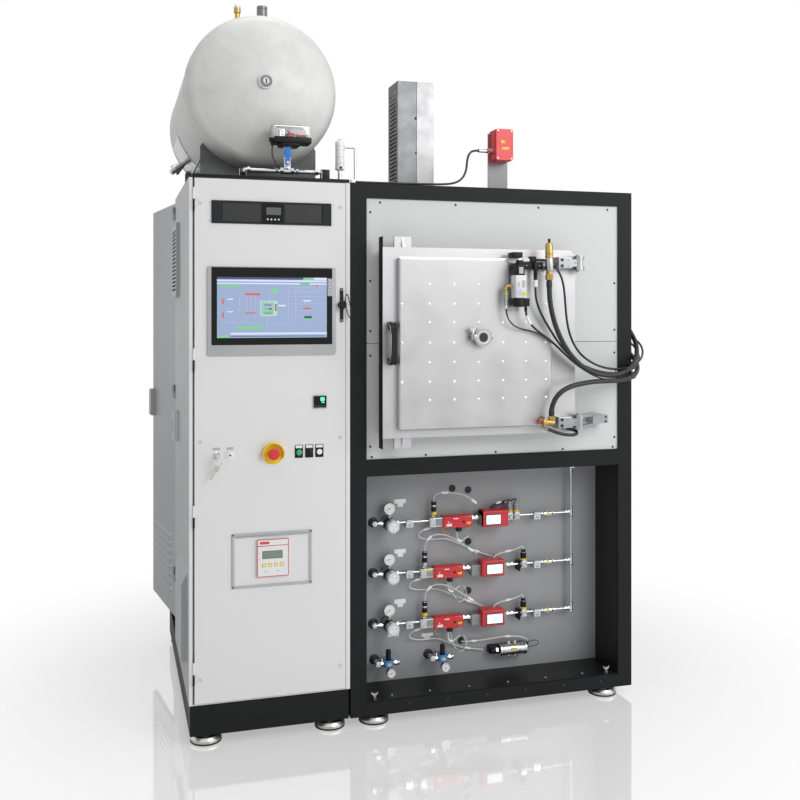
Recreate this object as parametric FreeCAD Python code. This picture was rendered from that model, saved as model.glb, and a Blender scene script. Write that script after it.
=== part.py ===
import FreeCAD, Part
import math
import os

from FreeCAD import Vector

# Vacuum chamber furnace: control cabinet, framed chamber with a hinged door, gas panel and roof tank.
# Lengths are in millimetres. While the pieces are modelled, X runs right from the left side of the
# cabinet, Y runs back from the common front plane, and Z runs up from the floor. The finished pieces
# are moved so that the origin is on the floor under the middle of the machine.

# Overall layout
machine_depth = 1300.0
machine_top = 2134.0
base_height = 40.0
skin = 2.0
running_gap = 0.3
pin_clearance = 0.05

# Control cabinet
cabinet_width = 617.0
cabinet_depth = 800.0
plinth_height = 117.0
plinth_inset = 4.0
plinth_wall = 3.0
plinth_corner_length = 133.0
left_post_width = 13.0
right_post_width = 16.0
post_depth = 40.0
seal_lip_width = 6.0
seal_lip_setback = 26.0
cable_way_low = 400.0
cable_way_height = 300.0
cabinet_door_left = 21.0
cabinet_door_gap = 2.0
cabinet_door_thickness = 22.0
cabinet_door_skin = 2.0
cabinet_hinge_radius = 4.0
cabinet_hinge_setback = 2.0
cabinet_hinge_barrel = 42.0
cabinet_hinge_heights = (275.0, 862.0, 1450.0, 2052.0)

# Cabinet side fittings
louvre_cover_proud = 15.0
louvre_cover_front = 507.0
louvre_cover_back = 790.0
louvre_cover_low = 1692.0
louvre_cover_high = 2006.0
louvre_slot_height = 9.0
louvre_slot_count = 16
hood_proud = 22.0
hood_front = 100.0
hood_back = 430.0
hood_low = 290.0
hood_high = 628.0
hood_slope = 46.0
pull_height = 130.0
pull_width = 44.0
pull_proud = 22.0
side_pull_front = 560.0
side_pull_low = 1075.0

# Power cabinet and service door
service_frame_width = 22.0
service_door_thickness = 20.0
service_door_low = 250.0
service_door_high = 2118.0
service_door_gap = 4.0
service_door_ajar = 9.0
service_hinge_radius = 6.0
service_hinge_standoff = 8.0
service_hinge_barrel = 30.0
service_hinge_heights = (420.0, 1240.0, 2040.0)
grille_start = 86.0
grille_length = 336.0
grille_low = 340.0
grille_high = 625.0
grille_slot_count = 8

# Touch panel, rack unit and instruments in the cabinet door
screen_left = 68.0
screen_width = 491.0
screen_low = 1463.0
screen_height = 337.0
screen_bezel = 6.0
screen_body_depth = 62.0
screen_body_inset = 22.0
rack_left = 83.0
rack_width = 459.0
rack_low = 1962.0
rack_height = 86.0
rack_bezel = 4.0
rack_depth = 95.0
rack_window_width = 74.0
controller_left = 471.0
controller_size = 52.0
controller_low = 1255.0
controller_bezel = 5.0
controller_depth = 80.0
alarm_window_left = 159.0
alarm_window_width = 305.0
alarm_window_low = 583.0
alarm_window_height = 206.0
alarm_frame_proud = 3.0
alarm_frame_border = 9.0
keypad_left = 252.0
keypad_width = 123.0
keypad_low = 620.0
keypad_height = 144.0
keypad_proud = 8.0
keypad_depth = 50.0
keypad_lip = 5.0

# Operator controls in the cabinet door
control_height = 1088.0
key_switch_x = 101.0
round_button_x = 152.0
emergency_x = 315.0
green_button_x = 415.0
button_pitch = 40.0
bezel_radius = 14.5
bezel_proud = 3.0
button_radius = 10.5
button_proud = 7.0
button_travel = 3.0
button_seat_depth = 12.0
holder_width = 31.0
holder_height = 49.0
holder_proud = 1.5
emergency_radius = 22.0
emergency_proud = 34.0
emergency_cap = 15.0
emergency_travel = 6.0
shroud_radius = 42.0
shroud_height = 20.0
shroud_wall = 4.0
shroud_opening = 17.0
switch_hole_radius = 11.2
lock_x = 583.0
lock_z = 1655.0
lock_plate_width = 13.0
lock_plate_height = 132.0
lock_knob_radius = 17.0
lock_knob_proud = 26.0

# Furnace frame
frame_left = 620.0
frame_width = 1228.0
post_size = 64.0
tube_wall = 3.0
top_rail = 57.0
mid_rail = 66.0
bottom_rail = 54.0
mid_rail_low = 982.0
vessel_rail_front = 300.0
vessel_rail_back = 900.0
pump_rail_front = 400.0
pump_rail_back = 796.0
foot_radius = 59.0
foot_pad = 26.0
foot_stem_radius = 12.0
foot_inset = 108.0
cabinet_foot_inset = 68.0
foot_setback = 60.0

# Panels on the frame
front_panel_setback = 6.0
front_panel_thickness = 3.0
front_panel_seam = 1504.0
front_panel_seam_gap = 2.0
bay_depth = 194.0
gas_panel_thickness = 3.0
vent_slot_height = 12.0
vent_slot_count = 7

# Chamber vessel
opening_centre_x = 1104.0
opening_width = 640.0
opening_height = 640.0
chamber_centre_z = 1505.0
chamber_depth = 1050.0
vessel_wall = 20.0
flange_left = 735.0
flange_right = 1532.0
flange_lip = 21.0
flange_thickness = 34.0
vessel_rib_width = 30.0
vessel_rib_proud = 18.0
vessel_rib_count = 4
vessel_port_drop = 40.0
vessel_foot_width = 60.0
seal_thickness = 25.0
seal_width = 30.0
insulation_thickness = 62.0
insulation_setback = 62.0
element_thickness = 3.0
element_stand_off = 12.0
element_bar = 28.0
element_loops = 6
hearth_height = 66.0
hearth_thickness = 8.0
hearth_margin = 40.0
hearth_post_radius = 9.0

# Chamber door
door_left = 726.0
door_right = 1541.0
door_height = 740.0
door_thickness = 26.0
door_corner_cut = 22.0
jacket_left = 783.0
jacket_right = 1426.0
jacket_height = 668.0
jacket_proud = 29.0
jacket_round = 8.0
lug_left = 776.0
lug_width = 69.0
lug_height = 42.0
lug_thickness = 14.0
gusset_thickness = 8.0
handle_x = 757.0
handle_z = 1507.0
handle_length = 166.0
handle_reach = 52.0
handle_width = 24.0
handle_bar = 15.0
handle_foot_length = 26.0
viewport_x = 1118.0
viewport_z = 1529.0
viewport_tube_radius = 22.0
viewport_flange_radius = 27.5
viewport_clamp_radius = 35.0
viewport_reach = 24.0
viewport_glass_radius = 20.0
plug_inset = 72.0
plug_side_clearance = 30.0
plug_depth = 55.0
chamber_hinge_x = 1540.0
chamber_hinge_setback = 120.0
chamber_hinge_top = 1826.0
chamber_hinge_bottom = 1183.0
hinge_pin_radius = 8.0
hinge_eye_radius = 17.0
hinge_ear_radius = 20.0
hinge_ear_thickness = 14.0
hinge_eye_height = 30.0
hinge_block_width = 62.0
hinge_block_left = 1444.0

# Door instruments and hoses
gauge_x = 1259.0
gauge_base_z = 1648.0
gauge_radius = 21.0
gauge_height = 125.0
gauge_reach = 40.0
valve_x = 1390.0
valve_low = 1755.0
valve_body_radius = 15.0
valve_body_height = 88.0
valve_cap_height = 60.0
valve_reach = 48.0
manifold_z = 1812.0
manifold_height = 26.0
manifold_left = 1274.0
manifold_width = 97.0
manifold_depth = 30.0
plug_x = 1338.0
plug_drop = 84.0
socket_x = 1346.0
socket_rise = 24.0
connector_x = 1290.0
connector_low = 1650.0
air_fitting_x = 1211.0
air_fitting_low = 1656.0
elbow_x = 1400.0
elbow_z = 1190.0
elbow_rise = 24.0
hose_diameter = 20.0
cable_diameter = 9.0
air_line_diameter = 6.0
lead_diameter = 6.0
fitting_reach = 18.0

# Gas panel
row_top = 757.0
row_pitch = 209.0
row_count = 3
row_standoff = 35.0
line_radius = 5.0
riser_x = 1646.0
riser_top = 949.0
inlet_x = 762.0
regulator_x = 822.0
regulator_drop = 3.0
regulator_body_radius = 29.0
regulator_body_depth = 62.0
regulator_knob_radius = 27.0
regulator_knob_depth = 42.0
gauge_face_radius = 25.0
gauge_face_rise = 61.0
gauge_face_offset = 0.0
line_bracket_x = 908.0
line_bracket_size = 30.0
line_bracket_thickness = 4.0
transmitter_offset = 36.0
transmitter_radius = 11.0
transmitter_top = 82.0
mixer_left = 1012.0
mixer_width = 128.0
mixer_height = 52.0
mixer_depth = 40.0
first_row_shift = 40.0
meter_left = 1177.0
meter_width = 160.0
meter_height = 50.0
meter_depth = 42.0
meter_head_height = 66.0
solenoid_radius = 12.0
solenoid_height = 48.0
end_bracket_x = 1481.0
outlet_valve_x = 1421.0
first_outlet_valve_xs = (1357.0, 1388.0)
check_valve_x = 1533.0
check_valve_radius = 10.0
check_valve_length = 52.0
filter_xs = (812.0, 1046.0)
filter_z = 190.0
filter_body_radius = 20.0
filter_body_height = 26.0
filter_knob_radius = 10.5
filter_knob_height = 42.0
filter_dial_radius = 19.0
filter_dial_drop = 32.0
filter_port_reach = 44.0
filter_standoff = 60.0
shutoff_left = 1268.0
shutoff_width = 178.0
shutoff_z = 188.0
shutoff_height = 50.0
shutoff_depth = 62.0
bay_bolt_inset = 40.0

# Vacuum pump
pump_left = 900.0
pump_length = 250.0
pump_width = 240.0
pump_height = 250.0
pump_centre_y = 630.0
motor_radius = 92.0
motor_length = 300.0
pump_base_thickness = 12.0
pump_port_x = 1000.0
vacuum_pipe_radius = 40.0
vacuum_pipe_wall = 3.0
vacuum_flange_radius = 65.0
vacuum_flange_thickness = 12.0

# Roof: tank, pipework, torch and alarm box
tank_radius = 303.0
tank_wall = 5.0
tank_x = 300.0
tank_z = 2510.0
tank_front = 200.0
tank_length = 965.0
tank_knuckle_share = 0.1
saddle_width = 470.0
saddle_thickness = 14.0
saddle_rise = 190.0
saddle_base_width = 80.0
saddle_base_thickness = 10.0
saddle_inset = 70.0
nozzle_brass_x = 231.0
nozzle_steel_x = 335.0
nozzle_y = 420.0
manifold_pipe_y = 45.0
manifold_pipe_z = 2174.0
manifold_pipe_radius = 8.0
manifold_pipe_left = 214.0
manifold_pipe_right = 510.0
controller_stem_x = 376.0
tank_controller_left = 311.0
tank_controller_width = 158.0
tank_controller_low = 2268.0
tank_controller_base = 34.0
tank_controller_cover = 44.0
tank_controller_depth = 80.0
valve_handle_z = 2210.0
valve_handle_length = 60.0
bubbler_x = 590.0
bubbler_y = 60.0
bubbler_radius = 17.0
bubbler_low = 2188.0
bubbler_height = 117.0
bubbler_pipe_x = 652.0
bubbler_pipe_z = 2281.0
torch_left = 927.0
torch_width = 166.0
torch_front = 400.0
torch_depth = 148.0
torch_top = 2642.0
torch_wall = 3.0
torch_slot_count = 24
alarm_left = 1238.0
alarm_width = 76.0
alarm_front = 20.0
alarm_depth = 78.0
alarm_low = 2252.0
alarm_height = 130.0
alarm_bracket_width = 88.0
alarm_bracket_thickness = 4.0

# Derived places
plinth_top = base_height + plinth_height
cabinet_floor = plinth_top
flange_height = opening_height + 2 * (vessel_wall + flange_lip)
cabinet_right_post = cabinet_width - right_post_width
cabinet_door_right = cabinet_right_post - cabinet_door_gap
cabinet_door_low = cabinet_floor + skin + cabinet_door_gap
cabinet_door_high = machine_top - skin - cabinet_door_gap
frame_right = frame_left + frame_width
bay_left = frame_left + post_size
bay_right = frame_right - post_size
frame_top = machine_top - skin
upper_low = mid_rail_low + mid_rail
upper_high = frame_top - top_rail
lower_low = base_height + bottom_rail
gas_face = front_panel_setback + bay_depth
opening_left = opening_centre_x - opening_width / 2
opening_right = opening_centre_x + opening_width / 2
opening_low = chamber_centre_z - opening_height / 2
opening_high = chamber_centre_z + opening_height / 2
flange_face = -flange_thickness
seal_face = flange_face - seal_thickness
door_back = seal_face - running_gap
door_front = door_back - door_thickness
jacket_front = door_front - jacket_proud
chamber_hinge_y = -chamber_hinge_setback
row_y = gas_face - row_standoff


def block(x0, x1, y0, y1, z0, z1):
    """Box between two corners."""
    return Part.makeBox(x1 - x0, y1 - y0, z1 - z0, Vector(x0, y0, z0))


def soft_block(corners, direction, radius):
    """Box whose four edges along one axis direction are rounded."""
    solid = block(*corners)
    axis = Vector(*direction)
    edges = [edge for edge in solid.Edges if abs(edge.tangentAt(edge.FirstParameter).dot(axis)) > 0.9]
    return solid.makeFillet(radius, edges)


def rod(start, end, radius):
    """Round bar between two points."""
    first = Vector(*start)
    run = Vector(*end) - first
    return Part.makeCylinder(radius, run.Length, first, run)


def hollow_rod(start, end, radius, bore):
    """Round tube between two points."""
    return rod(start, end, radius).cut(rod(start, end, bore))


def turned(profile, base, direction):
    """Solid of revolution from (radius, height) corners, standing on base along direction."""
    points = [Vector(radius, 0, height) for radius, height in profile]
    face = Part.Face(Part.makePolygon(points + [points[0]]))
    solid = face.revolve(Vector(0, 0, 0), Vector(0, 0, 1), 360)
    turn = FreeCAD.Rotation(Vector(0, 0, 1), Vector(*direction))
    solid.Placement = FreeCAD.Placement(Vector(*base), turn)
    return solid


def prism(points, thickness):
    """Flat outline given by corner points, carried along a thickness vector."""
    corners = [Vector(*point) for point in points]
    face = Part.Face(Part.makePolygon(corners + [corners[0]]))
    return face.extrude(Vector(*thickness))


def square_tube(corners, direction, wall):
    """Hollow section between two corners, open at both ends along one axis direction."""
    x0, x1, y0, y1, z0, z1 = corners
    inset = [wall * (1 - part) for part in direction]
    inner = block(x0 + inset[0], x1 - inset[0], y0 + inset[1], y1 - inset[1], z0 + inset[2], z1 - inset[2])
    return block(*corners).cut(inner)


def hinge_halves(x, y, z, radius, barrel):
    """Fixed barrel with its pin, and the moving barrel that turns on that pin."""
    pin = radius / 2
    fixed = rod((x, y, z), (x, y, z + barrel), radius)
    fixed = fixed.fuse(rod((x, y, z + barrel), (x, y, z + 2 * barrel), pin))
    low = z + barrel + running_gap
    moving = hollow_rod((x, y, low), (x, y, z + 2 * barrel), radius, pin + pin_clearance)
    return fixed, moving


def slots_in_x(solid, y0, y1, z0, z1, x0, x1, height, count):
    """Cut an even column of level slots through a wall that faces along X."""
    pitch = (z1 - z0) / count
    for index in range(count):
        low = z0 + pitch * (index + 0.5) - height / 2
        solid = solid.cut(block(x0, x1, y0, y1, low, low + height))
    return solid


def slots_in_y(solid, x0, x1, z0, z1, y0, y1, height, count):
    """Cut an even column of level slots through a wall that faces along Y."""
    pitch = (z1 - z0) / count
    for index in range(count):
        low = z0 + pitch * (index + 0.5) - height / 2
        solid = solid.cut(block(x0, x1, y0, y1, low, low + height))
    return solid


# Control cabinet

def cabinet_hinge_places():
    """Pivot of the cabinet door and the base height of each of its hinges."""
    x = left_post_width + cabinet_hinge_radius
    y = -cabinet_hinge_setback
    return x, y, [height - cabinet_hinge_barrel for height in cabinet_hinge_heights]


def cable_way(front, back):
    """Opening for the cables between the two cabinets, through the walls that meet there."""
    low = cabinet_floor + cable_way_low
    return cabinet_width * 0.3, cabinet_width * 0.7, front, back, low, low + cable_way_height


def bars_round(corners, hole):
    """Four bars that frame a rectangular hole; the lower and the upper one run the full length."""
    x0, x1, y0, y1, z0, z1 = corners
    left, right, front, back, low, high = hole
    bars = [block(x0, x1, y0, y1, z0, low), block(x0, x1, y0, y1, high, z1)]
    if left > x0:
        bars.append(block(x0, left, y0, y1, low, high))
        bars.append(block(right, x1, y0, y1, low, high))
    else:
        bars.append(block(x0, x1, y0, front, low, high))
        bars.append(block(x0, x1, back, y1, low, high))
    return bars


def cabinet_shell():
    """Welded carcass of floor, roof, sides, front posts, seal lips and the back round the cable way."""
    low = cabinet_floor + skin
    high = machine_top - skin
    back = cabinet_depth - skin
    pieces = [
        block(0, cabinet_width, 0, cabinet_depth, cabinet_floor, low),
        block(0, cabinet_width, 0, cabinet_depth, high, machine_top),
        block(0, skin, post_depth, cabinet_depth, low, high),
        block(cabinet_width - skin, cabinet_width, post_depth, cabinet_depth, low, high),
        block(0, left_post_width, 0, post_depth, low, high),
        block(cabinet_right_post, cabinet_width, 0, post_depth, low, high),
    ]
    pieces += bars_round((skin, cabinet_width - skin, back, cabinet_depth, low, high),
                         cable_way(back, cabinet_depth))
    lip = seal_lip_width
    pieces += bars_round(
        (left_post_width, cabinet_right_post, seal_lip_setback, post_depth, low, high),
        (left_post_width + lip, cabinet_right_post - lip, seal_lip_setback, post_depth, low + lip,
         high - lip))
    return pieces


def cabinet_hinges():
    """Fixed hinge halves of the cabinet door, with their leaves on the front of the left post."""
    x, y, bases = cabinet_hinge_places()
    pieces = []
    for base in bases:
        fixed, _ = hinge_halves(x, y, base, cabinet_hinge_radius, cabinet_hinge_barrel)
        web = block(left_post_width - 4, x, y - 1, y + 1, base, base + cabinet_hinge_barrel)
        root = block(left_post_width - 4, left_post_width, y - 1, 0, base, base + cabinet_hinge_barrel)
        pieces.append(fixed.fuse([web, root]))
    return pieces


def louvre_cover():
    """Pressed louvre box on the side of the cabinet, open slots one above the other."""
    cover = block(-louvre_cover_proud, 0, louvre_cover_front, louvre_cover_back, louvre_cover_low,
                  louvre_cover_high)
    inner = block(
        -louvre_cover_proud + skin, 1,
        louvre_cover_front + skin, louvre_cover_back - skin, louvre_cover_low + skin,
        louvre_cover_high - skin)
    cover = cover.cut(inner)
    edge = 24.0
    return slots_in_x(
        cover, louvre_cover_front + edge, louvre_cover_back - edge,
        louvre_cover_low + edge, louvre_cover_high - edge,
        -louvre_cover_proud - 1, -louvre_cover_proud + skin + 1, louvre_slot_height, louvre_slot_count)


def side_hood():
    """Sloped weather hood over the lower air inlet, open at its underside."""
    outline = [
        (0, hood_front, hood_low),
        (-hood_proud, hood_front, hood_low),
        (-hood_proud, hood_front, hood_high - hood_slope),
        (0, hood_front, hood_high),
    ]
    hood = prism(outline, (0, hood_back - hood_front, 0))
    inner_outline = [
        (1, hood_front + skin, hood_low - 1),
        (-hood_proud + skin, hood_front + skin, hood_low - 1),
        (-hood_proud + skin, hood_front + skin, hood_high - hood_slope - skin),
        (1, hood_front + skin, hood_high - 2 * skin),
    ]
    return hood.cut(prism(inner_outline, (0, hood_back - hood_front - 2 * skin, 0)))


def side_pull():
    """Moulded pull handle that the side panel is lifted off by."""
    return soft_block(
        (-pull_proud, 0, side_pull_front, side_pull_front + pull_width,
         side_pull_low, side_pull_low + pull_height), (0, 1, 0), 6.0)


def service_pivot():
    """Hinge line of the service door, as X and Y."""
    return -service_hinge_standoff, cabinet_depth + 1.0


def service_hinge_fixed():
    """Fixed hinge halves of the service door, with their leaves on the cabinet's side."""
    x, y = service_pivot()
    pieces = []
    for height in service_hinge_heights:
        fixed, _ = hinge_halves(x, y, height, service_hinge_radius, service_hinge_barrel)
        leaf = block(x, 0, y - 24, y, height, height + service_hinge_barrel)
        pieces.append(fixed.fuse(leaf))
    return pieces


def cabinet_body():
    """Carcass with its hinge halves and the fittings on its left side."""
    pieces = cabinet_shell() + cabinet_hinges()
    pieces += [louvre_cover(), side_hood(), side_pull()]
    return pieces + service_hinge_fixed()


def cabinet_plinth():
    """Four corner castings and the trim strips between them, under both cabinets."""
    x0 = plinth_inset
    x1 = cabinet_width - plinth_inset
    y0 = plinth_inset
    y1 = machine_depth - plinth_inset
    long = plinth_corner_length
    pieces = []
    for near_x, far_x in ((x0, x0 + long), (x1, x1 - long)):
        for near_y, far_y in ((y0, y0 + long), (y1, y1 - long)):
            low_x, high_x = sorted((near_x, far_x))
            low_y, high_y = sorted((near_y, far_y))
            corner = block(low_x, high_x, low_y, high_y, base_height, plinth_top)
            step_x = plinth_wall if near_x < far_x else -plinth_wall
            step_y = plinth_wall if near_y < far_y else -plinth_wall
            cut_x = sorted((near_x + step_x, far_x + step_x * 9))
            cut_y = sorted((near_y + step_y, far_y + step_y * 9))
            well = block(cut_x[0], cut_x[1], cut_y[0], cut_y[1], base_height + plinth_wall, plinth_top + 1)
            pieces.append(corner.cut(well))
    wall = plinth_wall
    for low_y in (y0, y1 - wall):
        pieces.append(block(x0 + long, x1 - long, low_y, low_y + wall, base_height, plinth_top))
    for low_x in (x0, x1 - wall):
        pieces.append(block(low_x, low_x + wall, y0 + long, y1 - long, base_height, plinth_top))
    return pieces


def foot(x, y):
    """Machine foot: rubber-soled pad with a coned top and a threaded stem."""
    profile = [
        (0, 0), (foot_radius - 3, 0), (foot_radius, 3), (foot_radius, foot_pad - 10),
        (foot_radius - 8, foot_pad), (foot_stem_radius, foot_pad),
        (foot_stem_radius, base_height), (0, base_height),
    ]
    return turned(profile, (x, y, 0), (0, 0, 1))


def levelling_feet():
    pieces = []
    back = machine_depth - foot_setback
    for y in (foot_setback, back):
        for x in (cabinet_foot_inset, cabinet_width - cabinet_foot_inset):
            pieces.append(foot(x, y))
        for x in (frame_left + foot_inset, frame_right - foot_inset):
            pieces.append(foot(x, y))
    return pieces


def mounting_plate():
    """Steel plate on four studs that carries rails, contactors, breakers, a controller and ducts."""
    plate_y = cabinet_depth - 100.0
    thickness = 3.0
    left = 45.0
    right = cabinet_width - 45.0
    low = cabinet_floor + 60.0
    high = machine_top - 60.0
    plate = block(left, right, plate_y, plate_y + thickness, low, high)
    pieces = [plate]
    for x in (left + 25, right - 25):
        for z in (low + 25, high - 25):
            pieces.append(rod((x, plate_y + thickness, z), (x, cabinet_depth - skin, z), 6.0))
    rail_depth = 8.0
    duct_depth = 60.0
    row_gap = 330.0
    for index in range(5):
        z = low + 150 + index * row_gap
        rail = block(left + 60, right - 60, plate_y - rail_depth, plate_y, z, z + 35)
        duct = block(left + 20, right - 20, plate_y - duct_depth, plate_y, z + 150, z + 200)
        duct = slots_in_y(duct, left + 26, right - 26, z + 150, z + 200, plate_y - duct_depth - 1,
                          plate_y - duct_depth + 3, 8.0, 3)
        pieces.extend((rail, duct))
        module_count = (8, 5, 4, 6, 9)[index]
        module_depth = (70, 95, 110, 80, 60)[index]
        module_space = (right - left - 140) / module_count
        for step in range(module_count):
            x = left + 70 + step * module_space
            body = block(x, x + module_space - 4, plate_y - rail_depth - module_depth, plate_y - rail_depth,
                         z - 35, z + 75)
            nose = block(x + 4, x + module_space - 8, plate_y - rail_depth - module_depth - 14,
                         plate_y - rail_depth - module_depth, z - 8, z + 46)
            pieces.append(body.fuse(nose))
    return pieces


def power_cabinet():
    """Rear carcass that houses the heating transformer, open on the left behind the service door."""
    left = service_frame_width + skin
    low = cabinet_floor + skin
    high = machine_top - skin
    front = cabinet_depth + skin
    back = machine_depth - skin
    border = service_frame_width
    pieces = [
        block(left, cabinet_width, cabinet_depth, machine_depth, cabinet_floor, low),
        block(left, cabinet_width, cabinet_depth, machine_depth, high, machine_top),
        block(cabinet_width - skin, cabinet_width, front, back, low, high),
        block(left, cabinet_width, back, machine_depth, low, high),
    ]
    pieces += bars_round((left, cabinet_width, cabinet_depth, front, low, high),
                         cable_way(cabinet_depth, front))
    edge = left + 2 * skin
    pieces += bars_round(
        (left, edge, front, back, low, high),
        (left, edge, cabinet_depth + border, machine_depth - border, cabinet_floor + border,
         machine_top - border))
    return pieces


def transformer():
    """Three-legged laminated core with three windings, on two angle feet."""
    core_width = 400.0
    core_height = 360.0
    core_depth = 110.0
    leg = 66.0
    foot_height = 30.0
    left = (cabinet_width - core_width) / 2
    front = (cabinet_depth + machine_depth - core_depth) / 2
    low = cabinet_floor + skin + foot_height
    core = block(left, left + core_width, front, front + core_depth, low, low + core_height)
    window_width = (core_width - 3 * leg) / 2
    for index in range(2):
        x = left + leg + index * (leg + window_width)
        core = core.cut(block(x, x + window_width, front - 1, front + core_depth + 1, low + leg,
                              low + core_height - leg))
    pieces = [core]
    wrap = 30.0
    slack = running_gap
    for index in range(3):
        x = left + index * (leg + window_width)
        coil = soft_block(
            (x - wrap, x + leg + wrap, front - wrap, front + core_depth + wrap,
             low + leg + slack, low + core_height - leg - slack), (0, 0, 1), 18.0)
        hole = block(x - slack, x + leg + slack, front - slack, front + core_depth + slack, low,
                     low + core_height)
        pieces.append(coil.cut(hole))
    for y in (front + 5, front + core_depth - 35):
        pieces.append(block(left - 20, left + core_width + 20, y, y + 30, low - foot_height, low))
    return pieces


# Pieces of the cabinet door

def cabinet_door_panel():
    """Folded door skin with cut-outs for the screen, rack unit, instruments and controls."""
    x0 = cabinet_door_left
    x1 = cabinet_door_right
    z0 = cabinet_door_low
    z1 = cabinet_door_high
    panel = block(x0, x1, 0, cabinet_door_thickness, z0, z1)
    thick = cabinet_door_skin
    panel = panel.cut(block(x0 + thick, x1 - thick, thick, cabinet_door_thickness + 1, z0 + thick,
                            z1 - thick))
    inset = screen_body_inset
    cuts = [
        (screen_left + inset, screen_left + screen_width - inset, screen_low + inset,
         screen_low + screen_height - inset),
        (rack_left + 3, rack_left + rack_width - 3, rack_low + 3, rack_low + rack_height - 3),
        (controller_left + 3, controller_left + controller_size - 3, controller_low + 3,
         controller_low + controller_size - 3),
        (keypad_left + keypad_lip, keypad_left + keypad_width - keypad_lip,
         keypad_low + keypad_lip, keypad_low + keypad_height - keypad_lip),
    ]
    for low_x, high_x, low_z, high_z in cuts:
        panel = panel.cut(block(low_x, high_x, -1, thick + 1, low_z, high_z))
    for x in control_places():
        panel = panel.cut(rod((x, -1, control_height), (x, thick + 1, control_height), switch_hole_radius))
    lock_hole = rod((lock_x, -1, lock_z), (lock_x, thick + 1, lock_z), switch_hole_radius / 2)
    panel = panel.cut(lock_hole)
    x, y, bases = cabinet_hinge_places()
    for base in bases:
        _, moving = hinge_halves(x, y, base, cabinet_hinge_radius, cabinet_hinge_barrel)
        low = base + cabinet_hinge_barrel + running_gap
        high = base + 2 * cabinet_hinge_barrel
        leaf = block(x + cabinet_hinge_radius - 0.5, x0 + 14, y - 1, y + 1, low, high)
        tie = block(x0, x0 + 14, y, 1, low, high)
        panel = panel.fuse([moving, leaf, tie])
    return [panel]


def control_places():
    """X of every round control in the row, from left to right."""
    return [key_switch_x, round_button_x, emergency_x] + three_button_places()


def three_button_places():
    return [green_button_x + index * button_pitch for index in range(3)]


def rack_unit():
    """Two-unit rack front with ears, two vent fields, a display window and its steel box behind."""
    x0 = rack_left
    x1 = rack_left + rack_width
    z0 = rack_low
    z1 = rack_low + rack_height
    face = block(x0, x1, -rack_bezel, 0, z0, z1)
    middle = (x0 + x1) / 2
    window = block(middle - rack_window_width / 2, middle + rack_window_width / 2, -rack_bezel - 1,
                   -rack_bezel + 2, z0 + 6, z1 - 6)
    face = face.cut(window)
    for side in (-1, 1):
        centre = middle + side * (rack_window_width / 2 + 62)
        face = slots_in_y(face, centre - 50, centre + 50, z0 + 14, z1 - 14, -rack_bezel - 1,
                          -rack_bezel + 2, 5.0, 5)
    inset = 6.0
    body = block(x0 + inset, x1 - inset, 0, rack_depth, z0 + inset, z1 - inset)
    return [face.fuse(body)]


def touch_panel():
    """Industrial touch screen: rounded bezel, recessed glass and a finned body behind the door."""
    x0 = screen_left
    x1 = screen_left + screen_width
    z0 = screen_low
    z1 = screen_low + screen_height
    bezel = soft_block((x0, x1, -screen_bezel, 0, z0, z1), (0, 1, 0), 8.0)
    side_border = 15.0
    strip = 50.0
    glass = block(x0 + side_border, x1 - side_border, -screen_bezel - 1, -screen_bezel + 1.2,
                  z0 + strip, z1 - 4)
    bezel = bezel.cut(glass)
    inset = screen_body_inset + 1
    body = block(x0 + inset, x1 - inset, 0, screen_body_depth, z0 + inset, z1 - inset)
    for index in range(6):
        x = x0 + 80 + index * 60
        body = body.cut(block(x, x + 30, screen_body_depth - 12, screen_body_depth + 1, z0, z1))
    return [bezel.fuse(body)]


def panel_instruments():
    """Small process controller, and the alarm unit with its framed window."""
    x0 = controller_left
    x1 = controller_left + controller_size
    z0 = controller_low
    z1 = controller_low + controller_size
    controller = soft_block((x0, x1, -controller_bezel, 0, z0, z1), (0, 1, 0), 4.0)
    recess = block(x0 + 6, x1 - 6, -controller_bezel - 1, -controller_bezel + 1.5, z0 + 14, z1 - 8)
    controller = controller.cut(recess)
    behind = block(x0 + 4, x1 - 4, 0, controller_depth, z0 + 4, z1 - 4)
    left = alarm_window_left
    right = alarm_window_left + alarm_window_width
    low = alarm_window_low
    high = alarm_window_low + alarm_window_height
    border = alarm_frame_border
    frame = soft_block((left, right, -alarm_frame_proud, 0, low, high), (0, 1, 0), 6.0)
    frame = frame.cut(block(left + border, right - border, -alarm_frame_proud - 1, 1, low + border,
                            high - border))
    face = soft_block(
        (keypad_left, keypad_left + keypad_width, -keypad_proud, 0,
         keypad_low, keypad_low + keypad_height), (0, 1, 0), 5.0)
    inset = keypad_lip + 1
    case = block(keypad_left + inset, keypad_left + keypad_width - inset, 0, keypad_depth,
                 keypad_low + inset, keypad_low + keypad_height - inset)
    return [controller.fuse(behind), frame, face.fuse(case)]


def bezel_ring(x, radius):
    """Turned bezel that clamps a control into the door, with a bore for its plunger."""
    profile = [
        (button_radius + running_gap, -bezel_proud), (radius - 2, -bezel_proud), (radius, -bezel_proud + 2),
        (radius, 0), (switch_hole_radius - 0.2, 0), (switch_hole_radius - 0.2, button_seat_depth + 16),
        (0, button_seat_depth + 16), (0, button_seat_depth), (button_radius + running_gap, button_seat_depth),
    ]
    return turned(profile, (x, 0, control_height), (0, 1, 0))


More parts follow.
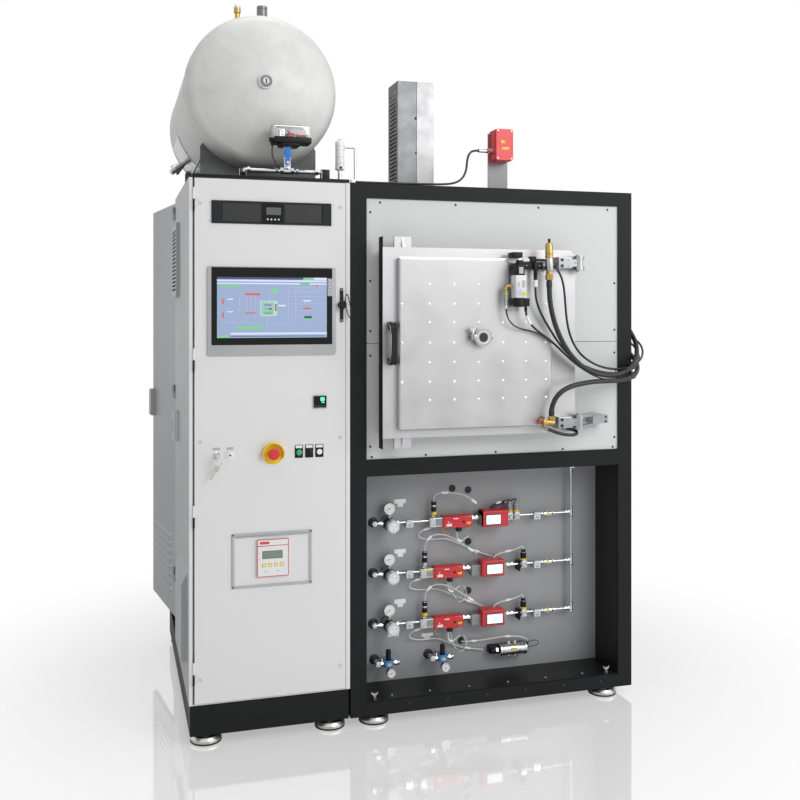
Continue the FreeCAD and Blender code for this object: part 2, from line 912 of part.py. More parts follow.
def switch_bezels():
    """Bezels and contact bodies, button label plates, half-round shroud and lock plate."""
    pieces = [bezel_ring(x, bezel_radius) for x in control_places()]
    for index, x in enumerate(three_button_places()):
        low = control_height - holder_height / 2 + 4
        plate = block(x - holder_width / 2, x + holder_width / 2, -holder_proud, 0, low, low + holder_height)
        pieces[3 + index] = pieces[3 + index].fuse(plate.cut(
            rod((x, -holder_proud - 1, control_height), (x, 1, control_height), bezel_radius - 3)))
    outer = rod((emergency_x, -shroud_height, control_height), (emergency_x, 0, control_height),
                shroud_radius)
    inner = rod((emergency_x, -shroud_height - 1, control_height), (emergency_x, 1, control_height),
                shroud_radius - shroud_wall)
    lower = block(emergency_x - shroud_radius, emergency_x + shroud_radius, -shroud_height - 1, 1,
                  control_height - shroud_radius, control_height - shroud_opening)
    shroud = outer.cut(inner).cut(lower)
    disc = rod((emergency_x, -1.5, control_height), (emergency_x, 0, control_height), shroud_radius - 2)
    disc = disc.cut(rod((emergency_x, -2, control_height), (emergency_x, 1, control_height),
                        bezel_radius - 0.5))
    pieces[2] = pieces[2].fuse([shroud, disc])
    plate = soft_block(
        (lock_x - lock_plate_width / 2, lock_x + lock_plate_width / 2, -3, 0,
         lock_z - lock_plate_height / 2, lock_z + lock_plate_height / 2), (0, 1, 0), 5.0)
    bore = rod((lock_x, -4, lock_z), (lock_x, 1, lock_z), switch_hole_radius / 2)
    pieces.append(plate.cut(bore))
    return pieces


def lock_knob():
    """Star knob of the door lock with its spindle and the cam behind the door."""
    profile = [
        (0, 3 + running_gap), (9, 3 + running_gap), (9, 10), (lock_knob_radius, 12),
        (lock_knob_radius, lock_knob_proud - 4), (lock_knob_radius - 4, lock_knob_proud),
        (0, lock_knob_proud),
    ]
    knob = turned(profile, (lock_x, 0, lock_z), (0, -1, 0))
    for index in range(6):
        angle = math.radians(60 * index)
        x = lock_x + (lock_knob_radius + 3) * math.cos(angle)
        z = lock_z + (lock_knob_radius + 3) * math.sin(angle)
        knob = knob.cut(rod((x, -lock_knob_proud - 1, z), (x, -11, z), 6.0))
    spindle = rod((lock_x, -5, lock_z), (lock_x, 14, lock_z), switch_hole_radius / 2 - running_gap)
    cam = block(lock_x - 8, lock_x + 8, 8, 14, lock_z - 28, lock_z + 8)
    return [knob.fuse([spindle, cam])]


def key_switch():
    """Lock barrel with its key: flat shank and round bow."""
    face = button_radius
    barrel = rod((key_switch_x, -bezel_proud - 2, control_height),
                 (key_switch_x, button_seat_depth - running_gap, control_height), face)
    shank = block(key_switch_x - 1.2, key_switch_x + 1.2, -bezel_proud - 26, -bezel_proud - 1,
                  control_height - 4, control_height + 4)
    bow = rod((key_switch_x - 1.2, -bezel_proud - 34, control_height - 4),
              (key_switch_x + 1.2, -bezel_proud - 34, control_height - 4), 13.0)
    return [barrel.fuse([shank, bow])]


def push_button(x):
    """Plunger of a round push button, with a slightly domed cap."""
    profile = [
        (0, -button_seat_depth + button_travel + 1), (button_radius, -button_seat_depth + button_travel + 1),
        (button_radius, button_proud - 1), (button_radius - 2, button_proud), (0, button_proud + 0.6),
    ]
    return [turned(profile, (x, 0, control_height), (0, -1, 0))]


def emergency_button():
    """Mushroom head and plunger of the emergency stop."""
    profile = [
        (0, -button_seat_depth + emergency_travel + 1),
        (button_radius, -button_seat_depth + emergency_travel + 1),
        (button_radius, emergency_proud - emergency_cap),
        (emergency_radius - 5, emergency_proud - emergency_cap),
        (emergency_radius, emergency_proud - emergency_cap + 4),
        (emergency_radius, emergency_proud - 6), (emergency_radius - 5, emergency_proud - 1),
        (0, emergency_proud + 1),
    ]
    return [turned(profile, (emergency_x, 0, control_height), (0, -1, 0))]


def service_door():
    """Rear service door on its own hinges, with a louvred grille and a pull, standing ajar."""
    x0 = 2.0
    near = cabinet_depth + service_door_gap
    far = machine_depth - 2.0
    panel = block(x0, x0 + service_door_thickness, near, far, service_door_low, service_door_high)
    well = block(x0 + skin, x0 + service_door_thickness + 1, near + skin, far - skin,
                 service_door_low + skin, service_door_high - skin)
    panel = panel.cut(well)
    start = near + grille_start
    panel = slots_in_x(panel, start, start + grille_length, grille_low, grille_high, x0 - 1, x0 + skin + 1,
                       14.0, grille_slot_count)
    pitch = (grille_high - grille_low) / grille_slot_count
    for index in range(grille_slot_count):
        z = grille_low + pitch * (index + 0.5) + 7.0
        blade = prism([(x0, start, z), (x0 - 10, start, z - 16), (x0 - 10, start, z - 18),
                       (x0, start, z - 2)],
                      (0, grille_length, 0))
        panel = panel.fuse(blade)
    pull = soft_block(
        (x0 - pull_proud, x0, far - pull_width - 8, far - 8, side_pull_low + 45,
         side_pull_low + 45 + pull_height),
        (0, 1, 0), 6.0)
    panel = panel.fuse(pull)
    x, y = service_pivot()
    for height in service_hinge_heights:
        _, moving = hinge_halves(x, y, height, service_hinge_radius, service_hinge_barrel)
        low = height + service_hinge_barrel + running_gap
        high = height + 2 * service_hinge_barrel
        leaf = block(x, x0 + 1, y + service_hinge_radius - 1.5, y + service_hinge_radius, low, high)
        panel = panel.fuse([moving, leaf])
    panel.rotate(Vector(x, y, 0), Vector(0, 0, 1), service_door_ajar)
    return [panel]


# Furnace frame and its panels

def furnace_frame():
    """Welded frame of square and rectangular tubes, each tube its own solid."""
    wall = tube_wall
    x0 = frame_left
    x1 = frame_right
    size = post_size
    back = machine_depth - size
    pieces = []
    for x in (x0, x1 - size):
        for y in (0, back):
            pieces.append(square_tube((x, x + size, y, y + size, base_height, frame_top), (0, 0, 1), wall))
    levels = ((base_height, lower_low), (mid_rail_low, upper_low), (upper_high, frame_top))
    for low, high in levels:
        for y in (0, back):
            pieces.append(square_tube((bay_left, bay_right, y, y + size, low, high), (1, 0, 0), wall))
        for x in (x0, x1 - size):
            pieces.append(square_tube((x, x + size, size, back, low, high), (0, 1, 0), wall))
    for y in (vessel_rail_front, vessel_rail_back):
        pieces.append(square_tube((bay_left, bay_right, y, y + size, mid_rail_low, upper_low), (1, 0, 0),
                                  wall))
    for y in (pump_rail_front, pump_rail_back):
        pieces.append(square_tube((bay_left, bay_right, y, y + size, base_height, lower_low), (1, 0, 0),
                                  wall))
    return pieces


def front_panels():
    """Two sheet panels round the vessel flange, parted by a level seam."""
    y0 = front_panel_setback
    y1 = y0 + front_panel_thickness
    hole = block(flange_left + 12, flange_right - 12, y0 - 1, y1 + 1,
                 chamber_centre_z - flange_height / 2 + 12, chamber_centre_z + flange_height / 2 - 12)
    lower = block(bay_left, bay_right, y0, y1, upper_low, front_panel_seam - front_panel_seam_gap / 2)
    upper = block(bay_left, bay_right, y0, y1, front_panel_seam + front_panel_seam_gap / 2, upper_high)
    return [lower.cut(hole), upper.cut(hole)]


def outer_panels():
    """Black cover sheets on both sides, the back and the roof, with vents in the back."""
    size = post_size
    back = machine_depth - size
    pieces = []
    for low, high in ((lower_low, mid_rail_low), (upper_low, upper_high)):
        for x in (frame_left, frame_right - skin):
            pieces.append(block(x, x + skin, size, back, low, high))
        rear = block(bay_left, bay_right, machine_depth - skin, machine_depth, low, high)
        pieces.append(slots_in_y(rear, bay_left + 300, bay_right - 300, high - 260, high - 60,
                                 machine_depth - skin - 1, machine_depth + 1, vent_slot_height,
                                 vent_slot_count))
    roof = block(frame_left, frame_right, 0, machine_depth, frame_top, frame_top + skin)
    flue = rod(torch_centre(frame_top - 1), torch_centre(frame_top + skin + 1), vacuum_pipe_radius * 0.6 + 1)
    pieces.append(roof.cut(flue))
    return pieces


def torch_centre(z):
    return torch_left + torch_width / 2, torch_front + torch_depth / 2, z


def gas_bay_liner():
    """Folded floor, ceiling and side sheets of the gas bay, and the wing bolts on its floor."""
    y0 = front_panel_setback
    y1 = gas_face
    left = block(bay_left, bay_left + skin, y0, y1, lower_low, mid_rail_low)
    right = block(bay_right - skin, bay_right, y0, y1, lower_low, mid_rail_low)
    floor = block(bay_left + skin, bay_right - skin, y0, y1, lower_low, lower_low + skin)
    ceiling = block(bay_left + skin, bay_right - skin, y0, y1, mid_rail_low - skin, mid_rail_low)
    pieces = [left, right, floor, ceiling]
    for x in (bay_left + bay_bolt_inset, bay_right - bay_bolt_inset):
        top = lower_low + skin
        stem = rod((x, y0 + 24, top), (x, y0 + 24, top + 22), 4.0)
        wing = block(x - 13, x + 13, y0 + 22, y0 + 26, top + 10, top + 24)
        pieces.append(stem.fuse([wing, rod((x, y0 + 24, top), (x, y0 + 24, top + 8), 8.0)]))
    return pieces


def gas_panel():
    """Grey back plate of the gas bay with a folded edge all round."""
    plate = block(bay_left + skin, bay_right - skin, gas_face, gas_face + gas_panel_thickness + 15,
                  lower_low + skin, mid_rail_low - skin)
    edge = gas_panel_thickness
    well = block(bay_left + skin + edge, bay_right - skin - edge, gas_face + edge, gas_face + edge + 20,
                 lower_low + skin + edge, mid_rail_low - skin - edge)
    return [plate.cut(well)]


# Chamber

def chamber_vessel():
    """Vessel welded from flat plates, with a front flange, stiffening ribs, a pump port and feet."""
    wall = vessel_wall
    left = opening_left - wall
    right = opening_right + wall
    low = opening_low - wall
    high = opening_high + wall
    back = chamber_depth + wall
    mouth = (opening_left, opening_right, flange_face, 0, opening_low, opening_high)
    pieces = bars_round(
        (flange_left, flange_right, flange_face, 0,
         chamber_centre_z - flange_height / 2, chamber_centre_z + flange_height / 2), mouth)
    port_low = low - vessel_rib_proud - vessel_port_drop
    port = rod((pump_port_x, pump_centre_y, port_low), (pump_port_x, pump_centre_y, low), vacuum_pipe_radius)
    bore = rod((pump_port_x, pump_centre_y, port_low - 1), (pump_port_x, pump_centre_y, opening_low + 1),
               vacuum_pipe_radius - vacuum_pipe_wall)
    pieces += [
        block(left, right, 0, back, opening_high, high),
        block(left, right, 0, back, low, opening_low).cut(bore),
        block(left, opening_left, 0, back, opening_low, opening_high),
        block(opening_right, right, 0, back, opening_low, opening_high),
        block(opening_left, opening_right, chamber_depth, back, opening_low, opening_high),
        port.cut(bore),
    ]
    proud = vessel_rib_proud
    spacing = chamber_depth / (vessel_rib_count + 1)
    shell = (left, right, 0, back, low, high)
    for index in range(vessel_rib_count):
        y = spacing * (index + 1)
        around = (left - proud, right + proud, y, y + vessel_rib_width, low - proud, high + proud)
        pieces += [rib.cut(port) for rib in bars_round(around, shell)]
    for y in (vessel_rail_front, vessel_rail_back):
        for x in (left + 40, right - 40 - vessel_foot_width):
            pieces.append(block(x, x + vessel_foot_width, y, y + post_size, upper_low, low))
    return pieces


def hot_zone():
    """Inner faces of the insulation, as left, right, front, back, bottom and top."""
    thick = insulation_thickness
    return (opening_left + thick, opening_right - thick, insulation_setback, chamber_depth - thick,
            opening_low + thick, opening_high - thick)


def chamber_insulation():
    """Five rigid felt boards that line the vessel, open at the front."""
    left, right, front, back, low, high = hot_zone()
    slack = running_gap
    outer_left = opening_left + slack
    outer_right = opening_right - slack
    outer_low = opening_low + slack
    outer_high = opening_high - slack
    end = chamber_depth - slack
    floor = block(outer_left + 20, outer_right - 20, front, end, outer_low, low)
    bore_top = low + 1
    floor = floor.cut(rod((pump_port_x, pump_centre_y, outer_low - 1), (pump_port_x, pump_centre_y, bore_top),
                          vacuum_pipe_radius - vacuum_pipe_wall))
    roof = block(outer_left + 20, outer_right - 20, front, end, high, outer_high)
    side_left = block(outer_left, left, front, end, low, high)
    side_right = block(right, outer_right, front, end, low, high)
    rear = block(left, right, back, end, low, high)
    return [floor, roof, side_left, side_right, rear]


def element_sheet(x, low, high, front, back):
    """Meander strip of one side wall: upright bars joined alternately at top and bottom."""
    bar = element_bar
    pitch = (back - front - bar) / (2 * element_loops - 1)
    thick = element_thickness
    strip = block(x, x + thick, front, front + bar, low, high)
    for index in range(1, 2 * element_loops):
        y = front + index * pitch
        strip = strip.fuse(block(x, x + thick, y, y + bar, low, high))
        if index % 2:
            strip = strip.fuse(block(x, x + thick, y - pitch, y + bar, high - bar, high))
        else:
            strip = strip.fuse(block(x, x + thick, y - pitch, y + bar, low, low + bar))
    return strip


def heating_elements():
    """Two meander strips on ceramic pins, one along each side wall."""
    left, right, front, back, low, high = hot_zone()
    gap = element_stand_off
    margin = 40.0
    pieces = []
    for wall_x, x in ((left, left + gap), (right, right - gap - element_thickness)):
        pieces.append(element_sheet(x, low + margin, high - margin, front + margin, back - margin))
        inner_x = x if x > wall_x else x + element_thickness
        for y in (front + margin + element_bar / 2, back - margin - element_bar / 2):
            for z in (low + margin + 60, high - margin - 60):
                pieces.append(rod((wall_x, y, z), (inner_x, y, z), 8.0))
    return pieces


def hearth():
    """Charge plate on six posts that stand on the bottom board."""
    left, right, front, back, low, _ = hot_zone()
    x0 = left + hearth_margin
    x1 = right - hearth_margin
    y0 = front + hearth_margin
    y1 = back - hearth_margin
    plate = block(x0, x1, y0, y1, low + hearth_height, low + hearth_height + hearth_thickness)
    slot_count = 7
    pitch = (y1 - y0) / slot_count
    for index in range(slot_count):
        y = y0 + pitch * (index + 0.5)
        plate = plate.cut(block(x0 + 60, x1 - 60, y - 8, y + 8, low, low + 2 * hearth_height))
    pieces = [plate]
    for x in (x0 + 20, x1 - 20):
        for y in (y0 + 20, (y0 + y1) / 2, y1 - 20):
            pieces.append(rod((x, y, low), (x, y, low + hearth_height), hearth_post_radius))
    return pieces


def door_seal():
    """Black elastomer profile that runs round the flange and meets the door."""
    inset = 6.0
    x0 = flange_left + inset
    x1 = flange_right - inset
    z0 = chamber_centre_z - flange_height / 2 + inset
    z1 = chamber_centre_z + flange_height / 2 - inset
    width = seal_width
    ring = soft_block((x0, x1, seal_face, flange_face, z0, z1), (0, 1, 0), 22.0)
    inner = soft_block((x0 + width, x1 - width, seal_face - 1, flange_face + 1, z0 + width, z1 - width),
                       (0, 1, 0), 10.0)
    return [ring.cut(inner)]


# Chamber door

def door_plate():
    """Thick door plate with one cut corner and two gusseted clamping lugs."""
    low = chamber_centre_z - door_height / 2 + 4
    high = low + door_height
    cut = door_corner_cut
    outline = [
        (door_left, door_back, low), (door_right, door_back, low), (door_right, door_back, high - cut),
        (door_right - cut, door_back, high), (door_left, door_back, high),
    ]
    plate = prism(outline, (0, -door_thickness, 0))
    x1 = lug_left + lug_width
    mid = (lug_left + x1) / 2
    for edge, side in ((high, 1), (low, -1)):
        z0, z1 = sorted((edge - side * 2, edge + side * lug_height))
        lug = block(lug_left, x1, door_back - lug_thickness, door_back, z0, z1)
        rib = prism(
            [(mid - gusset_thickness / 2, door_back - lug_thickness, edge + side * lug_height),
             (mid - gusset_thickness / 2, door_back - lug_thickness, edge - side * 2),
             (mid - gusset_thickness / 2, door_front, edge - side * 2)],
            (gusset_thickness, 0, 0))
        plate = plate.fuse([lug, rib])
    for z in (chamber_hinge_top, chamber_hinge_bottom):
        for dz in (-12, 12):
            x = hinge_block_left + 16
            plate = plate.cut(rod((x, door_front - 1, z + dz), (x, door_front + 12, z + dz), 4.2))
    bore = rod((viewport_x, door_front - 1, viewport_z), (viewport_x, door_back + 1, viewport_z),
               viewport_tube_radius + running_gap)
    return [plate.cut(bore)]


def door_jacket():
    """Water jacket pressed with rounded edges, bored for the viewing port."""
    low = chamber_centre_z - jacket_height / 2
    jacket = block(jacket_left, jacket_right, jacket_front, door_front, low, low + jacket_height)
    front_edges = [edge for edge in jacket.Edges if abs(edge.CenterOfMass.y - jacket_front) < 0.01]
    side_edges = [edge for edge in jacket.Edges
                  if abs(edge.tangentAt(edge.FirstParameter).y) > 0.9]
    jacket = jacket.makeFillet(jacket_round, front_edges + side_edges)
    bore = rod((viewport_x, jacket_front - 1, viewport_z), (viewport_x, door_front + 1, viewport_z),
               viewport_tube_radius + running_gap)
    return [jacket.cut(bore)]


def door_handle():
    """Bow handle: two feet joined by a rounded grip that stands off the plate."""
    z0 = handle_z - handle_length / 2
    z1 = handle_z + handle_length / 2
    reach = door_front - handle_reach
    half = handle_width / 2
    bow = block(handle_x - half, handle_x + half, reach, door_front, z0, z1)
    corner_edges = [edge for edge in bow.Edges if abs(edge.CenterOfMass.y - reach) < 0.01
                    and abs(edge.tangentAt(edge.FirstParameter).x) > 0.9]
    bow = bow.makeFillet(24.0, corner_edges)
    foot_long = handle_foot_length
    finger = block(handle_x - half - 1, handle_x + half + 1, reach + handle_bar, door_front + 1,
                   z0 + foot_long, z1 - foot_long)
    finger_edges = [edge for edge in finger.Edges if abs(edge.CenterOfMass.y - reach - handle_bar) < 0.01
                    and abs(edge.tangentAt(edge.FirstParameter).x) > 0.9]
    finger = finger.makeFillet(16.0, finger_edges)
    return [bow.cut(finger)]


def viewport():
    """Viewing port: welded tube with a flange, two-part clamp ring with its wing nut, and a glass."""
    x = viewport_x
    z = viewport_z
    end = jacket_front - viewport_reach
    tube = hollow_rod((x, end, z), (x, door_back - 1, z), viewport_tube_radius, viewport_glass_radius - 1)
    ring = hollow_rod((x, end - 8, z), (x, end + 8, z), viewport_clamp_radius, viewport_tube_radius - 4)
    glass = rod((x, end - 5, z), (x, end, z), viewport_tube_radius - 4)
    tube = tube.cut(rod((x, end - 1, z), (x, end + 8, z), viewport_tube_radius + 1))
    lug = block(x - viewport_clamp_radius - 12, x - viewport_clamp_radius + 6, end - 7, end + 7, z - 11,
                z + 11)
    tab = block(x + viewport_clamp_radius - 5, x + viewport_clamp_radius + 8, end - 7, end + 7, z - 7, z + 7)
    nut = rod((x - viewport_clamp_radius - 6, end, z + 9), (x - viewport_clamp_radius - 6, end, z + 28), 5.0)
    wing = block(x - viewport_clamp_radius - 20, x - viewport_clamp_radius + 6, end - 2, end + 2, z + 22,
                 z + 38)
    ring = ring.fuse([lug, tab, nut, wing])
    return [tube, ring, glass]


def door_insulation():
    """Felt pack on the inside of the door that plugs the mouth of the hot zone."""
    x0 = opening_left + plug_inset
    x1 = opening_right - plug_inset
    z0 = opening_low + plug_inset - 12
    z1 = opening_high - plug_inset + 12
    inner_end = plug_depth
    pack = soft_block((x0, x1, door_back, inner_end, z0, z1), (0, 1, 0), 20.0)
    sight = rod((viewport_x, door_back - 1, viewport_z), (viewport_x, inner_end + 1, viewport_z),
                viewport_glass_radius)
    return [pack.cut(sight)]


def hinge_fork_ears(z):
    """Heights of the two ears of one chamber hinge."""
    half = hinge_eye_height / 2
    return ((z - half - hinge_ear_thickness, z - half), (z + half, z + half + hinge_ear_thickness))


def hinge_brackets():
    """Fixed forks with their pins: the upper one runs straight back, the lower one has a side arm."""
    x = chamber_hinge_x
    y = chamber_hinge_y
    back = front_panel_setback
    pieces = []
    for z, arm in ((chamber_hinge_top, False), (chamber_hinge_bottom, True)):
        ears = hinge_fork_ears(z)
        fork = None
        for low, high in ears:
            ear = rod((x, y, low), (x, y, high), hinge_ear_radius)
            if arm:
                neck = prism([(x, y - 12, low), (x + 108, -58, low), (x + 108, -32, low),
                              (x + 8, y + 19, low)],
                             (0, 0, high - low))
            else:
                neck = prism([(x + 6, y - 16, low), (x + 32, y + 12, low), (x + 32, back, low),
                              (x + 7, back, low)],
                             (0, 0, high - low))
            ear = ear.fuse(neck)
            fork = ear if fork is None else fork.fuse(ear)
        low = ears[0][0]
        high = ears[1][1]
        if arm:
            web = block(x + 96, x + 165, -60, back, z - 17, z + 17)
            tie = block(x + 96, x + 112, -60, -30, low, high)
        else:
            web = block(x + 7, x + 32, -40, back, low, high)
            tie = block(x + 7, x + 60, back - 10, back, low, high)
        pin = rod((x, y, low - 3), (x, y, high + 3), hinge_pin_radius)
        pieces.append(fork.fuse([web, tie, pin]))
    return pieces


def door_hinge_arms():
    """Two arms on the door plate, each with a clamping block and an eye round the fixed pin."""
    x = chamber_hinge_x
    y = chamber_hinge_y
    height = hinge_eye_height - 2 * running_gap
    pieces = []
    for z in (chamber_hinge_top, chamber_hinge_bottom):
        low = z - height / 2
        high = z + height / 2
        eye = rod((x, y, low), (x, y, high), hinge_eye_radius)
        bar = block(hinge_block_left + hinge_block_width - 4, x, y - 11, y + 11, low, high)
        groove = block(hinge_block_left + hinge_block_width, x - hinge_eye_radius, y - 12, y - 8, z - 3,
                       z + 3)
        plate = block(hinge_block_left, hinge_block_left + hinge_block_width, y - 14, door_front, z - 23,
                      z + 23)
        edges = [edge for edge in plate.Edges if abs(edge.CenterOfMass.y - y + 14) < 0.01]
        plate = plate.makeFillet(4.0, edges)
        arm = eye.fuse([bar, plate]).cut(groove)
        pin_hole = rod((x, y, low - 1), (x, y, high + 1), hinge_pin_radius + pin_clearance)
        pieces.append(arm.cut(pin_hole))
    return pieces


def instrument_y():
    """Depth of the valve's and elbow's centre line in front of the door's jacket."""
    return jacket_front - valve_reach


def gauge_head():
    """Vacuum gauge head on its bracket plate, with its connector, socket block and air fitting."""
    seat = jacket_front
    y = seat - gauge_reach - 12
    profile = [
        (0, 0), (gauge_radius - 2, 0), (gauge_radius, 3), (gauge_radius, 34), (gauge_radius + 2, 36),
        (gauge_radius + 2, gauge_height), (gauge_radius - 1, gauge_height + 1),
        (gauge_radius - 1, gauge_height + 36), (gauge_radius - 6, gauge_height + 40), (0, gauge_height + 40),
    ]
    head = turned(profile, (gauge_x, y, gauge_base_z), (0, 0, 1))
    plate_top = manifold_z + 52
    plate = block(gauge_x - 27, gauge_x + 20, seat - 5, seat, gauge_base_z - 16, plate_top)
    arm_low = manifold_z - manifold_height / 2 + 2
    arm = block(gauge_x - 10, manifold_left + 2, y, seat - 1, arm_low, arm_low + manifold_height - 6)
    cap = soft_block((gauge_x - 22, gauge_x + 22, seat - 44, seat - 1, plate_top - 20, plate_top),
                     (0, 0, 1), 8.0)
    connector = block(connector_x - 12, connector_x + 12, y - 7, y + 19, connector_low, connector_low + 32)
    nut = rod((air_fitting_x, y + 16, air_fitting_low), (air_fitting_x, y + 16, air_fitting_low + 70), 7.0)
    bend = rod((air_fitting_x, y + 16, air_fitting_low + 70), (gauge_x, y + 4, air_fitting_low + 70), 8.0)
    knee = Part.makeSphere(8.0, Vector(air_fitting_x, y + 16, air_fitting_low + 70))
    return head.fuse([plate, arm, cap, connector, nut, bend, knee])


def door_instruments():
    """Vacuum gauge head, connector manifold, relief valve and hose elbow on the door's corner."""
    y_valve = instrument_y()
    seat = jacket_front
    z = manifold_z
    low = z - manifold_height / 2
    top = z + manifold_height / 2
    manifold = block(manifold_left, manifold_left + manifold_width, seat - manifold_depth, seat, low, top)
    plug = rod((plug_x, seat - manifold_depth - 2, low - 2),
               (plug_x, seat - manifold_depth - 2, z - plug_drop), 8.0)
    plug_seat = block(plug_x - 10, plug_x + 10, seat - manifold_depth - 12, seat - manifold_depth + 2,
                      low - 6, top)
    socket = block(socket_x - 28, socket_x, seat - 24, seat - 6, top, top + socket_rise)
    pieces = [gauge_head().fuse([manifold, plug, plug_seat, socket])]
    height = valve_body_height
    valve_profile = [
        (0, 0), (valve_body_radius, 0), (valve_body_radius, 22), (valve_body_radius - 2, 24),
        (valve_body_radius - 2, 36), (valve_body_radius + 1, 38), (valve_body_radius + 1, height - 4),
        (valve_body_radius, height), (valve_body_radius, height + valve_cap_height - 6),
        (valve_body_radius - 6, height + valve_cap_height), (5, height + valve_cap_height),
        (5, height + valve_cap_height + 16), (0, height + valve_cap_height + 16),
    ]
    valve = turned(valve_profile, (valve_x, y_valve, valve_low), (0, 0, 1))
    tail = rod((valve_x, y_valve, z - 8), (valve_x, seat, z - 8), 8.0)
    flange = rod((valve_x, seat - 6, z - 8), (valve_x, seat, z - 8), 14.0)
    pieces.append(valve.fuse([tail, flange]))
    riser = rod((elbow_x, y_valve, elbow_z), (elbow_x, y_valve, elbow_z + elbow_rise), 13.0)
    body = rod((elbow_x - 38, y_valve, elbow_z), (elbow_x + 12, y_valve, elbow_z), 12.0)
    stub = rod((elbow_x - 26, y_valve, elbow_z), (elbow_x - 26, seat, elbow_z), 10.0)
    disc = rod((elbow_x - 26, seat - 4, elbow_z), (elbow_x - 26, seat, elbow_z), 22.0)
    pieces.append(riser.fuse([body, stub, disc]))
    return pieces


# Gas panel

def row_heights():
    return [row_top - index * row_pitch for index in range(row_count)]


def row_shift(index):
    """The first row's mixer sits further right than the others."""
    return first_row_shift if index == 0 else 0.0


def line(x0, x1, z):
    return rod((x0, row_y, z), (x1, row_y, z), line_radius)


def transmitter_x(index):
    return mixer_left + row_shift(index) - transmitter_offset


def outlet_valves(index):
    """Places of a row's outlet solenoids: two small ones in the first row, one in each other row."""
    return first_outlet_valve_xs if index == 0 else (outlet_valve_x,)


def line_bracket(x, z):
    """Bent plate bracket that holds a line, with one bolt hole in its face."""
    half = line_bracket_size / 2
    thick = line_bracket_thickness
    face = block(x - half, x + half, row_y - 9 - thick, row_y - 9, z - half - 6, z + half - 12)
    face = face.cut(rod((x, row_y - 20, z - 12), (x, row_y, z - 12), 4.0))
    web = block(x - half, x - half + thick, row_y - 9, gas_face, z - half - 6, z + half - 12)
    saddle = block(x - half + thick, x + half, row_y - 9, row_y + 9, z - 9, z + 9)
    return face.fuse([web, saddle])


def gas_pipes():
    """Level lines with their brackets, the riser with its tees, and the elbows at the inlets."""
    pieces = []
    for index, z in enumerate(row_heights()):
        shift = row_shift(index)
        elbow = rod((inlet_x, row_y, z), (inlet_x, gas_face, z), 11.0)
        pieces.append(elbow.fuse(line(inlet_x, regulator_x - regulator_body_radius, z)))
        sensor = transmitter_x(index)
        body_left = sensor - 22
        run = line(regulator_x + regulator_body_radius, body_left, z)
        pieces.append(run.fuse(line_bracket(line_bracket_x, z)))
        body = block(body_left, mixer_left + shift, row_y - 14, row_y + 14, z - 24, z + 12)
        neck = rod((sensor, row_y, z + 12), (sensor, row_y, z + 30), transmitter_radius - 3)
        can = rod((sensor, row_y, z + 30), (sensor, row_y, z + transmitter_top), transmitter_radius)
        pieces.append(body.fuse([neck, can]))
        pieces.append(line(mixer_left + mixer_width + shift, meter_left + shift, z))
        left = meter_left + meter_width
        for x in outlet_valves(index):
            if x - solenoid_radius > left:
                pieces.append(line(left, x - solenoid_radius, z))
            pieces.append(solenoid(x, z))
            left = x + solenoid_radius
        run = line(left, check_valve_x - check_valve_length / 2, z)
        pieces.append(run.fuse(line_bracket(end_bracket_x, z)))
        length = check_valve_length
        profile = [(0, 0), (6, 0), (check_valve_radius, 8), (check_valve_radius, length - 8), (6, length),
                   (0, length)]
        pieces.append(turned(profile, (check_valve_x - length / 2, row_y, z), (1, 0, 0)))
        tee = rod((riser_x, row_y, z - 14), (riser_x, row_y, z + 14), 9.0)
        pieces.append(line(check_valve_x + length / 2, riser_x, z).fuse(tee))
    heights = row_heights()
    spans = [(heights[0] + 14, riser_top), (heights[1] + 14, heights[0] - 14),
             (heights[2] + 14, heights[1] - 14)]
    for low, high in spans:
        pieces.append(rod((riser_x, row_y, low), (riser_x, row_y, high), line_radius))
    pieces.append(block(riser_x - 12, riser_x + 12, row_y - 12, gas_face, riser_top, riser_top + 20))
    return pieces


def gauge_dial(x, y, z, radius, stem_low):
    """Round dial gauge facing forward, with its stem running down to what carries it."""
    case = turned([(0, 0), (radius - 2, 0), (radius, 3), (radius, 20), (radius - 3, 22), (radius - 3, 20),
                   (0, 20)],
                  (x, y, z), (0, -1, 0))
    stem = rod((x, y - 10, stem_low), (x, y - 10, z - radius + 3), 4.5)
    return case.fuse(stem)


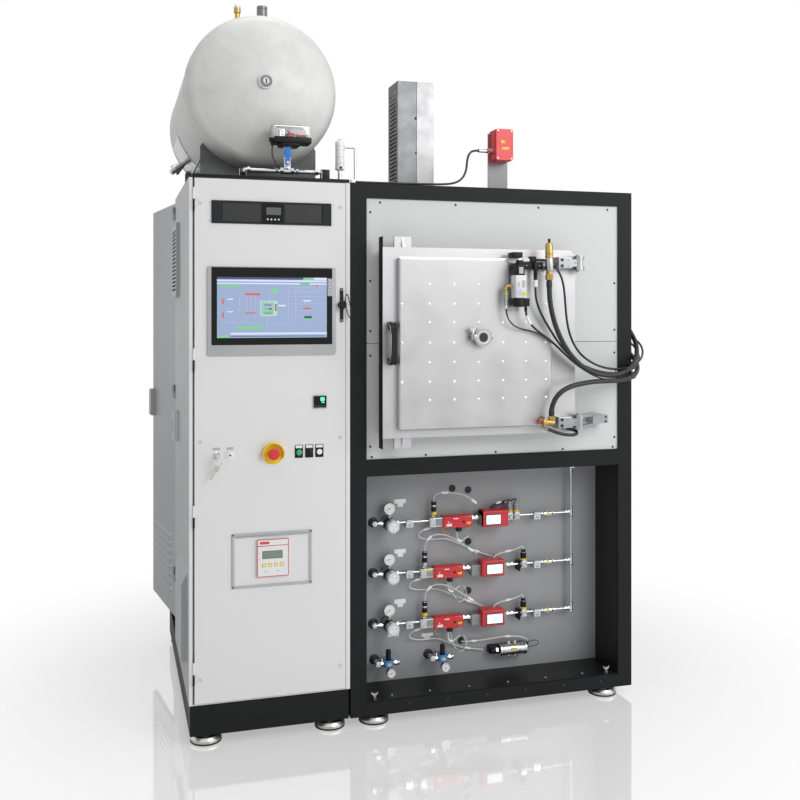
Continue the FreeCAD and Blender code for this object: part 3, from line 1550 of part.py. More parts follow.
def gas_regulators():
    """Three diaphragm regulators with gauges, and two small filter regulators with dials."""
    pieces = []
    for z in row_heights():
        centre = z - regulator_drop
        radius = regulator_body_radius
        depth = regulator_body_depth
        profile = [(0, 0), (radius, 0), (radius, depth - 32), (radius - 4, depth - 26),
                   (radius - 8, depth - 12),
                   (radius - 10, depth), (0, depth)]
        back = turned(profile, (regulator_x, gas_face, centre), (0, -1, 0))
        dial = gauge_dial(regulator_x - gauge_face_offset, row_y + 10, z + gauge_face_rise,
                          gauge_face_radius, z + 12)
        pieces.append(back.fuse(dial))
    for x in filter_xs:
        y = gas_face - filter_standoff
        low = filter_z - filter_body_height / 2
        body = soft_block((x - filter_body_radius, x + filter_body_radius, y - 17, y + 17, low,
                           low + filter_body_height),
                          (0, 0, 1), 8.0)
        bracket = block(x - 12, x + 12, y, gas_face, filter_z - 8, filter_z + 8)
        port = rod((x - filter_port_reach, y, filter_z), (x + filter_port_reach, y, filter_z), 8.0)
        reach = x - filter_port_reach
        elbow = block(reach - 10, reach + 10, y - 10, y + 10, filter_z - 10, filter_z + 10)
        inlet = rod((reach, y, filter_z), (reach, gas_face, filter_z), 9.0)
        dial_z = filter_z - filter_dial_drop
        radius = filter_dial_radius
        profile = [(0, 0), (radius, 0), (radius, 18), (radius - 2, 18), (radius - 2, 15), (0, 15)]
        dial = turned(profile, (x + 4, y - 14, dial_z), (0, -1, 0))
        neck = block(x - 3, x + 11, y - 16, y + 2, dial_z - 7, filter_z)
        pieces.append(body.fuse([bracket, port, elbow, inlet, dial, neck]))
    return pieces


def regulator_knob(z):
    """Fluted hand knob that sets one regulator."""
    y = gas_face - regulator_body_depth - running_gap
    radius = regulator_knob_radius
    depth = regulator_knob_depth
    profile = [(0, 0), (12, 0), (12, 8), (radius, 10), (radius, depth - 5), (radius - 5, depth), (0, depth)]
    knob = turned(profile, (regulator_x, y, z - regulator_drop), (0, -1, 0))
    flutes = 6
    for index in range(flutes):
        angle = 2 * math.pi * index / flutes
        x = regulator_x + (radius + 3) * math.cos(angle)
        height = z - regulator_drop + (radius + 3) * math.sin(angle)
        knob = knob.cut(rod((x, y - depth - 1, height), (x, y - 9, height), 6.0))
    return [knob]


def filter_knob(x):
    """Cap knob on top of a filter regulator."""
    base = filter_z + filter_body_height / 2 + running_gap
    radius = filter_knob_radius
    height = filter_knob_height
    profile = [(0, 0), (radius - 1, 0), (radius, 3), (radius, height - 4), (radius - 3, height), (0, height)]
    return [turned(profile, (x, gas_face - filter_standoff, base), (0, 0, 1))]


def flow_controllers():
    """Red mixer block and metering body with its display head, once per row."""
    pieces = []
    for index, z in enumerate(row_heights()):
        shift = row_shift(index)
        half = mixer_height / 2
        x0 = mixer_left + shift
        mixer = soft_block((x0, x0 + mixer_width, row_y - mixer_depth / 2, row_y + mixer_depth / 2,
                            z - half - 8, z + half - 8), (1, 0, 0), 8.0)
        foot_block = block(x0 + 30, x0 + mixer_width - 30, row_y + mixer_depth / 2, gas_face, z - half,
                           z + half - 16)
        pieces.append(mixer.fuse(foot_block))
        x1 = meter_left + shift
        width = meter_width - shift
        body = block(x1, x1 + width, row_y - meter_depth / 2, row_y + meter_depth / 2,
                     z - meter_height + 18, z + 14)
        head = soft_block((x1 + width * 0.25, x1 + width * 0.88, row_y - meter_depth,
                           row_y + meter_depth / 2 - 6,
                           z - meter_head_height + 32, z + 34), (1, 0, 0), 6.0)
        back = block(x1 + 20, x1 + width - 20, row_y + meter_depth / 2, gas_face, z - 20, z + 8)
        before, end = [Vector(*point) for point in lead_route(index)[-2:]]
        aim = (end - before).normalize()
        plug = rod(tuple(end), tuple(end + aim * 40), 5.0)
        pieces.append(body.fuse([head, back, plug]))
    return pieces + [shutoff_valve()]


def solenoid(x, z):
    """Solenoid valve: square body on the line with a round coil above it."""
    radius = solenoid_radius
    body = block(x - radius, x + radius, row_y - radius, gas_face, z - 16, z + 14)
    coil = turned([(0, 0), (radius, 0), (radius, solenoid_height - 12), (radius - 3, solenoid_height - 10),
                   (radius - 3, solenoid_height), (0, solenoid_height)], (x, row_y, z + 14), (0, 0, 1))
    return body.fuse(coil)


def shutoff_valve():
    """Round pneumatic actuator with its end caps on a base block, ports above and below it."""
    x0 = shutoff_left
    x1 = shutoff_left + shutoff_width
    y0 = gas_face - shutoff_depth
    half = shutoff_height / 2
    z = shutoff_z
    axis_y = y0 + half - 2
    base = soft_block((x0, x1, y0 + 30, gas_face, z - half + 8, z + half - 8), (1, 0, 0), 6.0)
    barrel = rod((x0 + 46, axis_y, z), (x0 + 155, axis_y, z), half - 2)
    caps = [rod((x, axis_y, z), (x + 8, axis_y, z), half + 1) for x in (x0 + 40, x0 + 152)]
    stubs = []
    for x in (x0 + 84, x0 + 112):
        stubs.append(rod((x, axis_y, z - half - 9), (x, axis_y, z + half + 9), 6.0))
    tail = rod((x0 + 4, axis_y, z), (x0 + 46, axis_y, z), 10.0)
    return base.fuse([barrel, tail] + caps + stubs)


# Vacuum pump

def vacuum_pump():
    """Oil-sealed pump and its motor on a base plate, with the pipe up to the vessel."""
    y0 = pump_centre_y - pump_width / 2
    y1 = pump_centre_y + pump_width / 2
    base_top = lower_low + pump_base_thickness
    base = block(pump_left - 20, pump_left + pump_length + motor_length + 20, pump_rail_front,
                 pump_rail_back + post_size, lower_low, base_top)
    body = soft_block((pump_left, pump_left + pump_length, y0, y1, base_top, base_top + pump_height),
                      (1, 0, 0), 24.0)
    motor_z = base_top + pump_height / 2
    x0 = pump_left + pump_length
    motor = turned([(0, 0), (motor_radius - 20, 0), (motor_radius - 20, 20), (motor_radius, 30),
                    (motor_radius, motor_length - 40), (motor_radius - 6, motor_length), (0, motor_length)],
                   (x0, pump_centre_y, motor_z), (1, 0, 0))
    motor_foot = block(x0 + 60, x0 + 220, pump_centre_y - 70, pump_centre_y + 70, base_top, motor_z - 40)
    inlet_low = base_top + pump_height
    port_end = opening_low - vessel_wall - vessel_rib_proud - vessel_port_drop
    pipe = hollow_rod((pump_port_x, pump_centre_y, inlet_low - 5), (pump_port_x, pump_centre_y, port_end),
                      vacuum_pipe_radius, vacuum_pipe_radius - vacuum_pipe_wall)
    pieces = [base, motor.fuse(motor_foot)]
    pump = body.fuse(pipe)
    for z in (inlet_low + 60, (inlet_low + port_end) / 2, port_end - 2 * vacuum_flange_thickness):
        for step in range(2):
            low = z + step * vacuum_flange_thickness
            pump = pump.fuse(hollow_rod((pump_port_x, pump_centre_y, low),
                                        (pump_port_x, pump_centre_y, low + vacuum_flange_thickness - 1),
                                        vacuum_flange_radius, vacuum_pipe_radius - vacuum_pipe_wall))
    pieces.append(pump)
    return pieces


# Roof pieces

def tank_end(radius, knuckle, apex):
    """Arcs of a dished end from the rim to the axis: a knuckle, then a crown as wide as the tank."""
    crown = 2 * radius
    centre_r = radius - knuckle
    drop = math.sqrt((crown - knuckle) ** 2 - centre_r ** 2)
    share = crown / (crown - knuckle)
    meet = (centre_r * share, drop * share - drop)
    half_angle = math.atan2(meet[1], meet[0] - centre_r) / 2
    knuckle_mid = (centre_r + knuckle * math.cos(half_angle), knuckle * math.sin(half_angle))
    crown_angle = math.asin(meet[0] / crown) / 2
    crown_mid = (crown * math.sin(crown_angle), crown * math.cos(crown_angle) - drop)
    top = (0, crown - drop)
    points = [(radius, 0), knuckle_mid, meet, crown_mid, top]
    return [(r, apex[0] + apex[1] * h) for r, h in points]


def tank_solid(radius, front, back):
    """Closed drum with two dished ends, along Y."""
    knuckle = 2 * radius * tank_knuckle_share
    rear = [Vector(r, h, 0) for r, h in tank_end(radius, knuckle, (back, 1))]
    nose = [Vector(r, h, 0) for r, h in tank_end(radius, knuckle, (front, -1))]
    edges = [
        Part.Arc(rear[0], rear[1], rear[2]).toShape(),
        Part.Arc(rear[2], rear[3], rear[4]).toShape(),
        Part.makeLine(rear[4], nose[4]),
        Part.Arc(nose[4], nose[3], nose[2]).toShape(),
        Part.Arc(nose[2], nose[1], nose[0]).toShape(),
        Part.makeLine(nose[0], rear[0]),
    ]
    face = Part.Face(Part.Wire(edges))
    solid = face.revolve(Vector(0, 0, 0), Vector(0, 1, 0), 360)
    solid.translate(Vector(tank_x, 0, tank_z))
    return solid


def gas_tank():
    """Welded drum with dished ends, a hollow inside, two top sockets and a front boss."""
    back = tank_front + tank_length
    drum = tank_solid(tank_radius, tank_front, back)
    hollow = tank_solid(tank_radius - tank_wall, tank_front, back)
    boss_z = tank_z + 16
    nose = tank_front - 116
    boss = turned([(0, 0), (29, 0), (29, 14), (24, 16), (24, 40), (0, 40)], (tank_x, nose - 12, boss_z),
                  (0, 1, 0))
    sockets = [rod((x, nozzle_y, tank_z + tank_radius - 40), (x, nozzle_y, tank_z + tank_radius + 22), 20.0)
               for x in (nozzle_brass_x, nozzle_steel_x)]
    drum = drum.fuse([boss] + sockets).cut(hollow)
    for x in (nozzle_brass_x, nozzle_steel_x):
        drum = drum.cut(rod((x, nozzle_y, tank_z), (x, nozzle_y, tank_z + tank_radius + 30), 12.0))
    return [drum] + tank_saddles()


def tank_saddles():
    """Two plate saddles cut to the drum, each with a foot plate on the roof."""
    pieces = []
    roof = machine_top
    half = saddle_width / 2
    for y in (tank_front + saddle_inset, tank_front + tank_length - saddle_inset):
        outline = [
            (tank_x - half, y, roof + saddle_base_thickness),
            (tank_x + half, y, roof + saddle_base_thickness),
            (tank_x + half, y, roof + saddle_rise - 30), (tank_x + half - 16, y, roof + saddle_rise),
            (tank_x - half + 16, y, roof + saddle_rise), (tank_x - half, y, roof + saddle_rise - 30),
        ]
        plate = prism(outline, (0, saddle_thickness, 0))
        drum = rod((tank_x, y - 1, tank_z), (tank_x, y + saddle_thickness + 1, tank_z),
                   tank_radius + running_gap)
        middle = y + saddle_thickness / 2
        base = block(tank_x - half, tank_x + half, middle - saddle_base_width / 2,
                     middle + saddle_base_width / 2,
                     roof, roof + saddle_base_thickness)
        pieces.append(plate.cut(drum).fuse(base))
    return pieces


def roof_pipework():
    """Pipework in front of the tank, the tank's top fittings, and the bubbler with its bent pipe."""
    y = manifold_pipe_y
    z = manifold_pipe_z
    radius = manifold_pipe_radius
    roof = machine_top
    pipe = rod((manifold_pipe_left, y, z), (manifold_pipe_right, y, z), radius)
    stem = rod((controller_stem_x, y, z), (controller_stem_x, y, tank_controller_low), radius - 2)
    valve = block(controller_stem_x - 13, controller_stem_x + 13, y - 13, y + 13, valve_handle_z - 18,
                  valve_handle_z + 6)
    neck = rod((controller_stem_x, y - 17, valve_handle_z - 6),
               (controller_stem_x, y, valve_handle_z - 6), 5.0)
    tee = rod((controller_stem_x - 18, y, z), (controller_stem_x + 18, y, z), radius + 4)
    left_turn = rod((manifold_pipe_left, y, z), (manifold_pipe_left, y + 70, z), radius)
    end = block(manifold_pipe_left - 14, manifold_pipe_left + 14, y + 60, y + 90, roof, z + 12)
    block_right = block(manifold_pipe_right, manifold_pipe_right + 34, y - 16, y + 16, roof, z + 11)
    pipework = pipe.fuse([stem, valve, neck, tee, left_turn, end, block_right])
    brass = turned([(0, 0), (16, 0), (16, 24), (10, 28), (10, 52), (14, 54), (14, 78), (6, 86), (0, 86)],
                   (nozzle_brass_x, nozzle_y, tank_z + tank_radius + 22), (0, 0, 1))
    steel = turned([(0, 0), (22, 0), (22, 40), (18, 44), (18, 60), (0, 60)],
                   (nozzle_steel_x, nozzle_y, tank_z + tank_radius + 22), (0, 0, 1))
    bx = bubbler_x
    by = bubbler_y
    bubbler = turned([(0, roof - bubbler_low), (22, roof - bubbler_low), (22, roof - bubbler_low + 6),
                      (8, roof - bubbler_low + 10), (8, 0), (bubbler_radius, 4),
                      (bubbler_radius, bubbler_height - 6), (bubbler_radius - 5, bubbler_height),
                      (0, bubbler_height)],
                     (bx, by, bubbler_low), (0, 0, 1))
    branch = rod((bx, by, bubbler_pipe_z), (bubbler_pipe_x, by, bubbler_pipe_z), 5.0)
    drop = rod((bubbler_pipe_x, by, bubbler_pipe_z), (bubbler_pipe_x, by, roof), 5.0)
    knee = Part.makeSphere(5.0, Vector(bubbler_pipe_x, by, bubbler_pipe_z))
    bubbler = bubbler.fuse([branch, drop, knee])
    gland_x, gland_y, gland_z = conduit_end()
    gland = block(gland_x - 16, gland_x, gland_y - 8, gland_y + 8, roof, gland_z + 8)
    return [pipework, brass, steel, bubbler, gland]


def tank_controller():
    """Pressure controller: dark base, clear cover and a small test lever on top of the stem pipe."""
    x0 = tank_controller_left
    x1 = x0 + tank_controller_width
    y0 = manifold_pipe_y - tank_controller_depth / 2
    y1 = y0 + tank_controller_depth
    z0 = tank_controller_low
    z1 = z0 + tank_controller_base
    base = soft_block((x0, x1, y0, y1, z0, z1), (0, 0, 1), 10.0)
    cover = soft_block((x0 + 2, x1 - 2, y0 + 2, y1 - 2, z1, z1 + tank_controller_cover), (0, 0, 1), 14.0)
    lever = block(x0 + 66, x0 + 96, y0 - 4, y0, z1 - 10, z1 + 14)
    return [base.fuse(lever), cover]


def tank_valve_handle():
    """Blue lever of the ball valve on the stem pipe."""
    y1 = manifold_pipe_y - 17 - running_gap
    x = controller_stem_x
    z = valve_handle_z - 6
    lever = soft_block((x - 9, x + 9, y1 - 5, y1, z - 9, z + valve_handle_length), (0, 1, 0), 8.0)
    hub = rod((x, y1 - 10, z), (x, y1, z), 9.0)
    return [lever.fuse(hub)]


def exhaust_torch():
    """Square sheet duct with a slotted side, a split front and the flue pipe inside it."""
    x0 = torch_left
    x1 = torch_left + torch_width
    y0 = torch_front
    y1 = torch_front + torch_depth
    z0 = machine_top
    wall = torch_wall
    duct = block(x0, x1, y0, y1, z0, torch_top)
    duct = duct.cut(block(x0 + wall, x1 - wall, y0 + wall, y1 - wall, z0 + wall, torch_top + 1))
    duct = slots_in_x(duct, y0 + 20, y1 - 20, z0 + 60, torch_top - 30, x0 - 1, x0 + wall + 1, 6.0,
                      torch_slot_count)
    middle = x0 + torch_width * 0.53
    cover = block(middle, x1, y0 - wall, y0, z0, torch_top)
    duct = duct.fuse(cover)
    flue_low = opening_high + vessel_wall
    flue = hollow_rod(torch_centre(flue_low), torch_centre(torch_top - 60), vacuum_pipe_radius * 0.6,
                      vacuum_pipe_radius * 0.6 - 3)
    hole = rod(torch_centre(z0 - 1), torch_centre(z0 + wall + 1), vacuum_pipe_radius * 0.6 + running_gap)
    return [duct.cut(hole), flue]


def alarm_box():
    """Red alarm box with a raised lid and a cable gland, on an upright bracket plate."""
    x0 = alarm_left
    x1 = alarm_left + alarm_width
    y0 = alarm_front
    y1 = alarm_front + alarm_depth
    z0 = alarm_low
    z1 = alarm_low + alarm_height
    case = soft_block((x0, x1, y0 + 14, y1, z0, z1), (0, 1, 0), 6.0)
    lid = soft_block((x0 + 1, x1 - 1, y0, y0 + 14, z0 + 1, z1 - 1), (0, 1, 0), 6.0)
    gland_z = z0 + alarm_height * 0.33
    gland = rod((x0 - 24, y0 + 50, gland_z), (x0 + 1, y0 + 50, gland_z), 9.0)
    elbow = rod((x0 - 60, y0 + 50, gland_z), (x0 - 24, y0 + 50, gland_z), 7.0)
    box_solid = case.fuse([lid, gland, elbow])
    middle = (x0 + x1) / 2
    half = alarm_bracket_width / 2
    plate = block(middle - half, middle + half, y1, y1 + alarm_bracket_thickness, machine_top, z1 - 10)
    toe = block(middle - half, middle + half, y1, y1 + 36, machine_top, machine_top + alarm_bracket_thickness)
    return [box_solid, plate.fuse(toe)]


# Hoses and cables

def cord_path(points):
    """Straight runs joined by tangent arcs, each arc as large as its two runs allow."""
    corners = [Vector(*point) for point in points]
    edges = []
    radii = []
    start = corners[0]
    for index in range(1, len(corners) - 1):
        before = corners[index - 1] - corners[index]
        after = corners[index + 1] - corners[index]
        turn = math.pi - before.getAngle(after)
        shorter = min(before.Length, after.Length)
        reach = 0.45 * shorter
        radii.append(reach / math.tan(turn / 2))
        before.normalize()
        after.normalize()
        first = corners[index] + before * reach
        last = corners[index] + after * reach
        middle_way = (before + after)
        middle_way.normalize()
        radius = radii[-1]
        centre = corners[index] + middle_way * math.sqrt(radius * radius + reach * reach)
        middle = centre - middle_way * radius
        edges.append(Part.makeLine(start, first))
        edges.append(Part.Arc(first, middle, last).toShape())
        start = last
    edges.append(Part.makeLine(start, corners[-1]))
    return Part.Wire(edges), radii


def cord(name, points, diameter):
    """Plain round tube along a route; its smallest radius and its volume check are printed."""
    wire, radii = cord_path(points)
    first = Vector(*points[0])
    direction = Vector(*points[1]) - first
    circle = Part.Wire([Part.makeCircle(diameter / 2, first, direction)])
    solid = wire.makePipeShell([circle], True, False)
    section = math.pi * diameter * diameter / 4
    print(name, "length", round(wire.Length), "least radius", round(min(radii)),
          "volume share", round(solid.Volume / (section * wire.Length), 4))
    return [solid]


def upper_hose_route():
    """From the relief valve down and across the door, then up round the right post."""
    y = instrument_y()
    return [
        (valve_x, y, valve_low), (valve_x, y, 1700), (1396, -166, 1642), (1411, -169, 1582),
        (1438, -170, 1518), (1478, -168, 1458), (1532, -161, 1410), (1598, -147, 1380),
        (1672, -126, 1367), (1748, -97, 1373), (1812, -62, 1396), (1862, -18, 1434),
        (1893, 32, 1480), (1903, 86, 1528), (1897, 138, 1574),
    ]


def lower_hose_route():
    """From the lower elbow up and across below the upper hose, then round the right post."""
    y = instrument_y()
    return [
        (elbow_x, y, elbow_z + elbow_rise), (elbow_x, y, 1240), (1407, -164, 1268), (1423, -166, 1295),
        (1448, -167, 1316), (1482, -167, 1331), (1530, -162, 1341), (1594, -151, 1347),
        (1662, -133, 1347), (1730, -108, 1346), (1794, -74, 1350), (1850, -30, 1364),
        (1892, 22, 1388), (1914, 80, 1418), (1912, 138, 1452),
    ]


def valve_cable_route():
    """From the socket block behind the relief valve, down its right side to the bundle."""
    z = manifold_z + manifold_height / 2 + socket_rise / 2
    y = jacket_front - 15
    return [
        (socket_x, y, z), (1368, y, z), (1392, y - 1, 1834), (1415, -133, 1822), (1436, -137, 1802),
        (1452, -141, 1772), (1461, -145, 1736), (1465, -147, 1696), (1468, -148, 1652),
        (1472, -148, 1608), (1480, -147, 1564), (1494, -145, 1522), (1516, -143, 1483),
        (1546, -142, 1450), (1584, -140, 1425), (1630, -130, 1407), (1680, -109, 1396),
        (1730, -84, 1391), (1778, -58, 1391), (1826, -28, 1396), (1874, 5, 1408),
        (1920, 40, 1428), (1952, 82, 1458), (1963, 126, 1488), (1953, 164, 1513), (1938, 200, 1538),
    ]


def manifold_cable_route():
    """From the plug under the manifold, behind the upper hose and into the bundle."""
    y = jacket_front - manifold_depth - 2
    return [
        (plug_x, y, manifold_z - plug_drop), (plug_x, y, 1698), (1344, y, 1666), (1358, y, 1630),
        (1379, y, 1592), (1404, y, 1554), (1432, -145, 1514), (1464, -144, 1475),
        (1502, -143, 1442), (1546, -141, 1414), (1594, -135, 1396), (1650, -116, 1382),
        (1706, -93, 1375), (1760, -70, 1373), (1812, -42, 1380), (1862, -8, 1393),
        (1908, 42, 1415), (1936, 88, 1436), (1948, 134, 1466), (1940, 178, 1496), (1922, 216, 1518),
    ]


def gauge_cable_route():
    """From the gauge head's connector, behind the other lines to the bundle."""
    y = jacket_front - gauge_reach - 6
    return [
        (connector_x, y, connector_low), (connector_x, y, 1626), (1299, -157, 1602), (1316, -152, 1579),
        (1340, -146, 1558), (1371, -140, 1538), (1405, -134, 1517), (1440, -129, 1490),
        (1474, -126, 1460), (1510, -124, 1430), (1550, -122, 1402), (1598, -117, 1380),
        (1652, -104, 1366), (1706, -82, 1359), (1758, -58, 1357), (1812, -32, 1359),
        (1864, 6, 1366), (1900, 50, 1376), (1920, 98, 1388), (1922, 146, 1401), (1914, 190, 1416),
    ]


def air_line_route():
    """Thin line from the gauge head's brass fitting, looping below it and into the bundle."""
    y = jacket_front - gauge_reach + 4
    return [
        (air_fitting_x, y, air_fitting_low), (air_fitting_x, y, 1634), (1216, -149, 1612), (1228, -146, 1591),
        (1248, -141, 1574), (1276, -135, 1562), (1308, -129, 1556), (1341, -124, 1549),
        (1375, -121, 1537), (1409, -120, 1518), (1444, -118, 1491), (1478, -114, 1461),
        (1512, -112, 1432), (1550, -109, 1404), (1598, -101, 1377), (1650, -87, 1356),
        (1704, -68, 1346), (1758, -50, 1343), (1814, -30, 1343), (1866, 2, 1346),
        (1896, 46, 1354), (1912, 94, 1364), (1912, 142, 1375), (1904, 186, 1386),
    ]


def bundle_lines():
    """Every line of the bundle: its name, route and diameter."""
    return (
        ("upper_hose", upper_hose_route(), hose_diameter),
        ("lower_hose", lower_hose_route(), hose_diameter),
        ("valve_cable", valve_cable_route(), cable_diameter),
        ("manifold_cable", manifold_cable_route(), cable_diameter),
        ("gauge_cable", gauge_cable_route(), cable_diameter),
        ("air_line", air_line_route(), air_line_diameter),
    )


def upper_hose():
    return cord("upper_hose", upper_hose_route(), hose_diameter)


def lower_hose():
    return cord("lower_hose", lower_hose_route(), hose_diameter)


def valve_cable():
    return cord("valve_cable", valve_cable_route(), cable_diameter)


def manifold_cable():
    return cord("manifold_cable", manifold_cable_route(), cable_diameter)


def gauge_cable():
    return cord("gauge_cable", gauge_cable_route(), cable_diameter)


def air_line():
    return cord("air_line", air_line_route(), air_line_diameter)


def side_fittings():
    """Angle fittings on the right side panel, each aimed along the end of its line."""
    pieces = []
    for _, route, diameter in bundle_lines():
        before, end = [Vector(*point) for point in route[-2:]]
        aim = (end - before).normalize()
        radius = diameter / 2 + 3
        centre = end + aim * fitting_reach
        stub = rod(tuple(end), tuple(centre), radius)
        knee = Part.makeSphere(radius, centre)
        base = rod((frame_right, centre.y, centre.z), tuple(centre), radius)
        collar = rod((frame_right, centre.y, centre.z), (frame_right + 8, centre.y, centre.z), radius + 4)
        pieces.append(base.fuse([stub, knee, collar]))
    return pieces


def conduit_start():
    """End of the alarm box's elbow, where the conduit begins."""
    return alarm_left - 60, alarm_front + 50, alarm_low + alarm_height * 0.33


def conduit_end():
    """Right face of the small gland block on the roof, where the conduit ends."""
    return 640.0, 14.0, machine_top + cable_diameter / 2 + running_gap


def roof_conduit():
    """Black conduit from the alarm box's elbow down and left along the roof's front edge."""
    x, y, z = conduit_start()
    end_x, end_y, end_z = conduit_end()
    return cord("roof_conduit", [
        (x, y, z), (x - 22, y, z), (x - 42, y - 5, z - 14), (x - 54, y - 14, z - 44),
        (x - 61, y - 26, z - 82), (x - 78, y - 38, z - 118), (x - 112, y - 47, z - 143),
        (x - 166, y - 53, z - 152), (x - 250, y - 54, z - 154), (x - 350, y - 55, end_z + 1),
        (x - 440, y - 54, end_z), (end_x + 46, end_y, end_z), (end_x, end_y, end_z),
    ], cable_diameter)


def lead_route(index):
    """Sensor lead of one gas row, arching from the transmitter over to the meter's head."""
    x = transmitter_x(index)
    y = row_y
    z = row_heights()[index]
    if index == 0:
        return [
            (x, y, z + transmitter_top), (x, y, z + 99), (x + 12, y - 3, z + 112), (x + 32, y - 7, z + 117),
            (x + 62, y - 11, z + 115), (x + 98, y - 13, z + 111), (x + 130, y - 14, z + 102),
            (x + 160, y - 14, z + 85), (x + 186, y - 14, z + 63),
        ]
    return [
        (x, y, z + transmitter_top), (x, y, z + 106), (x + 9, y - 3, z + 130), (x + 30, y - 6, z + 148),
        (x + 60, y - 9, z + 153), (x + 95, y - 11, z + 145), (x + 130, y - 13, z + 127),
        (x + 165, y - 14, z + 104), (x + 198, y - 14, z + 80), (x + 228, y - 14, z + 60),
    ]


def panel_leads():
    """The three rows' sensor leads."""
    pieces = []
    for index in range(row_count):
        pieces.extend(cord("panel_lead", lead_route(index), lead_diameter))
    return pieces


def models():
    """Every node's name with its solids."""
    nodes = {
        "cabinet_body": cabinet_body(),
        "cabinet_plinth": cabinet_plinth(),
        "levelling_feet": levelling_feet(),
        "mounting_plate": mounting_plate(),
        "power_cabinet": power_cabinet(),
        "transformer": transformer(),
        "furnace_frame": furnace_frame(),
        "front_panels": front_panels(),
        "outer_panels": outer_panels() + side_fittings(),
        "gas_bay_liner": gas_bay_liner(),
        "gas_panel": gas_panel(),
        "chamber_vessel": chamber_vessel(),
        "chamber_insulation": chamber_insulation(),
        "heating_elements": heating_elements(),
        "hearth": hearth(),
        "door_seal": door_seal(),
        "vacuum_pump": vacuum_pump(),
        "gas_tank": gas_tank(),
        "roof_pipework": roof_pipework(),
        "tank_controller": tank_controller(),
        "tank_valve_handle": tank_valve_handle(),
        "exhaust_torch": exhaust_torch(),
        "alarm_box": alarm_box(),
        "hinge_brackets": hinge_brackets(),
        "gas_pipes": gas_pipes(),
        "gas_regulators": gas_regulators(),
        "flow_controllers": flow_controllers(),
        "cabinet_door_panel": cabinet_door_panel(),
        "rack_unit": rack_unit(),
        "touch_panel": touch_panel(),
        "panel_instruments": panel_instruments(),
        "switch_bezels": switch_bezels(),
        "lock_knob": lock_knob(),
        "key_switch": key_switch(),
        "emergency_button": emergency_button(),
        "service_door": service_door(),
        "door_plate": door_plate(),
        "door_jacket": door_jacket(),
        "door_handle": door_handle(),
        "viewport": viewport(),
        "door_insulation": door_insulation(),
        "door_hinge_arms": door_hinge_arms(),
        "door_instruments": door_instruments(),
        "upper_hose": upper_hose(),
        "lower_hose": lower_hose(),
        "valve_cable": valve_cable(),
        "manifold_cable": manifold_cable(),
        "gauge_cable": gauge_cable(),
        "air_line": air_line(),
        "roof_conduit": roof_conduit(),
        "panel_leads": panel_leads(),
    }
    for number, z in enumerate(row_heights(), start=1):
        nodes["regulator_knob_%d" % number] = regulator_knob(z)
    for number, x in enumerate(filter_xs, start=1):
        nodes["filter_knob_%d" % number] = filter_knob(x)
    nodes["round_button"] = push_button(round_button_x)
    for name, x in zip(("green_button", "black_button", "white_button"), three_button_places()):
        nodes[name] = push_button(x)
    return nodes


cord_names = (
    "upper_hose", "lower_hose", "valve_cable", "manifold_cable", "gauge_cable", "air_line",
    "roof_conduit", "panel_leads")


def floor_middle(nodes):
    """Point on the floor under the middle of the machine, hoses and cables left out."""
    box = FreeCAD.BoundBox()
    for name, solids in nodes.items():
        if name not in cord_names:
            for solid in solids:
                box.add(solid.optimalBoundingBox(False))
    return Vector(box.Center.x, box.Center.y, 0)


def main():
    os.makedirs("parts", exist_ok=True)
    nodes = models()
    origin = floor_middle(nodes)
    print("origin in layout", origin)
    for name, solids in nodes.items():
        shape = solids[0] if len(solids) == 1 else Part.makeCompound(solids)
        shape.translate(-origin)
        shape.exportStep("parts/%s.step" % name)
    print(len(nodes), "nodes")


main()
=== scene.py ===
import math

import bmesh
import bpy
import numpy as np
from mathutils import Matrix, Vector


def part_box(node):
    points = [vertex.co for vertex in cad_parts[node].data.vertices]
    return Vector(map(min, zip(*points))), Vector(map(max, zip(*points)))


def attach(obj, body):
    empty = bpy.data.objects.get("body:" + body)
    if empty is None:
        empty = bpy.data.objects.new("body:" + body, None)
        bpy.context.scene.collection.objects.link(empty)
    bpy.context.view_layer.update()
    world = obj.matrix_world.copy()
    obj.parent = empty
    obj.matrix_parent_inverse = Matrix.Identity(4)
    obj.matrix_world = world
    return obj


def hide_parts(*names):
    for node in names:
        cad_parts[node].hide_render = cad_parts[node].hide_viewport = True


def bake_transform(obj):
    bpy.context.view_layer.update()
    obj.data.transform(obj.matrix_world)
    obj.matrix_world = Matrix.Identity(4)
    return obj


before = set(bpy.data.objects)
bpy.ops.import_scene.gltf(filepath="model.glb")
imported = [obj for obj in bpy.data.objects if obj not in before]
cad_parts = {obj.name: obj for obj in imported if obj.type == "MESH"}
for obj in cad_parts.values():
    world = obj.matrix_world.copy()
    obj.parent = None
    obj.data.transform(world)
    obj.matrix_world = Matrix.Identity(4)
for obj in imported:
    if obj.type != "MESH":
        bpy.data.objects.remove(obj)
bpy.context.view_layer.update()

# Viewpoint, light and floor
# The machine stands on a pale polished studio floor before a white wall. The camera looks at it from a
# little to the left at eye height, with its verticals kept upright. Three soft boxes and the white
# room light it.
scene = bpy.context.scene
scene.view_settings.view_transform = "Standard"

# Every place below is counted from the machine's front left corner on the floor.
corner = np.array(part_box("cabinet_plinth")[0]) - np.array([0.004, 0.004, 0.040])

camera_data = bpy.data.cameras.new("photo_camera")
camera_data.lens = 44.28
camera_data.sensor_width = 36
camera_data.shift_y = -0.11
camera_data.clip_end = 60
camera = bpy.data.objects.new("photo_camera", camera_data)
camera.location = corner + np.array([-0.282, -3.741, 1.628])
camera.rotation_euler = (math.radians(90), 0.0, math.radians(-16.42))
scene.collection.objects.link(camera)
scene.camera = camera


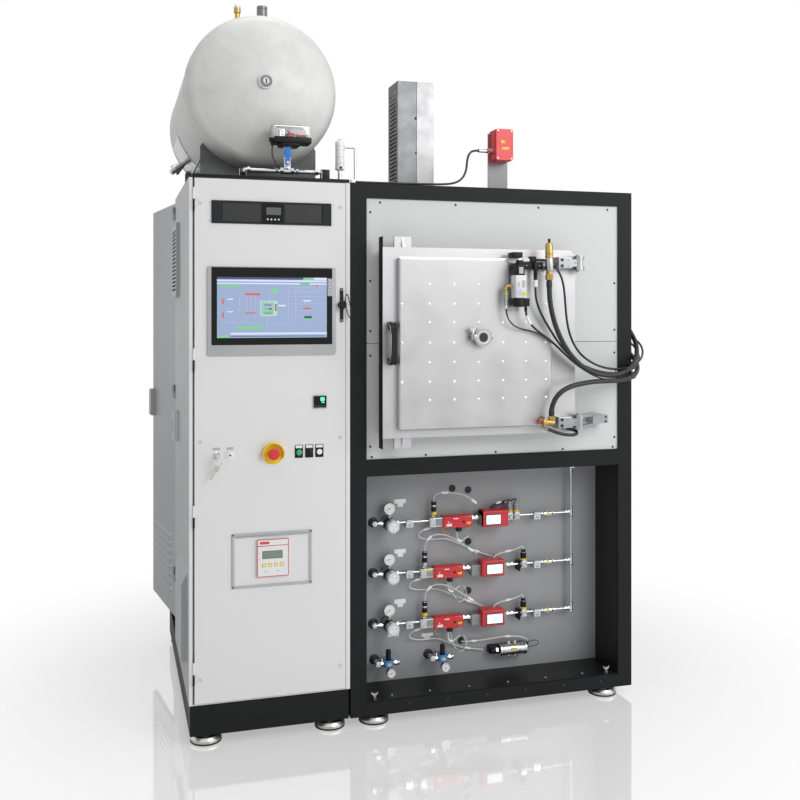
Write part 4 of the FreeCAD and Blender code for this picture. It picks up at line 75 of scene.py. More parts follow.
def add(tree, kind, inputs=(), **settings):
    """Adds one shader node, named without its prefix, with its settings; each input gets a value or the
    socket that feeds it."""
    node = tree.nodes.new("ShaderNode" + kind)
    for key, value in settings.items():
        setattr(node, key, value)
    for key, value in dict(inputs).items():
        if isinstance(value, bpy.types.NodeSocket):
            tree.links.new(value, node.inputs[key])
        else:
            node.inputs[key].default_value = value
    return node


def linear(colour, share=1.0):
    """Linear red, green, blue and alpha of an sRGB hex colour, times a share."""
    code = np.array([int(colour[i:i + 2], 16) for i in (1, 3, 5)]) / 255
    value = np.where(code <= 0.04045, code / 12.92, ((code + 0.055) / 1.055) ** 2.4)
    return (*np.clip(value * share, 0.0, 1.0), 1.0)


room = bpy.data.worlds.new("white_room")
scene.world = room
room.use_nodes = True
tree = room.node_tree
tree.nodes.clear()
path = add(tree, "LightPath")
seen = add(tree, "Math", {0: path.outputs["Is Camera Ray"], 1: path.outputs["Is Glossy Ray"]},
    operation="MAXIMUM")
seen = add(tree, "Math", {0: seen.outputs[0], 1: path.outputs["Is Transmission Ray"]},
    operation="MAXIMUM")
strength = add(tree, "MapRange", {"Value": seen.outputs[0], "To Min": 0.45, "To Max": 1.0})
sky = add(tree, "Background", {"Color": linear("#FFFFFF"), "Strength": strength.outputs[0]})
add(tree, "OutputWorld", {"Surface": sky.outputs[0]})


def soft_box(name, place, aim, size, power):
    """Square area lamp at a place in metres from the machine's front left foot, turned to its aim."""
    lamp = bpy.data.lights.new(name, "AREA")
    lamp.size = size
    lamp.energy = power
    holder = bpy.data.objects.new(name, lamp)
    holder.location = corner + np.array(place)
    back = np.array(place) - np.array(aim)
    heading = math.atan2(back[0], -back[1])
    lift = math.atan2(math.hypot(back[0], back[1]), back[2])
    holder.rotation_euler = (lift, 0.0, heading)
    scene.collection.objects.link(holder)


soft_box("front_box", (3.2, -4.2, 3.9), (1.1, 0.0, 0.9), 2.6, 112)
soft_box("right_box", (5.2, -2.6, 1.9), (1.3, 0.2, 1.0), 2.2, 40)
soft_box("top_box", (0.6, 0.2, 5.2), (0.6, 0.5, 2.0), 2.4, 38)

reach = 9.0
floor_mesh = bpy.data.meshes.new("studio_floor")
spread = np.linspace(-reach, reach, 19)
floor_points = np.stack(np.meshgrid(spread, spread, [0.0], indexing="ij"), axis=-1).reshape(-1, 3)
cell = np.arange(19 * 19).reshape(19, 19)
floor_faces = np.stack([cell[:-1, :-1], cell[1:, :-1], cell[1:, 1:], cell[:-1, 1:]],
    axis=-1).reshape(-1, 4)
floor_mesh.from_pydata(floor_points.tolist(), [], floor_faces.tolist())
floor = bpy.data.objects.new("studio_floor", floor_mesh)
scene.collection.objects.link(floor)

# Polished pale epoxy screed: it mirrors the feet and the black plinth softly, and far from the machine
# it is the same white as the wall.
screed = bpy.data.materials.new("polished_pale_screed")
screed.use_nodes = True
tree = screed.node_tree
tree.nodes.clear()
place = add(tree, "TexCoord")
ripple = add(tree, "TexNoise", {"Vector": place.outputs["Object"], "Scale": 3.0, "Detail": 2.0})
sheen = add(tree, "MapRange", {"Value": ripple.outputs["Fac"], "To Min": 0.03, "To Max": 0.07})
near = add(tree, "BsdfPrincipled", {"Base Color": linear("#F4F4F5"), "Roughness": 0.6,
    "Specular IOR Level": 0.0})
white = add(tree, "Emission", {"Color": linear("#FFFFFF"), "Strength": 1.0})
distance = add(tree, "VectorMath", {0: place.outputs["Object"]}, operation="LENGTH")
far = add(tree, "MapRange", {"Value": distance.outputs["Value"], "From Min": 1.0, "From Max": 2.4,
    "To Min": 0.55, "To Max": 1.0}, interpolation_type="SMOOTHSTEP")
path = add(tree, "LightPath")
mask = add(tree, "Math", {0: far.outputs[0], 1: path.outputs["Is Camera Ray"]},
    operation="MULTIPLY")
both = add(tree, "MixShader", {0: mask.outputs[0], 1: near.outputs[0], 2: white.outputs[0]})
mirror = add(tree, "BsdfAnisotropic", {"Color": linear("#FFFFFF"), "Roughness": sheen.outputs[0]})
polish = add(tree, "MixShader", {0: 0.24, 1: both.outputs[0], 2: mirror.outputs[0]})
add(tree, "OutputMaterial", {"Surface": polish.outputs[0]})
floor_mesh.materials.append(screed)

# Hoses and cables between the door and the right side panel
# Two reinforced black rubber cooling hoses and four thinner lines leave the door's fittings, meet in
# one tied bundle and go round the right post into angle fittings. They are cut to length and sag freely.


def worked(name, colour, roughness, grain, metallic=0.0, stretch=(1.0, 1.0, 1.0), depth=0.02,
        drift=0.05, blotch=160, scatter=0.06, **sockets):
    """Finish whose tone drifts in broad blotches and whose fine grain feeds bump and roughness.

    grain and blotch are sizes in millimetres, stretch draws the grain out along an axis, depth is the
    grain's height in millimetres, drift and scatter are the shares of tone and roughness that vary.
    """
    material = bpy.data.materials.new(name)
    material.use_nodes = True
    tree = material.node_tree
    shader = tree.nodes["Principled BSDF"]
    where = add(tree, "TexCoord").outputs["Object"]
    drawn = add(tree, "Mapping", {"Vector": where, "Scale": stretch})
    fine = add(tree, "TexNoise", {"Vector": drawn.outputs[0], "Scale": 1000 / grain, "Detail": 3.0})
    broad = add(tree, "TexNoise", {"Vector": where, "Scale": 1000 / blotch, "Detail": 4.0})
    blend = add(tree, "Math", {0: broad.outputs["Fac"], 1: 0.7, 2: 0.0}, operation="MULTIPLY")
    blend = add(tree, "Math", {0: fine.outputs["Fac"], 1: 0.3, 2: blend.outputs[0]},
        operation="MULTIPLY_ADD")
    tone = add(tree, "Mix", {0: blend.outputs[0], 6: linear(colour, 1.0 - drift * 2.0),
        7: linear(colour, 1.0 + drift * 2.0)}, data_type="RGBA")
    gloss = add(tree, "MapRange", {"Value": blend.outputs[0], "From Min": 0.3, "From Max": 0.7,
        "To Min": roughness - scatter, "To Max": roughness + scatter})
    relief = add(tree, "Bump", {"Height": fine.outputs["Fac"], "Strength": 0.6,
        "Distance": depth / 1000})
    shader.inputs["Metallic"].default_value = metallic
    for key, value in sockets.items():
        shader.inputs[key.replace("_", " ")].default_value = value
    tree.links.new(tone.outputs[2], shader.inputs["Base Color"])
    tree.links.new(gloss.outputs[0], shader.inputs["Roughness"])
    tree.links.new(relief.outputs[0], shader.inputs["Normal"])
    return material


# Extruded EPDM rubber: near black, a dull sheen with fine die lines.
hose_rubber = worked("extruded_black_rubber", "#17181A", 0.42, grain=1.6, depth=0.05, drift=0.10,
    blotch=60)
# PVC cable jacket: black and a little glossier than the hoses.
cable_jacket = worked("black_pvc_jacket", "#121315", 0.34, grain=0.9, drift=0.08, blotch=40)


def smooth_curve(name, route, steps):
    """NURBS curve that has the route, in metres, as its control points, with steps between them."""
    data = bpy.data.curves.new(name, "CURVE")
    data.dimensions = "3D"
    data.resolution_u = steps
    spline = data.splines.new("NURBS")
    spline.points.add(len(route) - 1)
    places = np.array(route) + corner
    spline.points.foreach_set("co", np.column_stack([places, np.ones(len(route))]).ravel())
    spline.order_u = 3
    spline.use_endpoint_u = True
    return data


def route_points(name, route):
    """Points along the smooth line of a route, in metres."""
    holder = bpy.data.objects.new(name + "_line", smooth_curve(name + "_line", route, 6))
    scene.collection.objects.link(holder)
    bpy.context.view_layer.update()
    line = bpy.data.meshes.new_from_object(holder)
    found = np.zeros(len(line.vertices) * 3)
    line.vertices.foreach_get("co", found)
    bpy.data.objects.remove(holder)
    bpy.data.meshes.remove(line)
    return found.reshape(-1, 3)


def swept(points, radius, sides=16, side=(0.577, -0.577, 0.577)):
    """Tube along a line: at each point a circle stands square to the line, turned from one fixed side
    direction, and the first and last circles shrink to a point to close the ends. A list of radii
    swells or tapers it."""
    points = np.asarray(points, float)
    radii = np.broadcast_to(np.asarray(radius, float), len(points))
    along = np.gradient(points, axis=0)
    along /= np.linalg.norm(along, axis=1, keepdims=True)
    across = np.cross(along, np.array(side, float))
    across /= np.linalg.norm(across, axis=1, keepdims=True)
    upward = np.cross(along, across)
    angle = np.linspace(0.0, 2.0 * math.pi, sides, endpoint=False)[None, :, None]
    ring = across[:, None] * np.cos(angle) + upward[:, None] * np.sin(angle)
    body = points[:, None] + ring * radii[:, None, None]
    first = np.repeat(points[:1, None], sides, axis=1)
    last = np.repeat(points[-1:, None], sides, axis=1)
    return np.concatenate([first, body, last])


def piece(name, body, parts, replaces=(), crease=32, metres=False):
    """Joins closed surfaces into one piece that moves with a body.

    Each part is a grid of points, whose second direction runs round the shape, and its material. Points
    are in millimetres from the machine's front left foot corner, or in metres in the frame.
    """
    points, faces, kinds, materials, count = [], [], [], [], 0
    for grid, material in parts:
        rows, columns = grid.shape[:2]
        index = count + np.arange(rows * columns).reshape(rows, columns)
        beside = np.roll(index, -1, axis=1)
        faces.append(np.stack([index[:-1], beside[:-1], beside[1:], index[1:]], axis=-1).reshape(-1,
            4))
        if material not in materials:
            materials.append(material)
        kinds.append(np.full(len(faces[-1]), materials.index(material)))
        points.append(grid.reshape(-1, 3))
        count += rows * columns
    places = np.concatenate(points)
    places = places if metres else places / 1000 + corner
    mesh = bpy.data.meshes.new(name)
    mesh.from_pydata(places.tolist(), [], np.concatenate(faces).tolist())
    mesh.polygons.foreach_set("material_index", np.concatenate(kinds).astype(np.int32))
    for material in materials:
        mesh.materials.append(material)
    work = bmesh.new()
    work.from_mesh(mesh)
    bmesh.ops.remove_doubles(work, verts=work.verts, dist=0.000002)
    bmesh.ops.recalc_face_normals(work, faces=work.faces)
    work.to_mesh(mesh)
    work.free()
    mesh.shade_smooth()
    mesh.set_sharp_from_angle(angle=math.radians(crease))
    made = bpy.data.objects.new(name, mesh)
    scene.collection.objects.link(made)
    if body:
        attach(made, body)
    if replaces:
        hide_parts(*replaces)
    return made


upper_hose_route = [(1.390, -0.1623, 1.755), (1.390, -0.1623, 1.700), (1.396, -0.166, 1.642),
    (1.411, -0.169, 1.582), (1.438, -0.170, 1.518), (1.478, -0.168, 1.458), (1.532, -0.161, 1.410),
    (1.598, -0.147, 1.380), (1.672, -0.126, 1.367), (1.748, -0.097, 1.373), (1.812, -0.062, 1.396),
    (1.862, -0.018, 1.434), (1.893, 0.032, 1.480), (1.903, 0.086, 1.528), (1.897, 0.138, 1.574)]
lower_hose_route = [(1.400, -0.1623, 1.214), (1.400, -0.1623, 1.240), (1.407, -0.164, 1.268),
    (1.423, -0.166, 1.295), (1.448, -0.167, 1.316), (1.482, -0.167, 1.331), (1.530, -0.162, 1.341),
    (1.594, -0.151, 1.347), (1.662, -0.133, 1.347), (1.730, -0.108, 1.346), (1.794, -0.074, 1.350),
    (1.850, -0.030, 1.364), (1.892, 0.022, 1.388), (1.914, 0.080, 1.418), (1.912, 0.138, 1.452)]
valve_cable_route = [(1.346, -0.1293, 1.837), (1.368, -0.1293, 1.837), (1.392, -0.1303, 1.834),
    (1.415, -0.133, 1.822), (1.436, -0.137, 1.802), (1.452, -0.141, 1.772), (1.461, -0.145, 1.736),
    (1.465, -0.147, 1.696), (1.468, -0.148, 1.652), (1.472, -0.148, 1.608), (1.480, -0.147, 1.564),
    (1.494, -0.145, 1.522), (1.516, -0.143, 1.483), (1.546, -0.142, 1.450), (1.584, -0.140, 1.425),
    (1.630, -0.130, 1.407), (1.680, -0.109, 1.396), (1.730, -0.084, 1.391), (1.778, -0.058, 1.391),
    (1.826, -0.028, 1.396), (1.874, 0.005, 1.408), (1.920, 0.040, 1.428), (1.952, 0.082, 1.458),
    (1.963, 0.126, 1.488), (1.953, 0.164, 1.513), (1.938, 0.200, 1.538)]
manifold_cable_route = [(1.338, -0.1463, 1.728), (1.338, -0.1463, 1.698), (1.344, -0.1463, 1.666),
    (1.358, -0.1463, 1.630), (1.379, -0.1463, 1.592), (1.404, -0.1463, 1.554),
    (1.432, -0.145, 1.514), (1.464, -0.144, 1.475), (1.502, -0.143, 1.442), (1.546, -0.141, 1.414),
    (1.594, -0.135, 1.396), (1.650, -0.116, 1.382), (1.706, -0.093, 1.375), (1.760, -0.070, 1.373),
    (1.812, -0.042, 1.380), (1.862, -0.008, 1.393), (1.908, 0.042, 1.415), (1.936, 0.088, 1.436),
    (1.948, 0.134, 1.466), (1.940, 0.178, 1.496), (1.922, 0.216, 1.518)]
gauge_cable_route = [(1.290, -0.1603, 1.650), (1.290, -0.1603, 1.626), (1.299, -0.157, 1.602),
    (1.316, -0.152, 1.579), (1.340, -0.146, 1.558), (1.371, -0.140, 1.538), (1.405, -0.134, 1.517),
    (1.440, -0.129, 1.490), (1.474, -0.126, 1.460), (1.510, -0.124, 1.430), (1.550, -0.122, 1.402),
    (1.598, -0.117, 1.380), (1.652, -0.104, 1.366), (1.706, -0.082, 1.359), (1.758, -0.058, 1.357),
    (1.812, -0.032, 1.359), (1.864, 0.006, 1.366), (1.900, 0.050, 1.376), (1.920, 0.098, 1.388),
    (1.922, 0.146, 1.401), (1.914, 0.190, 1.416)]
air_line_route = [(1.211, -0.1503, 1.656), (1.211, -0.1503, 1.634), (1.216, -0.149, 1.612),
    (1.228, -0.146, 1.591), (1.248, -0.141, 1.574), (1.276, -0.135, 1.562), (1.308, -0.129, 1.556),
    (1.341, -0.124, 1.549), (1.375, -0.121, 1.537), (1.409, -0.120, 1.518), (1.444, -0.118, 1.491),
    (1.478, -0.114, 1.461), (1.512, -0.112, 1.432), (1.550, -0.109, 1.404), (1.598, -0.101, 1.377),
    (1.650, -0.087, 1.356), (1.704, -0.068, 1.346), (1.758, -0.050, 1.343), (1.814, -0.030, 1.343),
    (1.866, 0.002, 1.346), (1.896, 0.046, 1.354), (1.912, 0.094, 1.364), (1.912, 0.142, 1.375),
    (1.904, 0.186, 1.386)]


def door_line(name, route, diameter, finish):
    """Round line from the door to the side panel: one fixed tube along the route's smooth line, carried
    by no body; it hides the carried-over line."""
    line = route_points(name, route)
    tube = piece(name + "_tube", None, [(swept(line, diameter / 2), finish)],
        metres=True)
    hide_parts(name)
    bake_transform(tube)
    return line


upper_line = door_line("upper_hose", upper_hose_route, 0.020, hose_rubber)
lower_line = door_line("lower_hose", lower_hose_route, 0.020, hose_rubber)
door_line("valve_cable", valve_cable_route, 0.009, cable_jacket)
door_line("manifold_cable", manifold_cable_route, 0.009, cable_jacket)
gauge_line = door_line("gauge_cable", gauge_cable_route, 0.009, cable_jacket)
air_line = door_line("air_line", air_line_route, 0.006, cable_jacket)

# Nylon cable tie round the bundle: a thin band that is wider than it is thick, drawn tight.
tie_nylon = worked("black_nylon_tie", "#0F1012", 0.30, grain=0.8)


def tie_band(middle, axis, half_width, half_height, band, thickness):
    """Flat oval band round a bundle: an ellipse for its path, carried across the band's width."""
    axis = np.array(axis, float) / np.linalg.norm(axis)
    level = np.cross(axis, (0.0, 0.0, 1.0))
    level /= np.linalg.norm(level)
    rise = np.cross(level, axis)
    angle = np.linspace(0.0, 2.0 * math.pi, 40, endpoint=False)[None, :, None]
    rows = [(-band, 0.0), (-band, thickness), (band, thickness), (band, 0.0), (-band, 0.0)]
    offset = np.array([row[0] for row in rows])[:, None, None]
    swell = np.array([row[1] for row in rows])[:, None, None]
    oval = level * (half_width + swell) * np.cos(angle) + rise * (half_height
        + swell) * np.sin(angle)
    return np.array(middle, float) + axis * offset + oval


bundle_middle = (1770, -72, 1369)
piece("bundle_tie", "machine", [(tie_band(bundle_middle, (0.85, 0.50, 0.12), 40, 32,
    2.4, 1.3), tie_nylon)])

# Conduit on the roof and the sensor leads on the gas panel
# The alarm box is wired through a thin black conduit that drops to the roof's front edge and
# runs left along it. Each gas row has a grey lead that arches from its transmitter to its meter.


def free_cable(name, node, route, diameter, finish):
    """Smooth round cable on the machine along the route's NURBS line."""
    data = smooth_curve(name, route, 8)
    data.bevel_depth = diameter / 2
    data.bevel_resolution = 4
    data.use_fill_caps = True
    data.materials.append(finish)
    made = bpy.data.objects.new(name, data)
    scene.collection.objects.link(made)
    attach(made, "machine")
    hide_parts(node)
    return made


conduit_route = [(1.178, 0.070, 2.2949), (1.156, 0.070, 2.2949), (1.136, 0.065, 2.2809),
    (1.124, 0.056, 2.2509), (1.117, 0.044, 2.2129), (1.100, 0.032, 2.1769), (1.066, 0.023, 2.1519),
    (1.012, 0.017, 2.1429), (0.928, 0.016, 2.1409), (0.828, 0.015, 2.1398), (0.738, 0.016, 2.1388),
    (0.686, 0.014, 2.1388), (0.640, 0.014, 2.1388)]
free_cable("alarm_conduit", "roof_conduit", conduit_route, 0.009, cable_jacket)

# Grey PVC sensor lead with a soft satin surface.
lead_jacket = worked("grey_pvc_lead", "#C3C5C6", 0.40, grain=0.8, drift=0.06, blotch=30)
row_heights = (0.757, 0.548, 0.339)
top_lead = [(0.0, 0.0, 0.082), (0.0, 0.0, 0.099), (0.012, -0.003, 0.112), (0.032, -0.007, 0.117),
    (0.062, -0.011, 0.115), (0.098, -0.013, 0.111), (0.130, -0.014, 0.102), (0.160, -0.014, 0.085),
    (0.186, -0.014, 0.063)]
row_lead = [(0.0, 0.0, 0.082), (0.0, 0.0, 0.106), (0.009, -0.003, 0.130), (0.030, -0.006, 0.148),
    (0.060, -0.009, 0.153), (0.095, -0.011, 0.145), (0.130, -0.013, 0.127), (0.165, -0.014, 0.104),
    (0.198, -0.014, 0.080), (0.228, -0.014, 0.060)]
lead_starts = [(1.016, 0.165), (0.976, 0.165), (0.976, 0.165)]
sensor_leads = []
for number, (height, (x, y)) in enumerate(zip(row_heights, lead_starts), start=1):
    shape = top_lead if number == 1 else row_lead
    route = (np.array(shape) + np.array([x, y, height])).tolist()
    sensor_leads.append(free_cable(f"sensor_lead_{number}", "panel_leads", route, 0.006,
        lead_jacket))

# Plinth and levelling feet
# Pressed steel corner pieces and trim strips carry the cabinets; everything stands on round zinc plated
# machine feet with rubber soles, whose threaded stems are locked by a hexagon nut.
# Directions out of the machine's front, into its back, to its right, and up.
to_front = (0, -1, 0)
to_back = (0, 1, 0)
to_right = (1, 0, 0)
to_top = (0, 0, 1)


def dress(material, *names):
    """Gives carried-over solids their finish."""
    for name in names:
        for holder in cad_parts[name].material_slots:
            holder.material = material


def turned(profile, base, direction, sides=40):
    """Surface of revolution: each (radius, height) point of the profile runs round an axis that starts at
    the base and points along the direction."""
    axis = np.array(direction, float) / np.linalg.norm(direction)
    guide = np.array([1.0, 0.0, 0.0]) if abs(axis[2]) > 0.9 else np.array([0.0, 0.0, 1.0])
    first = np.cross(guide, axis)
    first /= np.linalg.norm(first)
    second = np.cross(axis, first)
    shape = np.array(profile, float)
    angle = np.linspace(0.0, 2.0 * math.pi, sides, endpoint=False)[None, :, None]
    ring = first * np.cos(angle) + second * np.sin(angle)
    return np.array(base, float) + axis * shape[:, 1, None, None] + ring * shape[:, 0, None, None]


def drum(radius, height):
    """Profile of a plain round bar or disc."""
    return [(0, 0), (radius, 0), (radius, height), (0, height)]


def stepped(radius, height, small, top):
    """Profile of a round bar whose end tapers or steps to a smaller flat top."""
    return [(0, 0), (radius, 0), (radius, height), (small, top), (0, top)]


def nut(middle, direction, flats, length):
    """Hexagon nut: a six-sided surface of revolution with small chamfers at both ends."""
    radius = flats / math.sqrt(3.0)
    half = length / 2
    soft = min(1.5, length * 0.2)
    return turned([(0, -half), (radius - soft, -half), (radius, soft - half), (radius, half - soft),
        (radius - soft, half), (0, half)], middle, direction, sides=6)


# Black polyester powder coat on steel: fine orange peel, half matt.
black_coat = worked("black_powder_coat", "#1B1C1D", 0.46, grain=1.8, depth=0.06, drift=0.10,
    blotch=300, Specular_IOR_Level=0.16)
dress(black_coat, "cabinet_plinth")
# Zinc plated steel: pale, slightly yellow, satin.
zinc_plate = worked("zinc_plated_steel", "#C9C8C2", 0.34, grain=0.6, metallic=1.0, depth=0.01,
    blotch=30)
dress(zinc_plate, "levelling_feet")
# Nitrile rubber sole: dull black.
sole_rubber = worked("black_nitrile_rubber", "#1C1C1C", 0.70, grain=1.2, depth=0.05)

foot_places = [(x, y) for y in (60, 1240) for x in (68, 549, 728, 1740)]
foot_parts = []
for x, y in foot_places:
    foot_parts += [
        (turned([(40, 0.2), (58, 0.2), (59.4, 1.4), (59.6, 6.5), (58.8, 7.6), (58, 7.8)], (x, y, 0),
            to_top, sides=64), sole_rubber),
        (nut((x, y, 33), to_top, 30, 11), zinc_plate)]
piece("foot_soles_and_nuts", "machine", foot_parts)

# Control cabinet and power cabinet
# Folded sheet steel carcasses with a fine light grey structure coat; their left side faces are painted a
# darker grey, as painted shade.
# Hinges, louvre box, weather hood and pulls are screwed to them.


def tinted(material, mask, colour):
    """Lays a second colour over a finish where the mask node gives one."""
    tree = material.node_tree
    base = tree.nodes["Principled BSDF"].inputs["Base Color"]
    tone = add(tree, "Mix", {0: mask.outputs[0], 6: base.links[0].from_socket, 7: linear(colour)},
        data_type="RGBA")
    tree.links.new(tone.outputs[2], base)
    return material


def two_tone(material, colour, axis, limit, way="LESS_THAN"):
    """Changes a finish to a second colour past a plane square to one axis, in layout millimetres."""
    tree = material.node_tree
    where = add(tree, "TexCoord").outputs["Object"]
    parted = add(tree, "SeparateXYZ", {0: where})
    past = add(tree, "Math", {0: parted.outputs[axis], 1: limit / 1000 + corner["XYZ".index(axis)]},
        operation=way)
    return tinted(material, past, colour)


# Light grey polyester structure coat: even, with a fine leathery grain and a soft sheen.
cabinet_coat = worked("light_grey_structure_coat", "#E3E3E3", 0.44, grain=1.5, depth=0.05,
    drift=0.02, blotch=500)
# The cover coat is painted darker left of X 1 mm, on the body's left side face: painted shade. Above Z
# 2131 it turns near black.
body_coat = two_tone(worked("light_grey_cover_coat_painted_side_shade", "#E3E3E3", 0.44, grain=1.5, depth=0.05,
    drift=0.02, blotch=500), "#B2B3B5", "X", 1.0)
two_tone(body_coat, "#26272A", "Z", 2131, "GREATER_THAN")
dress(cabinet_coat, "cabinet_door_panel")
dress(body_coat, "cabinet_body")
# The same coat on the rear carcass and its door, painted a darker grey as shade.
side_coat = worked("mid_grey_coat_painted_shade", "#ABACAE", 0.44, grain=1.5, depth=0.05, drift=0.03,
    blotch=500)
dress(side_coat, "service_door", "power_cabinet")


def rounded(box, radius=4.0, soft=0.8, axis="Y", quarter=6):
    """Box with rounded edges along one axis and softened rims at both ends: a rounded rectangle is
    carried from one end to the other and shrinks over its first and last bit."""
    x0, x1, y0, y1, z0, z1 = box
    spans = {"X": ((y0, y1), (z0, z1), (x0, x1)), "Y": ((x0, x1), (z0, z1), (y0, y1)),
        "Z": ((x0, x1), (y0, y1), (z0, z1))}[axis]
    middle = [sum(span) / 2 for span in spans]
    half = [(span[1] - span[0]) / 2 for span in spans]
    turn = np.repeat(np.arange(4), quarter) * math.pi / 2
    angle = turn + np.tile(np.linspace(0.0, math.pi / 2, quarter), 4)
    side_u = np.sign(np.cos(turn + math.pi / 4))
    side_v = np.sign(np.sin(turn + math.pi / 4))
    slope = np.linspace(0.0, math.pi / 2, 4)
    flat = soft * 1.2 + 0.05
    inset = np.concatenate([[flat], soft * (1 - np.sin(slope)), soft * (1 - np.cos(slope)), [flat]])
    level = np.concatenate([[-half[2]], -half[2] + soft * (1 - np.cos(slope)),
        half[2] - soft + soft * np.sin(slope), [half[2]]])
    bend = np.maximum(radius - inset, 0.05)[:, None]
    u = middle[0] + side_u * (half[0] - inset[:, None] - bend) + bend * np.cos(angle)
    v = middle[1] + side_v * (half[1] - inset[:, None] - bend) + bend * np.sin(angle)
    w = np.broadcast_to(middle[2] + level[:, None], u.shape)
    ends = [np.stack([np.full(u.shape[1], middle[0]), np.full(u.shape[1], middle[1]), w[row]],
        axis=-1) for row in (0, -1)]
    grid = np.stack([u, v, w], axis=-1)
    grid = np.concatenate([ends[0][None], grid, ends[1][None]])
    order = {"X": (2, 0, 1), "Y": (0, 2, 1), "Z": (0, 1, 2)}[axis]
    return grid[..., order]


def cap_screw(x, y, z, direction=to_front, radius=5.0, height=3.0):
    """Cylinder head screw: a low drum with a chamfer and a socket sunk into its top."""
    return turned([(0, 0), (radius, 0), (radius, height - 0.7), (radius - 0.7, height),
        (radius * 0.5, height), (radius * 0.45, height * 0.4), (0, height * 0.4)], (x, y, z),
        direction, sides=16)


# Moulded black polyamide: hinge covers and edge caps, dull with a fine spark-eroded grain.
black_moulding = worked("black_moulded_polyamide", "#141415", 0.48, grain=1.0, depth=0.04,
    drift=0.08, blotch=60, Specular_IOR_Level=0.25)
# Light grey moulded ABS of the side pulls.
grey_moulding = worked("light_grey_moulded_abs", "#D2D3D3", 0.40, grain=1.0, depth=0.03, drift=0.03)
# Machined bright steel of screws.
screw_steel = worked("bright_screw_steel", "#B9BABC", 0.28, grain=0.5, metallic=1.0, depth=0.01,
    drift=0.08, blotch=12)

piece("side_pull_shell", "machine", [
    (rounded((-23, 0.4, 559, 605, 1074, 1206), 7.0, 3.0), grey_moulding),
    (rounded((-23.6, -17, 590, 601, 1109, 1171), 4.0, 1.0, "X"), black_moulding)])
# Black sheet behind the slots of the louvre box, so that they look dark: painted shade.
filter_mat = worked("black_painted_louvre_shade", "#17181A", 0.9, grain=3.0, depth=0.3, drift=0.2, blotch=8.0)
piece("louvre_painted_shade_sheet", "machine", [(rounded((-12.6, -8.0, 510, 787, 1696, 2002),
    3.0, 1.0, "X"), filter_mat)])

# Screws of the louvre box and the weather hood.
side_screws = []
for y, z in ((515, 1700), (782, 1700), (515, 1998), (782, 1998), (515, 1849), (782, 1849)):
    side_screws.append((cap_screw(-15.2, y, z, (-1, 0, 0), 3.5, 1.8), screw_steel))
for y, z in ((112, 300), (418, 300), (112, 440), (418, 440)):
    side_screws.append((cap_screw(-22.2, y, z, (-1, 0, 0), 3.5, 1.8), screw_steel))
piece("side_cover_screws", "machine", side_screws)

# Hinge sleeves of the cabinet door: black moulded barrels, seen as dark marks on the door's left edge.
hinge_parts = []
for height in (275, 862, 1450, 2052):
    hinge_parts.append((turned([(0, 0), (4.1, 0), (4.4, 1.0), (4.4, 40.4), (0, 40.4)],
        (17, -2.0, height - 42), to_top, sides=20), black_moulding))
piece("door_hinge_sleeves", "machine", hinge_parts)

# Cabinet door and its devices
# One folded door carries the rack unit, the touch panel, a small controller, the alarm unit in its
# narrow frame, the operator row and the lock. Six recessed fixings are closed with grey caps.
cap_parts = []
for x in (42, 578):
    for z in (2036, 1141, 252):
        cap_parts.append((turned([(0, 0), (8.0, 0), (8.0, 1.0), (7.0, 1.8), (5.0, 1.8), (4.4, 0.9),
            (1.6, 0.9), (1.4, 1.6), (0, 1.6)], (x, 0.0, z), to_front, sides=28), grey_moulding))
piece("door_fixing_caps", "cabinet_door", cap_parts)

# Black coated steel rack front with ears, two fields of perforated mesh and a small dark display.
rack_coat = worked("black_rack_coat", "#222325", 0.42, grain=1.2, depth=0.04, drift=0.08,
    Specular_IOR_Level=0.2)
dress(rack_coat, "rack_unit")


def mesh_field(name, colour, hole, pitch):
    """Perforated black sheet: round holes on a square pitch, in real millimetres, painted near black as
    the shade seen through them.
    """
    material = worked(name, colour, 0.45, grain=1.2, depth=0.04)
    tree = material.node_tree
    where = add(tree, "TexCoord").outputs["Object"]
    cells = add(tree, "VectorMath", {0: where, 1: (1000 / pitch,) * 3}, operation="MULTIPLY")
    cells = add(tree, "VectorMath", {0: cells.outputs[0]}, operation="FRACTION")
    cells = add(tree, "VectorMath", {0: cells.outputs[0], 1: (0.5, 0.5, 0.5)}, operation="SUBTRACT")
    flat = add(tree, "VectorMath", {0: cells.outputs[0], 1: (1.0, 0.0, 1.0)}, operation="MULTIPLY")
    size = add(tree, "VectorMath", {0: flat.outputs[0]}, operation="LENGTH")
    inside = add(tree, "Math", {0: size.outputs["Value"], 1: hole / pitch / 2},
        operation="LESS_THAN")
    # The holes are painted near black: painted shade seen through them.
    return tinted(material, inside, "#050505")


perforated = mesh_field("black_perforated_sheet", "#1B1C1D", 4.2, 6.0)
# Glossy smoked acrylic over a display.
smoked_acrylic = worked("smoked_acrylic", "#08090A", 0.08, grain=40, depth=0.002, drift=0.02,
    scatter=0.02, Specular_IOR_Level=0.25)


def lit(name, colour, strength):
    """Backlit display foil: an even colour that glows a little by itself, with a faint grain."""
    material = worked(name, colour, 0.30, grain=3.0, depth=0.005, drift=0.03)
    shader = material.node_tree.nodes["Principled BSDF"]
    shader.inputs["Emission Color"].default_value = linear(colour)
    shader.inputs["Emission Strength"].default_value = strength
    return material


